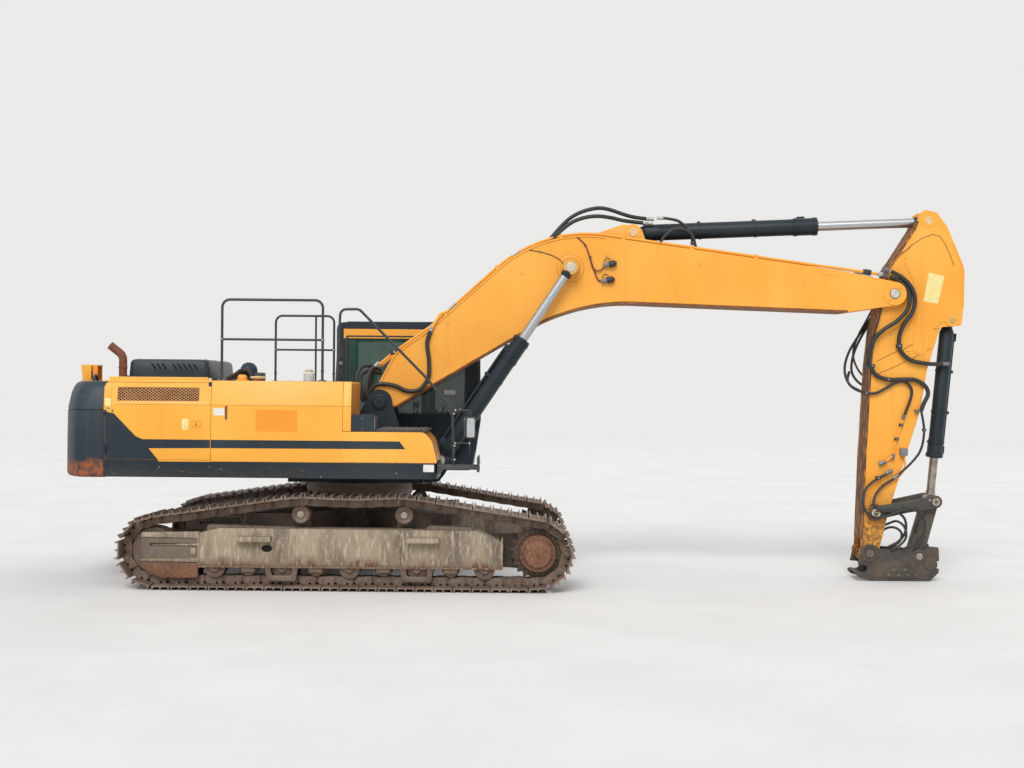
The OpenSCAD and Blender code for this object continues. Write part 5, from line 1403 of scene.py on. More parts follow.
def makeMirror():
    m = mirrorSet
    p = Piece("mirror_unit", "house", "cab_trim", machineFrame, ["mirrors"])
    x0, x1 = m["x"]
    z0, z1 = m["z"]
    rim = roundedBox(-.06, .06, z0, z1, .03, 5)
    yc = -m["y"]
    p.front([(yc + c.x, c.y) for c in rim], x0 + .012, x1, "blackPlastic", .02, 3)
    p.front([(yc + c.x * .97, z0 + (c.y - z0) * .985 + .002) for c in rim], x0, x0 + .02, "blackPlastic", .004, 2)
    p.front([(yc + c.x * .84, (z0 + z1) / 2 + (c.y - (z0 + z1) / 2) * .9) for c in rim], x0 - .001, x0 + .004,
            "mirrorGlass", 0)
    p.plate(roundedBox(x0 + .03, x1 - .006, z0 + .02, z1 - .02, .02, 4), yc - .0625, yc - .055, "mirrorGlass", .001)
    bar = roundedLine([[1.2165, m["bar"] + .002, 0], [1.40, m["bar"] - .002, .03], [1.40, z1 - .01, 0]], 6, False)
    p.tube([Vector((c.x, yc, c.y)) for c in bar], .012, "railPaint", 12)
    p.rod((1.40, yc, z1 - .012), (1.40, yc, z1 + .02), .02, "blackPlastic", 18)
    p.lathe((1.4, yc, m["bar"] - .02), (0, 0, 1), [(-.02, .017), (.012, .017)], "railPaint", 16)
    p.rod((1.2185, yc, m["bar"]), (1.245, yc, m["bar"]), .021, "railPaint", 18)
    p.bolt((1.232, yc - .02, m["bar"]), (0, -1, 0), .008, "pinSteel")
    p.done()
    p = Piece("mirror_stay", "house", "cab_trim", machineFrame)       # lower stay from the rail to the mirror's foot
    p.rod((1.236, yc, 1.69), (1.41, yc, 1.69), .009, "railPaint", 12)
    p.rod((1.40, yc, 1.683), (1.40, yc, 1.745), .008, "railPaint", 12)
    p.rod((1.40, yc, 1.56), (1.40, yc, 1.69), .0065, "railPaint", 10)
    for x in (1.236, 1.4):
        p.bolt((x, yc - .008, 1.69), (0, -1, 0), .008, "pinSteel")
    p.done()


makeMirror()


frontStepSet = {"x": (1.0353, 1.515), "y": (-1.45, -.95), "bars": 15, "teeth": 18, "ties": 6}


def makeFrontStep():
    p = Piece("access_step", "house", "cab_trim", machineFrame, ["front_step"])
    (x0, x1), (y0, y1) = frontStepSet["x"], frontStepSet["y"]
    p.box((x0, y0, 1.34), (x0 + .03, y1, 1.45), "deckSteel", .004)
    p.plate(roundedLine([[x1 - .025, 1.36, 0], [x1, 1.36, 0], [x1, 1.54, .012], [x1 - .012, 1.54, .01],
                         [x1 - .025, 1.53, 0]]), y0, y1, "deckSteel", .002)
    for y in (y0, (y0 + y1) / 2 - .01, y1 - .02):
        p.box((x0 + .02, y, 1.388), (x1 - .02, y + .02, 1.427), "deckSteel", .003)
    for k in range(frontStepSet["bars"]):                         # serrated bars of the grating
        x = x0 + .035 + k * .028
        p.box((x, y0 + .01, 1.403), (x + .005, y1 - .01, 1.424), "wornSteel" if k % 3 else "deckSteel", .001, 1)
        for j in range(frontStepSet["teeth"]):
            p.box((x - .0005, y0 + .02 + j * .0265, 1.4235), (x + .0055, y0 + .032 + j * .0265, 1.4285), "wornSteel",
                  0)
    for k in range(frontStepSet["ties"]):
        p.box((x0 + .03, y0 + .05 + k * .08, 1.405), (x1 - .03, y0 + .055 + k * .08, 1.415), "deckSteel", 0)
    for y in (y0 + .05, y1 - .05):
        p.bolt((x0 + .03, y, 1.36), (1, 0, 0), .01, "zinc")
        p.bolt((x1, y, 1.45), (1, 0, 0), .009, "pinSteel")
    p.done()


makeFrontStep()
print("rails, step and mirror made")
# Cab: rounded shell with its windows, a band under the dark roof, seals, door and what is inside
cabSet = {"in": 0.55, "out": halfWidth, "back": -0.37, "front": 1.47, "floor": 1.275, "top": 3.185,
          "rightWindow": (-0.25, 1.3, 1.98, 2.995), "leftWindow": (0.83, 1.36, 1.98, 2.995),
          "rearWindow": (0.66, 1.38, 2.15, 2.985),
          "door": (-0.28, 0.76, 1.345, 3.035), "doorWindow": (-0.2, 0.68, 1.9, 2.955), "band": (2.96, 3.08)}


def cabFrontX(z, inset=0.0):                                      # the front's place at a height
    c = cabSet
    return c["front"] - inset - (.02 * (z - 1.9) / (c["top"] - 1.9) if z > 1.9 else .09 * (1.9 - z) / (1.9
            - c["floor"]))


def windowFrame(p, x0, x1, z0, z1, y0, y1, wide, finish, radius=0.05, bevel=0.002):
    outer = roundedBox(x0, x1, z0, z1, radius, 6)
    inner = roundedBox(x0 + wide, x1 - wide, z0 + wide, z1 - wide, radius * .8, 6)
    rings = [[(q.x, y, q.y) for q in line] for line, y in ((outer, y0), (outer, y1), (inner, y1), (inner, y0))]
    p.add(lofted(rings, (False, False), True), finish, bevel)


def makeCab():
    c = cabSet
    dressNode("cab_shell", "slatePaint")
    p = Piece("cab_trim", "house", "cab_trim", machineFrame)
    y0, y1 = c["in"], c["out"]
    b0, b1 = c["band"]
    # the coloured band under the roof, on both sides and the back
    for ya, yb in ((y0 - .0008, y0 + .002), (y1 + .0052, y1 + .0068)):
        p.plate([(c["back"] + .09, b0), (c["front"] - .06, b0), (c["front"] - .09, b1), (c["back"] + .09, b1)], ya,
                yb, "bodyPaint", 0)
    p.front([(y0 + .02, b0), (y1 - .02, b0), (y1 - .02, b1), (y0 + .02, b1)], c["back"] - .0015, c["back"] + .002,
            "bodyPaint", 0)
    # lower side panels, dark on the right and in body colour on the left
    for ya, yb in ((y0 - .0006, y0 + .002), (y1 - .002, y1 + .0012)):
        x0 = c["back"] + .03 if ya < 1 else c["door"][1] + .03
        p.plate(roundedLine([[x0, 1.36, .02], [cabFrontX(1.36) - .06, 1.36, .03], [c["front"] - .12, 1.9, .06],
                             [x0, 1.9, .02]], 5), ya, yb, "slatePaint" if ya < 1 else "bodyPaint", 0)
    for name, ya, yb in (("rightWindow", y0 - .0009, y0 + .02), ("leftWindow", y1 - .02, y1 + .001)):
        x0, x1, z0, z1 = c[name]
        windowFrame(p, x0 - .004, x1 + .004, z0 - .004, z1 + .004, ya, yb, .026, "blackPlastic", .03)
    ya, yb, z0, z1 = c["rearWindow"]
    turnBack = Matrix(((0, 1, 0, 0), (1, 0, 0, 0), (0, 0, 1, 0), (0, 0, 0, 1)))
    rear = Piece("cab_rear_seal", "house", "cab_trim", machineFrame @ turnBack)
    windowFrame(rear, ya - .004, yb + .004, z0 - .004, z1 + .004, c["back"] - .0012, c["back"] + .02, .026,
                "blackPlastic", .03)
    rear.done()
    # small dark boxes and a grey plate on the rear pillar
    for z0, z1, finish in ((2.50, 2.56, "blackPlastic"), (2.62, 2.66, "greyTrim"), (2.72, 2.86, "blackPlastic")):
        p.box((c["back"] + .004, y0 - .0009, z0), (c["back"] + .075, y0 + .002, z1), finish, 0)
    # roof: two shallow ribs and a hatch lid
    for y in (y0 + .12, y1 - .12):
        p.box((c["back"] + .12, y - .02, c["top"] - .022), (c["front"] - .3, y + .02, c["top"] - .004), "slatePaint",
              .008)
    hatch = [[.3, y0 + .2, .06], [1.05, y0 + .2, .06], [1.05, y1 - .2, .06], [.3, y1 - .2, .06]]
    p.slab(roundedLine(hatch, 6), c["top"] - .02, c["top"] - .004, "slatePaint", .006)
    # front: wiper with its arm and motor cover, bolts beside the pane
    p.rod((cabFrontX(1.48) + .003, .9, 1.48), (cabFrontX(1.48) - .02, .9, 1.48), .022, "blackPlastic", 20)
    p.tube([(cabFrontX(1.48) + .001, .9, 1.48), (cabFrontX(1.9) + .006, .97, 1.93),
            (cabFrontX(2.3) + .006, 1.03, 2.32)], .006, "blackPlastic", 8)
    p.tube([(cabFrontX(2.0) + .004, .98, 2.02), (cabFrontX(2.7) + .004, 1.09, 2.72)], .005, "blackPlastic", 8)
    for y in (y0 + .035, y1 - .035):
        for z in (1.6, 1.95, 2.3, 2.65, 2.95):
            p.bolt((cabFrontX(z) - .004, y, z), (1, 0, 0), .006, "zinc", False)
    for s, y in ((-1, y0 + .1), (1, y1 - .1)):                    # work lamps under the roof's front edge
        p.box((c["front"] - .075, y - .045, 3.01), (c["front"] - .018, y + .045, 3.085), "blackPlastic", .008)
        p.lathe((c["front"] - .02, y, 3.048), (1, 0, 0), [(0, .032), (.004, .03), (.007, .02), (.008, 0)], "lampLens",
                24)
    # blank white plate low on the right window, as in the photograph
    p.box((1.02, y0 - .0012, 2.245), (1.16, y0 + .002, 2.305), "whitePlate", 0)
    p.done()

    d = Piece("cab_door_panel", "cab_door", "body_paint", machineFrame, ["cab_door"])
    x0, x1, z0, z1 = c["door"]
    w = c["doorWindow"]
    for a, b, lo, hi, finish in ((x0 + .0003, x1 - .005, z0 + .005, w[2], "bodyPaint"),
                                 (x0 + .0003, w[0], w[2], z1 - .005, "slatePaint"), (w[1], x1 - .005, w[2], z1 - .005,
            "slatePaint"), (w[0], w[1], w[3], z1 - .005, "slatePaint")):
        d.box((a, 1.435, lo), (b, 1.49, hi), finish, .002 if finish == "bodyPaint" else 0)
    windowFrame(d, w[0] - .012, w[1] + .012, w[2] - .012, w[3] + .012, 1.47, 1.492, .024, "blackPlastic", .04)
    d.plate(roundedBox(x0 + .1, x1 - .1, 1.45, 1.8, .04), 1.488, 1.4915, "bodyPaint", .0012)
    rim = roundedBox(.6, .7, 1.8, 1.88, .012, 4)
    d.plate(rim, 1.488, 1.493, "blackPlastic", .002)
    d.box((.615, 1.49, 1.83), (.685, 1.502, 1.85), "greyTrim", .003)
    d.rod((.65, 1.49, 1.815), (.65, 1.4985, 1.815), .009, "zinc", 16, .001)
    d.tube([(.715, 1.4915, 2.0), (.715, 1.505, 2.02), (.715, 1.505, 2.5), (.715, 1.4915, 2.52)], .006, "railPaint",
           10)
    for z in (z0 + .12, z1 - .18):
        d.rod((x0 + .01, 1.502, z), (x0 + .01, 1.502, z + knuckle), .01, "slatePaint", 16, .0015)
        d.box((x0 + .01, 1.489, z), (x0 + .05, 1.496, z + knuckle), "slatePaint", .0015, 1)
    d.box((x0 + .05, 1.425, 1.4), (x1 - .06, 1.436, 1.86), "greyTrim", .004)
    d.done()
    dressNode("door_glass", "tintedGlass")
    dressNode("cab_glass", "tintedGlass")


makeCab()

seatSet = {"y": (0.78, 1.26), "cushion": [[.15, 1.76, .03], [.15, 1.88, .06], [.42, 1.895, .2], [.655, 1.92, .06],
                                          [.66, 1.77, .04]],
           "back": [[.06, 1.84, .02], [.205, 1.84, .06], [.15, 2.1, .2], [.095, 2.42, .025], [.02, 2.42, .025]]}


def cushion(name, outline, y0, y1, finish, bolster=0.0):
    # soft form: the outline swept across and drawn in towards both sides, with a seam along each
    p = Piece(name, "house", "cab_trim", machineFrame, (), 60)
    line = roundedLine(outline, 6)
    mid = sum(line, Vector((0, 0))) / len(line)
    rings = []
    for t in (0, .02, .06, .1, .14, .3, .5, .7, .86, .9, .94, .98, 1):
        e = min(t, 1 - t)
        pull = .1 * (1 - min(1, e / .08)) ** 2 + (.03 if abs(e - .14) < .001 else 0)
        edge = bolster * max(0, 1 - e / .2)
        rings.append([(mid.x + (q.x - mid.x) * (1 - pull), y0 + (y1 - y0) * t,
                       mid.y + (q.y - mid.y) * (1 - pull) + (edge if q.y > mid.y else 0)) for q in line])
    p.add(lofted(rings), finish)
    p.done()


def makeSeat():
    p = Piece("seat_base", "house", "cab_trim", machineFrame, ["seat"])
    p.box((.25, .88, 1.3355), (.55, 1.16, 1.4), "greyTrim", .01)
    for k in range(5):                                            # bellows of the suspension
        p.box((.265 + .005 * (k % 2), .895, 1.4 + k * .06), (.535 - .005 * (k % 2), 1.145, 1.455 + k * .06),
              "blackPlastic", .012)
    p.box((.2, .84, 1.7), (.62, 1.2, 1.765), "greyTrim", .01)
    p.plate(roundedLine([[.0, 2.1, .02], [.05, 2.1, .02], [.015, 2.4, .02], [-.015, 2.4, .02]]), .84, 1.2, "greyTrim",
            .01)
    for y in (.945, 1.095):
        p.rod((.055, y, 2.38), (.05, y, 2.46), .008, "zinc", 12)
    for y in (.74, 1.3):                                          # belt buckle and armrest pivots
        p.box((.1, y - .012, 1.78), (.17, y + .012, 1.9), "blackPlastic", .005)
    p.done()
    y0, y1 = seatSet["y"]
    cushion("seat_cushion", seatSet["cushion"], y0, y1, "seatCloth", .012)
    cushion("seat_backrest", seatSet["back"], y0 + .01, y1 - .01, "seatCloth")
    cushion("seat_headrest", [[.015, 2.425, .02], [.1, 2.425, .02], [.085, 2.65, .03], [.01, 2.65, .03]], .89, 1.15,
            "seatCloth")
    p = Piece("control_consoles", "house", "cab_trim", machineFrame, ["console"])
    for ya, yb in ((.6103, .74), (1.3, 1.4297)):
        body = [[.1, 1.3355, 0], [.64, 1.3355, 0], [.64, 1.8, .06], [.7, 1.965, .05], [.56, 1.985, .05],
                [.1, 1.93, .05]]
        p.plate(roundedLine(body, 6), ya, yb, "greyTrim", .008)
        p.plate(roundedLine([[.12, 1.925, .02], [.5, 1.965, .02], [.5, 1.99, .02], [.12, 1.96, .02]], 4), ya + .012,
                yb - .012, "seatCloth", .01)
        ym = (ya + yb) / 2
        for k in range(4):
            p.lathe((.62, ym, 1.962 + k * .014), (0, 0, 1), [(0, .034 - k * .006), (.01, .032 - k * .006),
                                                             (.014, .024 - k * .005)], "blackPlastic", 20)
        p.rod((.62, ym, 1.98), (.625, ym, 2.08), .009, "zinc", 12)
        p.lathe((.625, ym, 2.06), (.06, 0, 1), [(0, .014), (.02, .022), (.06, .024), (.085, .019), (.09, .01),
                                                (.092, 0)], "blackPlastic", 20)
    # pad and lever in front of the right console, monitor on its stalk
    p.box((.78, .63, 1.86), (.93, .74, 2.06), "greenCushion", .03, 3)
    p.box((.69, .65, 1.9), (.79, .71, 1.93), "greyTrim", .004)
    p.rod((.97, .69, 1.9), (1.01, .69, 2.1), .014, "greyTrim", 14)
    p.box((.92, .67, 1.9), (.98, .71, 1.92), "greyTrim", .004)
    for y in (.94, 1.06):                                         # travel levers and pedals
        p.plate(roundedLine([[1.08, 1.42, .02], [1.24, 1.47, .02], [1.235, 1.485, .01], [1.075, 1.435, .01]], 3),
                y - .045, y + .045, "blackPlastic", .003)
        p.tube([(1.1, y, 1.38), (1.12, y, 1.6), (1.06, y, 2.0), (1.03, y + (.05 if y > 1 else -.05), 2.02)], .01,
               "blackPlastic", 10)
        p.box((1.07, y - .03, 1.335), (1.15, y + .03, 1.4), "greyTrim", .006)
    p.box((.75, .66, 1.3353), (1.2, 1.38, 1.343), "blackPlastic", .002)
    p.done()


makeSeat()
print("cab made")


# Working gear: side views in the frames of their pins, webs between flanges that stand out a little
def offsetLine(line, distance):
    out = []
    for i, c in enumerate(line):
        t = (line[min(i + 1, len(line) - 1)] - line[max(i - 1, 0)]).normalized()
        out.append(Vector((c.x - t.y * distance, c.y + t.x * distance)))
    return out


# the stretch of a line up to a distance along the frame
def cutLine(line, far):
    return [Vector((c[0], c[1])) for c in line if c[0] <= far]


# the same line with points no further apart than a step
def dense(line, step=0.12):
    out = [Vector((line[0][0], line[0][1]))]
    for a, b in zip(line, line[1:]):
        a, b = Vector((a[0], a[1])), Vector((b[0], b[1]))
        count = int((b - a).length / step) + 1
        out += [a.lerp(b, (k + 1) / count) for k in range(count)]
    return out


def flange(p, line, thick, half, finish, bevel=0.003):
    p.plate(line + offsetLine(line, thick)[::-1], -half, half, finish, bevel, 1)


def weldLine(p, line, y, finish, radius=0.005):
    p.tube([Vector((c[0], y, c[1])) for c in line], radius, finish, 6)


boomLength = (armPin - footPin).length
armLength = (tipPin - armPin).length
boomSet = {"half": 0.295, "lip": 0.012, "web": 0.038, "flange": 0.022, "slot": boomLength - 0.66,
           "eye": (2.631, 1.124),
           "lug": (3.491, 1.413)}
boomTopCorners = [[-.15, .06, 0], [.06, .26, .09], [.3, .545, .2], [.8, .76, .9], [2.412, 1.68, 1.65],
                  [boomLength - .57, .41, .7], [boomLength + .02, .15, .09], [boomLength + .15, 0, .09]]
boomLowCorners = [[boomLength, -.142, .06], [boomLength - .62, -.1, .3], [2.637, .712, 2.4], [.2, -.1, .2],
                  [-.06, -.12, .06]]


def makeBoom():
    b = boomSet
    p = Piece("boom_weldment", "boom", "body_paint", boomFrame, ["boom"])
    outline = roundedLine(boomTopCorners + boomLowCorners, 12)
    webOut = b["half"] - b["lip"]
    for s in (-1, 1):
        y0, y1 = mirrored(s, webOut, webOut - b["web"])
        p.plate(outline, y0, y1, "boomPaint", 0)
    top = cutLine(roundedLine(boomTopCorners, 16, False), b["slot"])
    low = cutLine(roundedLine([boomTopCorners[-1]] + boomLowCorners + [boomTopCorners[0]], 16, False)[::-1],
                  b["slot"] + .05)
    flange(p, top, -b["flange"], b["half"], "boomPaint")
    # the lower flange in dark brown: painted shade under the boom
    flange(p, low, b["flange"], b["half"], "undersidePaintedShade")
    # thin darker strip under the pipes: painted shade in the gap between pipes and boom
    flange(p, cutLine(top, 5.2), .003, .268, "dustAndShadePaint", 0)
    p.plate([(b["slot"] - .02, .36), (b["slot"] + .01, .36), (b["slot"] + .04, -.04), (b["slot"] + .01, -.04)],
            -webOut + .01, webOut - .01, "boomPaint")
    for s in (-1, 1):
        face = s * webOut
        weldLine(p, offsetLine(top, -b["flange"] - .002), face, "boomPaint")
        weldLine(p, offsetLine(low, b["flange"] + .002), face, "boomPaint")
        for line in ([(3.72, 1.17), (3.86, .5)], [(5.62, .44), (5.86, .335)], [(.72, .68), (.94, .22)]):
            weldLine(p, line, face, "boomPaint", .004)
        # foot boss, boss of the cylinder's eye with its rings, tip boss
        p.lathe((0, s * (webOut - .004), 0), (0, s, 0), [(0, .16), (.012, .155), (.0155, .15), (.0155, .09)],
                "boomPaint", 48)
        ex, ez = b["eye"]
        p.lathe((ex, s * (webOut - .002), ez), (0, s, 0), [(0, .172), (.012, .166), (.014, .162), (.014, .128),
                                                           (.02, .124), (.02, .112), (.03, .106), (.088, .1),
                                                           (.088, .06)], "boomPaint", 48)
        # dark rings of painted shade at the steps of the boss
        for r, rise in ((.165, .0125), (.13, .0145), (.111, .021)):
            p.lathe((ex, s * (webOut - .002), ez), (0, s, 0), [(rise - .002, r + .0035), (rise + .0012, r + .0015),
                                                               (rise + .0012, r - .0015), (rise - .002, r - .0035)],
                    "seamShade", 48)
        p.lathe((boomLength, s * (webOut - .004), 0), (0, s, 0), [(0, .15), (.012, .144), (.016, .14), (.016, .06)],
                "boomPaint", 48)
        p.lathe((boomLength, s * .292, 0), (0, s, 0), [(0, .056), (.01, .056), (.012, .048), (.016, .045),
                                                       (.016, .026), (.012, .022), (.012, 0)], "pinSteel", 36)
        p.lathe((boomLength, s * .296, 0), (0, s, 0), [(0, .064), (.0055, .0635), (.0055, .0565), (0, .0565)],
                "linkSteel", 36)
        for a in (.6, 3.74):
            p.bolt((boomLength + .1 * math.cos(a), s * .296, .1 * math.sin(a)), (0, s, 0), .012, "boomPaint")
    lx, lz = b["lug"]
    for s in (-1, 1):
        y0, y1 = mirrored(s, .11, .16)
        p.plate(roundedLine([[3.03, 1.3, 0], [3.03, 1.49, .05], [3.4, 1.535, .12], [3.6, 1.44, .06], [3.63, 1.2, 0]],
                            8), y0, y1, "boomPaint", .004)
        p.lathe((lx, s * .155, lz), (0, s, 0), [(0, .1), (.012, .098), (.012, .06)], "boomPaint", 40)
        p.lathe((lx, s * .165, lz), (0, s, 0), [(0, .055), (.01, .055), (.012, .045), (.012, .02), (.008, .016),
                                                (.008, 0)], "creamPaint", 32)
    p.rod((lx, -.16, lz), (lx, .16, lz), .04, "pinSteel", 24)
    p.rod((boomLength, -.3, 0), (boomLength, .3, 0), .05, "pinSteel", 32)
    p.rod((0, -.29, 0), (0, .29, 0), .07, "pinSteel", 32)
    # small pads on the right side
    for x, z in ((1.02, .79), (2.02, 1.2), (3.1, 1.2), (4.2, .85)):
        p.box((x - .02, -webOut - .008, z - .02), (x + .02, -webOut, z + .02), "boomPaint", .002, 1)
    p.done()


makeBoom()


def pipeLine(lift):
    return roundedLine([[.073, .427 + lift, 0], [.3, .55 + lift, .3], [.8, .762 + lift, .6],
                        [2.412, 1.684 + lift, 1.69], [boomLength - .57, .415 + lift, .7], [boomLength - .1, .265, 0]],
                       12, False)


pipeSet = {"rows": (-.245, -.195, .195, .245), "radius": .017, "lift": .0215, "clamps": (1.0, 1.75, 2.6, 3.35, 4.15,
        4.9), "joints": (1.12, 2.02), "drop": 1.0}


def makeBoomPipes():
    s = pipeSet
    p = Piece("boom_pipe_run", "boom", "body_paint", boomFrame, ["boom_pipes"])
    line = dense(pipeLine(s["lift"]))

    def depth(y, x):                                              # near the tip the inner rows step out past the arm
        return y if abs(y) > .22 else math.copysign(.195 + .089 * min(1, max(0, (x - boomLength + 1) / .3)), y)
    # the outer rows leave the edge early, to end on the boom's side
    for y in s["rows"]:
        p.tube([(c.x, depth(y, c.x), c.y) for c in line if abs(y) < .22 or c.x >= s["drop"]], s["radius"],
               "boomPaint", 14)
    for side in (-1, 1):
        start = next(c for c in line if c.x >= s["drop"])
        p.tube(smoothLine([(start.x + .02, side * .245, start.y + .012), (start.x, side * .245, start.y),
                           (.95, side * .285, .9), (.9, side * .312, .85), (.8, side * .315, .735)], 5), s["radius"],
               "boomPaint", 14)

    def at(x):
        k = next(i for i in range(len(line) - 1) if line[i + 1].x >= x)
        a, b = line[k], line[k + 1]
        return a + (b - a) * (x - a.x) / (b.x - a.x), math.atan2(b.y - a.y, b.x - a.x)
    for x in s["clamps"]:
        c, turn = at(x)
        for y in (-.22, .22):
            put = Matrix.Translation((c.x, y, c.y)) @ Matrix.Rotation(-turn, 4, "Y")
            p.box((-.022, -.048, -.058), (.022, .048, -.001), "boomPaint", .004, 2, put)
            p.box((-.022, -.048, .001), (.022, .048, .0225), "boomPaint", .004, 2, put)
            p.bolt((0, 0, .0225), (0, 0, 1), .008, "zinc", place=put)
    for x in s["joints"]:                                         # couplings and their nuts
        c, turn = at(x)
        for y in s["rows"]:
            put = Matrix.Translation((c.x, y, c.y)) @ Matrix.Rotation(-turn, 4, "Y")
            p.rod((-.045, 0, 0), (.045, 0, 0), .026, "zinc", 6, .002, put)
            p.rod((-.06, 0, 0), (.06, 0, 0), .021, "zinc", 16, .002, put)
    c, turn = at(boomLength - .28)
    for side in (-1, 1):
        put = Matrix.Translation((c.x, side * .262, c.y)) @ Matrix.Rotation(-turn, 4, "Y")
        p.box((-.05, -.045, -.03), (.05, .045, .032), "blackPlastic", .008, 2, put)
        p.bolt((0, 0, .032), (0, 0, 1), .01, "zinc", place=put)
    c, turn = at(line[-1].x - .01)
    for y in s["rows"]:
        put = Matrix.Translation((c.x, depth(y, c.x), c.y)) @ Matrix.Rotation(-turn, 4, "Y")
        p.rod((-.05, 0, 0), (.012, 0, 0), .027, "zinc", 6, .002, put)
    p.done()


makeBoomPipes()

# Cylinders: eye, barrel with its bands and hard pipe, gland with its bolts; rod and rod eye
boomCylTo = inFrame(boomFrame, *boomSet["eye"])
armCylTo = inFrame(armFrame, -.947, .355)
rockerEnd = inFrame(armFrame, armLength - .709, .742)
cylinderSet = {
    "boom": {"from": boomCylBase, "to": boomCylTo, "nodes": ("boom_barrels", "boom_rods"), "rows": (-.435, .435),
             "radius": .095, "rod": .055, "length": 1.78, "gland": .3, "eye": .1, "bore": .0603, "half": .058,
             "rodEye": .094, "rodHalf": .055, "rodLength": 1.98, "pipeY": .03, "chrome": "rodChrome", "lip": .012},
    "arm": {"from": armCylBase, "to": armCylTo, "nodes": ("arm_barrel", "arm_rod"), "rows": (0,),
            "radius": .102, "rod": .06, "length": 2.3, "gland": .28, "eye": .105, "bore": .0403, "half": .1,
            "rodEye": .1, "rodHalf": .095, "rodLength": 2.395, "pipeY": -.1, "rise": .026, "chrome": "rodChrome",
            "lip": .012},
    "bucket": {"from": bucketCylBase, "to": rockerEnd, "nodes": ("bucket_barrel", "bucket_rod"), "rows": (0,),
               "radius": .088, "rod": .052, "length": 1.71, "gland": .2, "eye": .09, "bore": .0403, "half": .095,
               "rodEye": .085, "rodHalf": .065, "rodLength": 1.76, "pipeY": -.05, "chrome": "dullRod", "lip": .018},
}


def makeCylinder(name):
    c = cylinderSet[name]
    put = pinFrame(Vector((c["from"].x, 0, c["from"].z)), Vector((c["to"].x, 0, c["to"].z)))
    far = (Vector((c["to"].x, 0, c["to"].z)) - Vector((c["from"].x, 0, c["from"].z))).length
    r, length, gland, finish = c["radius"], c["length"], c["gland"], "cylinderPaint"
    p = Piece(name + "_cylinder_barrel", c["nodes"][0], "slate_paint", put, [c["nodes"][0]])
    for y in c["rows"]:
        s = -1 if y <= 0 else 1
        p.lathe((0, y - c["half"], 0), (0, 1, 0), [(0, c["bore"] + .004), (0, c["eye"] - .006), (.006, c["eye"]),
                                                   (2 * c["half"] - .006, c["eye"]), (2 * c["half"], c["eye"] - .006),
                                                   (2 * c["half"], c["bore"] + .004)], finish, 40)
        neck = math.sqrt(max(c["eye"] ** 2 - (r * .8) ** 2, .001))
        p.lathe((0, y, 0), (1, 0, 0), [(neck, r * .62), (c["eye"] + .015, r * .8), (c["eye"] + .05, r * .97),
                                       (c["eye"] + .06, r), (length - gland - .03, r),
                                       (length - gland - .028, r + .004), (length - gland, r + .004),
                                       (length - gland, r + c["lip"]), (length - gland + .03, r + c["lip"]),
                                       (length - gland + .032, r + .006), (length - .05, r + .006),
                                       (length - .048, r + c["lip"]), (length - .004, r + c["lip"]),
                                       (length, r + .008), (length, c["rod"] + .006)], finish, 48)
        p.lathe((0, y, 0), (1, 0, 0), [(length, c["rod"] + .016), (length + .012, c["rod"] + .013),
                                       (length + .012, c["rod"] + .001)], "blackPlastic", 40)
        p.boltRing((length - .004, y, 0), (1, 0, 0), r - .002, 10, .011, finish)
        # hard pipe to the gland, on its clamps
        py, pz = y + s * c["pipeY"], math.sqrt((r + .03) ** 2 - c["pipeY"] ** 2)
        run = smoothLine([(.2, py, pz * .98), (.3, py, pz), (length * .5, py, pz), (length - gland - .09, py, pz),
                          (length - gland + .04, py, pz * .98), (length - gland + .1, py, pz * .86)], 4)
        p.tube(run, .015, finish, 12)
        p.box((length - gland + .055, py - .03, r * .7), (length - gland + .15, py + .03, r + .038), finish, .006)
        p.box((.15, py - .035, r * .6), (.25, py + .035, r + c.get("rise", .045)), finish, .006)
        for k in range(2):
            x = length * (.36 + .3 * k)
            p.lathe((x, y, 0), (1, 0, 0), [(0, r - .001), (0, r + .006), (.03, r + .006), (.03, r - .001)], finish,
                    40)
            p.box((x - .004, py - .026, r * .5), (x + .034, py + .026, r + c.get("rise", .05)), finish, .004)
            p.bolt((x + .015, py, r + c.get("rise", .05)), (0, 0, 1), .008, "zinc")
        p.rod((0, y + s * (c["half"] - .001), 0), (0, y + s * (c["half"] + .006), 0), c["bore"] + .018,
              "blackPlastic", 32, .002)
    p.done()
    p = Piece(name + "_cylinder_rod", c["nodes"][1], "chrome_rod", put, [c["nodes"][1]])
    for y in c["rows"]:
        s = -1 if y <= 0 else 1
        p.rod((far - c["rodLength"], y, 0), (far - c["rodEye"] * .8, y, 0), c["rod"], c["chrome"], 48, .002)
        p.lathe((far, y, 0), (1, 0, 0), [(-c["rodEye"] - .045, c["rod"] - .002),
                                         (-c["rodEye"] - .042, c["rod"] + .004),
                                         (-c["rodEye"] - .01, c["rod"] + .008), (-c["rodEye"] * .7, c["rod"] + .01)],
                "cylinderPaint" if name != "bucket" else "dullRod", 40)
        eyeFinish = {"bucket": "dullRod", "boom": "goldWear"}.get(name, "pinSteel")
        p.lathe((far, y - c["rodHalf"], 0), (0, 1, 0), [(0, .035), (0, c["rodEye"] - .01), (.01, c["rodEye"]),
                                                        (2 * c["rodHalf"] - .01, c["rodEye"]),
                                                        (2 * c["rodHalf"], c["rodEye"] - .01),
                                                        (2 * c["rodHalf"], .035)], eyeFinish, 44)
        if name == "boom":                                        # keeper plate and cap of the eye's pin
            p.lathe((far, y + s * (c["rodHalf"] - .001), 0), (0, s, 0), [(0, .056), (.003, .056), (.004, .052),
                    (.0125, .05), (.0125, .03), (.009, .027), (.009, 0)], "pinSteel", 36)
            p.bolt((far, y + s * (c["rodHalf"] + .008), 0), (0, s, 0), .01, "pinSteel")
    p.done()


for cylinder in cylinderSet:
    makeCylinder(cylinder)

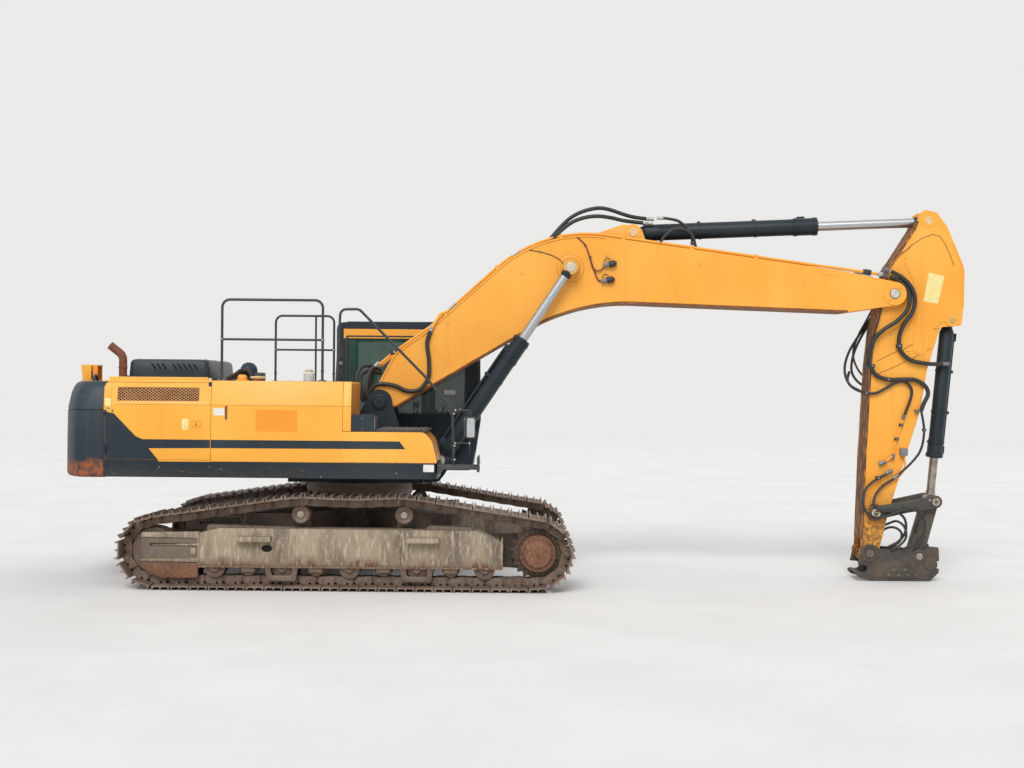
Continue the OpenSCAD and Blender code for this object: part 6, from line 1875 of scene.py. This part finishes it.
armSet = {"half": 0.2, "lip": 0.008, "web": 0.03, "flange": 0.02, "rodPin": (-.947, .355),
          "rocker": (armLength - .506, .022), "bucket": (.247, .759)}
armFront = [[-1.075, .3, 0], [-1.06, .44, .06], [-.9, .59, .12], [-.4, .85, .3], [.06, .885, .3], [.305, .88, .02],
            [.35, .62, .06],
            [.88, .505, .3], [1.4, .465, 0], [armLength - .506, .19, .3], [armLength - .03, .12, .06],
            [armLength + .08, 0, .06]]
armRear = [[armLength - .03, -.105, .06], [armLength - 1.21, -.165, .6], [.9, -.2, .3], [.467, -.19, .2],
           [-.3, -.09, .12], [-.84, .19, .12], [-1.03, .24, .06]]


armSeams = (((890, 266), (900, 255), (911, 246), (922, 238), (932.7, 234.5), (940, 236.5), (944.5, 243), (950, 255),
             (954, 266)),
            ((877, 361), (892, 353.5), (906, 348), (936, 331)), ((877, 374), (892, 368), (912, 358.5), (934, 347)))


# a place seen on the arm's side, in the arm's own frame
def onArm(px, py):
    q = armFrame.inverted() @ seenAt(px, py, -armSet["half"])
    return q.x, q.z


def makeArm():
    a = armSet
    p = Piece("arm_weldment", "arm", "body_paint", armFrame, ["arm"])
    outline = roundedLine(armFront + armRear, 8)
    webOut = a["half"] - a["lip"]
    for s in (-1, 1):
        y0, y1 = mirrored(s, webOut, webOut - a["web"])
        p.plate(outline, y0, y1, "armPaint", .002, 1)
    front = roundedLine(armFront, 8, False)
    rear = roundedLine([armFront[-1]] + armRear + [armFront[0]], 8, False)
    front, rear = dense(front), dense(rear)
    fronts = [c for c in front if .345 <= c.x <= armLength - .16]
    crown = [c for c in front if -.78 <= c.x <= .16]
    rears = [c for c in rear if -.96 <= c.x <= armLength - .075]
    flange(p, fronts, -a["flange"], a["half"], "armPaint")
    flange(p, crown, -a["flange"], a["half"], "armPaint")
    flange(p, rears, -a["flange"], a["half"], "rustFace")
    p.plate([(.13, .6), (.16, .6), (.16, .88), (.13, .88)], -webOut + .01, webOut - .01, "armPaint", .002)
    p.plate([(.13, .6), (.36, .6), (.36, .63), (.13, .63)], -webOut + .01, webOut - .01, "armPaint", .002)
    p.plate([(-.8, .26), (-.77, .26), (-.77, .65), (-.8, .65)], -webOut + .01, webOut - .01, "armPaint", .002)
    for s in (-1, 1):
        face, dirn = s * webOut, (0, s, 0)
        weldLine(p, offsetLine(fronts, -a["flange"] - .001), face, "armPaint", .004)
        weldLine(p, offsetLine(rears, -a["flange"] - .001), face, "wornArmPaint", .004)
        # thicker plate round the pins at the arm's head
        head = roundedLine([[-.985, .33, .02], [-.955, .43, .08], [-.83, .56, .12], [-.42, .79, .25], [.04, .825, .2],
                            [.26, .815, .05], [.3, .6, .1], [.72, .46, .06], [.7, .3, .07], [.05, .33, .3],
                            [-.25, .2, .15], [-.42, .09, .15], [-.8, .24, .15]], 8)
        y0, y1 = mirrored(s, -.001, .0075, face)
        p.plate(head, y0, y1, "armPaint", .003, 2)
        for route in armSeams:                                    # seams of the head plate and of the plates below it
            weldLine(p, [onArm(*q) for q in route], face + s * .002, "seamShade",
                     .0095 if route is armSeams[0] else .0045)
        p.lathe((0, s * (webOut - .004), 0), dirn, [(0, .165), (.03, .16), (.043, .15), (.043, .06)], "armPaint", 48)
        rx, rz = a["rodPin"]
        p.lathe((rx, s * (webOut - .004), rz), dirn, [(0, .115), (.012, .11), (.014, .08), (.02, .075), (.02, .04)],
                "armPaint", 40)
        p.lathe((rx, s * (webOut + .012), rz), dirn, [(0, .048), (.007, .046), (.0085, .04), (.0085, .02),
                                                      (.005, .017), (.005, 0)], "creamPaint", 32)
        bx, bz = a["bucket"]
        p.lathe((bx, s * (webOut + .004), bz), dirn, [(0, .085), (.01, .082), (.01, .055)], "armPaint", 36)
        p.lathe((bx, s * (webOut + .006), bz), dirn, [(0, .05), (.0125, .048), (.0135, .038), (.0135, .018),
                                                      (.01, .015), (.01, 0)], "goldWear", 32)
        kx, kz = a["rocker"]
        p.lathe((kx, s * (webOut - .004), kz), dirn, [(0, .11), (.008, .105), (.02, .085), (.047, .075), (.047, .04)],
                "wornArmPaint", 36)
        p.lathe((armLength, s * .16, 0), dirn, [(0, .12), (.026, .12), (.0295, .11), (.0295, .05)], "wornArmPaint",
                40)
    p.rod((0, -.23, 0), (0, .23, 0), .15, "armPaint", 40)
    for x, z, half, r in ((a["rodPin"][0], a["rodPin"][1], .2, .04), (a["bucket"][0], a["bucket"][1], .2, .04),
                          (a["rocker"][0], a["rocker"][1], .29, .04)):
        p.rod((x, -half, z), (x, half, z), r, "pinSteel", 28)
    p.lathe((a["rocker"][0], -.285, a["rocker"][1]), (0, -1, 0), [(0, .055), (.009, .053), (.01, .03), (.006, .026),
            (.006, 0)], "creamPaint", 28)
    # blank plate on the head
    p.plate([onArm(*q) for q in ((928.6, 272.4), (944.4, 276.3), (937.8, 304), (923.3, 301.3))], -webOut - .0105,
            -webOut - .005, "paleYellowPlate", .001, 1)
    p.done()


makeArm()


rockerSet = {"in": 0.246, "out": 0.284, "low": 0.084, "top": 0.079, "waist": 0.068}


def makeRocker():
    r = rockerSet
    p = Piece("rocker_links", "rocker", "slate_paint", pinFrame(rockerPin, rockerEnd), ["rocker"])
    far = (rockerEnd - rockerPin).length
    for s in (-1, 1):
        y0, y1 = mirrored(s, r["in"], r["out"])
        ends = [(-r["low"] * math.cos(t), r["low"] * math.sin(t)) for t in (math.pi * (k / 12 - .5)
                for k in range(13))]
        tips = [(far + r["top"] * math.cos(t), r["top"] * math.sin(t)) for t in (math.pi * (.5 - k / 12)
                for k in range(13))]
        p.plate(ends + [(far * .5, r["waist"])] + tips + [(far * .5, -r["waist"])], y0, y1, "linkSteel", .005)
        for x, wide in ((0, .062), (far, .06)):
            p.lathe((x, s * r["out"], 0), (0, s, 0), [(0, wide), (.006, wide), (.008, wide - .012), (.008, .042)],
                    "linkSteel", 36)
        p.lathe((far, s * r["in"], 0), (0, -s, 0), [(-.036, .04), (.05, .04)], "pinSteel", 28)
        p.lathe((far, s * .2925, 0), (0, s, 0), [(-.01, .05), (.002, .048), (.002, .02), (-.001, .017), (-.001, 0)],
                "wornSteel", 30)
        p.bolt((far - .07, s * r["out"], .035), (0, s, 0), .009, "pinSteel")
        p.rod((0, s * .285, 0), (0, s * .292, 0), .0405, "pinSteel", 30)
    p.done()


makeRocker()


linkSet = {"half": 0.19, "plateIn": 0.078, "plateOut": 0.186, "low": 0.078, "top": 0.075}


def makePowerLink():
    k = linkSet
    p = Piece("power_link_forging", "power_link", "slate_paint", pinFrame(linkPin, rockerEnd), ["power_link"])
    far = (rockerEnd - linkPin).length
    for x, r in ((0, k["low"]), (far, k["top"])):
        p.lathe((x, -k["half"], 0), (0, 1, 0), [(0, .042), (0, r - .006), (.006, r), (.374, r), (.38, r - .006),
                                                (.38, .042)], "linkSteel", 40)
        for s in (-1, 1):
            p.lathe((x, s * .189, 0), (0, s, 0), [(0, .062), (.003, .062), (.003, .043)], "wornSteel", 32)
    for s in (-1, 1):
        y0, y1 = mirrored(s, k["plateIn"], k["plateOut"])
        p.plate([(.03, .07), (far - .03, .064), (far - .03, -.064), (.03, -.07)], y0, y1, "linkSteel", .012, 3)
    p.plate([(.03, .062), (.25, .06), (.25, -.06), (.03, -.062)], -.08, .08, "linkSteel", .01, 3)
    p.rod((far, -k["half"], 0), (far, k["half"], 0), .0395, "pinSteel", 28)
    p.done()


makePowerLink()

couplerSet = {"jaw": .045, "rear": (.765, -.09), "front": (-.06, -.19)}


def makeCoupler():
    p = Piece("coupler_frame", "coupler", "coupler_steel", couplerFrame, ["coupler"])
    far = (linkPin - tipPin).length
    jaw = couplerSet["jaw"]
    rx, rz = couplerSet["rear"]
    fx, fz = couplerSet["front"]
    hook = [[rx + jaw * math.cos(t), rz + jaw * math.sin(t), 0] for t in (math.radians(90 + 18 * k)
            for k in range(11))]
    catch = [[fx + jaw * math.cos(t), fz + jaw * math.sin(t), 0] for t in (math.radians(-90 + 18 * k)
            for k in range(11))]
    side = [[-.1, .03, .05], [-.02, .098, .08], [.06, .085, .05], [.15, .06, .04], [.5, .062, .06], [.61, .045, .04],
            [.72, .13, .03], [.845, .126, .02], [.862, rz + jaw, .008]] + hook + [[.865, rz - jaw, .01],
            [.862, -.19, .03], [.765, -.293, .02], [.62, -.302, .04], [.02, -.33, .03], [-.11, -.306, .02],
            [-.16, -.266, .01], [-.145, fz - jaw, .008]] + catch + [[-.135, fz + jaw, .01], [-.125, -.1, .03]]
    outline = roundedLine(side, 5)
    for s in (-1, 1):
        y0, y1 = mirrored(s, .2, .24)
        p.plate(outline, y0, y1, "couplerSteel", .005)
        for x, r, rise in ((0, .112, .014), (far, .085, .01)):
            p.lathe((x, s * .239, 0), (0, s, 0), [(0, r), (rise * .6, r), (rise, r - .008), (rise, r * .62),
                                                  (rise * .5, r * .6), (rise * .5, r * .5)], "couplerSteel", 44)
        p.lathe((0, s * .24, 0), (0, s, 0), [(0, .05), (.018, .048), (.02, .04), (.02, .018), (.015, .015),
                                             (.015, 0)], "rollerSteel", 32)
        p.lathe((far, s * .24, 0), (0, s, 0), [(0, .044), (.012, .042), (.013, .034), (.013, .016), (.009, .013),
                                               (.009, 0)], "wornSteel", 32)
        # bolted wear plates and the rim round the rear hook
        p.plate(roundedLine([[.2, -.29, .02], [.61, -.27, .03], [.61, -.18, .04], [.36, -.13, .05], [.2, -.19, .04]],
                            4), *mirrored(s, .239, .252), "couplerSteel", .003)
        for x, z in ((.25, -.25), (.37, -.245), (.48, -.24), (.575, -.235), (.44, -.175), (.31, -.19)):
            p.bolt((x, s * .252, z), (0, s, 0), .014, "rollerSteel")
        p.lathe((rx - .005, s * .239, rz), (0, s, 0), [(0, .082), (.008, .08), (.01, .074), (.01, .05)],
                "couplerSteel", 36)
        p.rod((.15, s * .19, -.05), (.15, s * .252, -.05), .03, "couplerSteel", 20)
    p.plate([(.06, -.3), (.42, -.3), (.42, -.23), (.06, -.23)], -.202, .202, "couplerSteel", .006)
    p.plate([(.5, .03), (.56, .03), (.66, -.1), (.6, -.13)], -.202, .202, "couplerSteel", .005)
    p.rod((.62, -.202, -.245), (.62, .202, -.245), .035, "couplerSteel", 24)
    p.rod((0, -.242, 0), (0, .242, 0), .045, "pinSteel", 30)
    p.rod((far, -.242, 0), (far, .242, 0), .04, "pinSteel", 30)
    p.rod((.3, -.09, -.16), (.58, -.09, -.12), .05, "cylinderPaint", 24, .006)        # the locking cylinder
    p.rod((.56, -.09, -.123), (.7, -.09, -.1), .026, "dullRod", 20)
    p.box((.2, -.15, -.23), (.34, -.03, -.1), "couplerSteel", .008)
    p.rod((-.12, -.2, -.245), (-.12, .2, -.245), .02, "couplerSteel", 16)
    p.done()


makeCoupler()
print("working gear made")
# Hydraulic hoses: routes as pixels of the photograph, each with the depth it runs at; a hose with one body named is
# fixed to that body
hoseSet = {
    "foot_hose_upper": {"bodies": ("boom", "house"), "radius": .025,
        "route": ((375, 366.5, -.195), (370, 371, -.22), (367, 381, -.25), (367, 396, -.28), (370, 412, -.29),
                  (378, 426, -.28))},
    "foot_hose_inner": {"bodies": ("boom", "house"), "radius": .022,
        "route": ((382, 371, -.12), (372, 366, -.15), (362, 367, -.2), (357, 376, -.24), (358, 390, -.27),
                  (364, 402, -.28))},
    "foot_hose_middle": {"bodies": ("boom", "house"), "radius": .02,
        "route": ((381, 374, -.05), (370, 371, -.1), (362, 375, -.15), (361, 386, -.2), (366, 400, -.22))},
    "foot_hose_lower": {"bodies": ("boom", "house"), "radius": .026,
        "route": ((430.5, 331, -.315), (427, 343, -.318), (428.9, 361, -.325), (428, 378, -.325),
                  (419.3, 389.5, -.325), (406.5, 390.8, -.32), (393.8, 385.4, -.32), (376, 385, -.31),
                  (366, 398, -.29))},
    "arm_cylinder_hose_one": {"bodies": ("boom", "arm_barrel"), "radius": .024,
        "route": ((548, 242, -.195), (554, 234.5, -.195), (563, 224.5, -.19), (572, 216.8, -.18), (584, 211, -.17),
                  (598.3, 208.1, -.15), (610, 209.8, -.13), (622.3, 214, -.11), (633.2, 217, -.08),
                  (646, 218.8, -.06))},
    "arm_cylinder_hose_two": {"bodies": ("boom", "arm_barrel"), "radius": .024,
        "route": ((552, 241.5, -.245), (559, 232.5, -.245), (572, 222.3, -.24), (585.2, 217.5, -.22),
                  (598.3, 216.2, -.2), (611.4, 217.9, -.16), (624.5, 220.8, -.13), (643, 223, -.1))},
    "crown_hose_one": {"bodies": ("boom",), "radius": .018,
        "route": ((662, 218, -.195), (670, 219, -.2), (680, 222, -.2), (690, 232, -.2), (693, 245, -.2))},
    "crown_hose_two": {"bodies": ("boom",), "radius": .018,
        "route": ((660, 243, -.245), (664, 237, -.245), (672, 230, -.245), (683, 229, -.245), (692, 235, -.245),
                  (696, 248, -.235))},
    "grease_line": {"bodies": ("boom",), "radius": .0045,
        "route": ((526, 249.6, -.29), (540, 251.8, -.29), (552, 255.5, -.29), (560, 260, -.3), (564, 266, -.31))},
    "grease_loop": {"bodies": ("boom",), "radius": .008, "finish": "redCable",
        "route": ((577, 237, -.29), (585, 245, -.292), (590, 258, -.3), (593, 268, -.31), (599, 271, -.31),
                  (606, 265.5, -.305))},
    "grease_branch": {"bodies": ("boom",), "radius": .008, "finish": "redCable",
        "route": ((590, 258, -.295), (594, 270, -.3), (598, 280, -.3), (604, 281, -.3))},
    "tip_line": {"bodies": ("boom", "arm"), "radius": .011,
        "route": ((881.5, 274, -.236), (883, 288, -.236), (881, 310, -.24), (874, 334, -.235), (868, 352, -.225),
                  (866, 368, -.216))},
    "tip_hose_one": {"bodies": ("boom", "arm"), "radius": .026,
        "route": ((891, 271.5, -.284), (902, 277.5, -.285), (911, 287, -.285), (915, 300, -.285), (912, 313, -.28),
                  (904, 324, -.27), (899.5, 335, -.25), (898.8, 346, -.24))},
    "tip_hose_two": {"bodies": ("boom", "arm"), "radius": .026,
        "route": ((890, 276.5, -.245), (901, 282, -.26), (909.5, 294, -.28), (907.5, 309, -.285), (897, 321, -.285),
                  (884, 329.5, -.275), (874.5, 339, -.255), (869.5, 352, -.24))},
    "tip_hose_left": {"bodies": ("boom", "arm"), "radius": .016,
        "route": ((880, 288, .284), (877, 306, .284), (868, 322, .28), (857, 338, .27), (848, 354, .26),
                  (844.5, 370, .25), (849, 384, .235), (860, 391, .228))},
    "tip_hose_left_two": {"bodies": ("boom", "arm"), "radius": .016,
        "route": ((882, 290, .25), (878, 308, .27), (869, 324, .27), (859.5, 340, .26), (853, 356, .25),
                  (851.5, 371, .24), (857, 381, .23), (866, 387, .217), (875, 389, .213))},
    "tip_hose_left_three": {"bodies": ("boom", "arm"), "radius": .013,
        "route": ((876, 302, .25), (866, 321, .26), (858, 336, .26), (853, 352, .25), (856, 366, .235),
                  (864, 377, .22), (874, 383, .213))},
    "arm_hose_one": {"bodies": ("arm", "bucket_barrel"), "radius": .026,
        "route": ((898.8, 346, -.24), (902.5, 353.5, -.24), (911, 360.3, -.24), (922, 363, -.24), (931, 364, -.225),
                  (942, 364, -.14))},
    "arm_hose_two": {"bodies": ("arm",), "radius": .026,
        "route": ((869.5, 352, -.24), (869.5, 364, -.235), (876, 375, -.235), (888, 379.5, -.235),
                  (902, 379.5, -.235), (915, 380, -.235), (925, 386, -.235), (928, 394, -.235), (924, 403, -.235),
                  (921, 411, -.235))},
    "arm_hose_three": {"bodies": ("arm",), "radius": .017,
        "route": ((849, 372, -.1), (847.5, 381, -.2), (854, 388.5, -.228), (866, 393, -.23), (876, 393, -.23),
                  (886, 388, -.23), (896, 382.5, -.23), (905, 382, -.23), (911, 388, -.23), (911, 397, -.23),
                  (904, 416, -.228))},
    "arm_pipe": {"bodies": ("arm",), "radius": .012, "finish": "armPaint",
        "route": ((903.5, 417.5, -.222), (899, 431, -.222), (895, 444, -.222), (893, 455, -.222),
                  (884, 462.5, -.222))},
    "arm_pipe_short": {"bodies": ("arm",), "radius": .012, "finish": "armPaint",
        "route": ((903.7, 455, -.222), (905, 464, -.222), (902, 473, -.222), (896, 479, -.222))},
    "arm_hose_long": {"bodies": ("arm",), "radius": .015,
        "route": ((921, 410, -.235), (924, 430, -.235), (921, 449, -.235), (912, 462, -.235), (896, 477, -.235))},
    "coupler_hose_one": {"bodies": ("arm", "coupler"), "radius": .016,
        "route": ((886, 474.5, -.235), (876.5, 479.2, -.25), (866, 488.5, -.27), (863, 502, -.3),
                  (866.5, 512.5, -.315), (876, 517.5, -.32), (888, 515.5, -.32), (900, 511, -.32), (911, 509.5, -.32),
                  (920.5, 513.5, -.32), (925, 523, -.315), (923, 534, -.31), (915, 543.5, -.29), (903, 549, -.272))},
    "coupler_hose_two": {"bodies": ("arm", "coupler"), "radius": .016,
        "route": ((893, 479.2, -.235), (882.5, 486, -.245), (875.5, 495, -.27), (873.8, 503.5, -.3),
                  (879, 510, -.318), (889, 511.5, -.32), (899, 513.5, -.32), (905, 520, -.315), (905.5, 531, -.305),
                  (899, 541, -.285), (888, 547, -.272))},
    "coupler_loop_one": {"bodies": ("arm", "coupler"), "radius": .015,
        "route": ((882, 526.5, -.15), (889, 523.2, -.2), (897, 521.2, -.262), (904.4, 527, -.29), (906, 537, -.292),
                  (900, 545, -.288), (890.7, 549.5, -.272))},
    "coupler_loop_two": {"bodies": ("arm", "coupler"), "radius": .015,
        "route": ((881, 531, -.15), (888.5, 527.5, -.205), (896, 528, -.25), (901.5, 533.5, -.255), (899, 542, -.255),
                  (889, 547.5, -.255))},
}
fittingSet = {   # place on the photograph, depth, body, direction seen [right, up], length, radius
    "foot_upper": (377, 364.5, -.195, "boom", (-.8, -.6), .07, .028), "foot_lower": (430.8, 329.5, -.315, "boom",
        (-.2, -1), .08, .026),
    "arm_cyl_one": (650, 219, -.06, "arm_barrel", (1, 0), .1, .026), "arm_cyl_two": (649, 223, -.1, "arm_barrel",
        (1, -.1), .1, .026),
    "crown": (660, 218, -.195, "boom", (1, .05), .08, .026), "tip_one": (887, 270, -.284, "boom", (.9, -.4), .07,
        .028),
    "tip_two": (886, 275, -.245, "boom", (.8, -.5), .07, .028), "tip_line": (881.5, 272, -.236, "boom", (0, -1), .05,
        .014),
    "barrel": (944, 364, -.13, "bucket_barrel", (1, 0), .12, .03), "arm_branch": (917, 411, -.235, "arm", (1, 0), .06,
        .022),
    "arm_pipe_top": (903.5, 417, -.228, "arm", (-.25, -1), .06, .022), "arm_pipe_low": (893, 457, -.222, "arm",
        (-.2, -1), .07, .022),
    "arm_block_one": (882.5, 463, -.235, "arm", (1, .3), .09, .026), "arm_block_two": (889, 472, -.235, "arm",
        (.8, .4), .09, .026),
    "arm_block_three": (896, 476.5, -.235, "arm", (.8, .6), .08, .024),
    "coupler_one": (876, 513, -.3, "coupler", (1, 0), .05, .02), "coupler_low": (897, 547, -.272, "coupler",
        (-1, -.1), .06, .022),}
clampSet = ((394.5, 352, -.245, "boom", .05), (899, 346, -.235, "arm", .035), (872, 366, -.235, "arm", .032),
            (866, 367, -.214, "arm", .015),
            (888, 379.5, -.235, "arm", .032), (866, 393, -.23, "arm", .03), (901, 425, -.222, "arm", .024),
            (896.5, 439, -.222, "arm", .024),
            (924, 430, -.235, "arm", .024), (540, 251.8, -.292, "boom", .01), (590, 257, -.296, "boom", .016),
            (585, 245, -.292, "boom", .014), (693, 243, -.2, "boom", .03), (878, 478, -.24, "arm", .03))
hoseLengths = {}


def makeHoses():
    for name, h in hoseSet.items():
        sides = (1, -1) if name in ("foot_hose_upper", "foot_hose_lower") else (1,)
        for s in sides:
            points = [seenAt(*q) for q in h["route"]]
            for q in points:
                q.y *= s
            line = smoothLine(points, 5)
            p = Piece(name + ("_left" if s < 0 else ""), h["bodies"][0] if len(h["bodies"]) == 1 else None,
                      "cab_trim")
            p.tube(line, h["radius"], h.get("finish", "hoseRubber"), 12)
            hose = p.done()
            if len(h["bodies"]) == 2:
                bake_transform(hose)
            hoseLengths[hose.name] = round(lineLength(line), 2)
    parts = {}

    def pieceOf(body):
        if body not in parts:
            parts[body] = Piece("hose_fittings_" + body, body, "cab_trim")
        return parts[body]
    for name, (px, py, y, body, seen, length, radius) in fittingSet.items():
        for s in (1, -1) if name.startswith("foot") else (1,):
            at, d = seenAt(px, py, y), Vector((seen[0], 0, seen[1])).normalized()
            at.y *= s
            p = pieceOf(body)
            finish = "zinc" if name.startswith(("foot", "arm_cyl", "crown")) else "fittingSteel"
            p.rod(at - d * length / 2, at - d * length * .1, radius, finish, 6, .002)
            p.rod(at - d * length * .12, at + d * length * .3, radius * .82, finish, 20, .002)
            p.rod(at + d * length * .25, at + d * length / 2, radius * .95, finish, 20, .004)
    p = pieceOf("arm")                                            # valve block on the arm
    at = seenAt(903.7, 452, -.235)
    p.box(at - Vector((.045, .035, .045)), at + Vector((.045, .03, .045)), "greyTrim", .01)
    for px, py in ((608, 264.5), (606, 280.5)):                   # the two spare couplings, each with its dark cap
        at, p = seenAt(px, py, -.32), pieceOf("boom")
        p.rod(at + Vector((-.03, .04, 0)), at + Vector((-.03, -.012, 0)), .024, "zinc", 6, .002)
        p.rod(at + Vector((-.06, 0, -.012)), at + Vector((.02, 0, .002)), .026, "greyTrim", 20, .003)
        p.rod(at + Vector((.01, 0, .0)), at + Vector((.085, 0, .016)), .04, "blackPlastic", 24, .008)
        p.rod(at + Vector((.085, 0, .016)), at + Vector((.105, 0, .02)), .026, "blackPlastic", 20, .006)
        p.tube(smoothLine([at + Vector((-.05, 0, .03)), at + Vector((-.02, -.01, .075)),
                           at + Vector((.03, -.01, .06))], 4), .006, "blackPlastic", 8)
    for px, py, y, body, size in clampSet:
        at, p = seenAt(px, py, y), pieceOf(body)
        p.box(at - Vector((size, size * .9, size * .7)), at + Vector((size, size * .9, size * .7)), "blackPlastic",
              size * .2)
        p.bolt(at - Vector((0, size * .9, 0)), (0, -1, 0), size * .3, "zinc", False)
    for p in parts.values():
        p.done()


makeHoses()
print("hoses", hoseLengths)
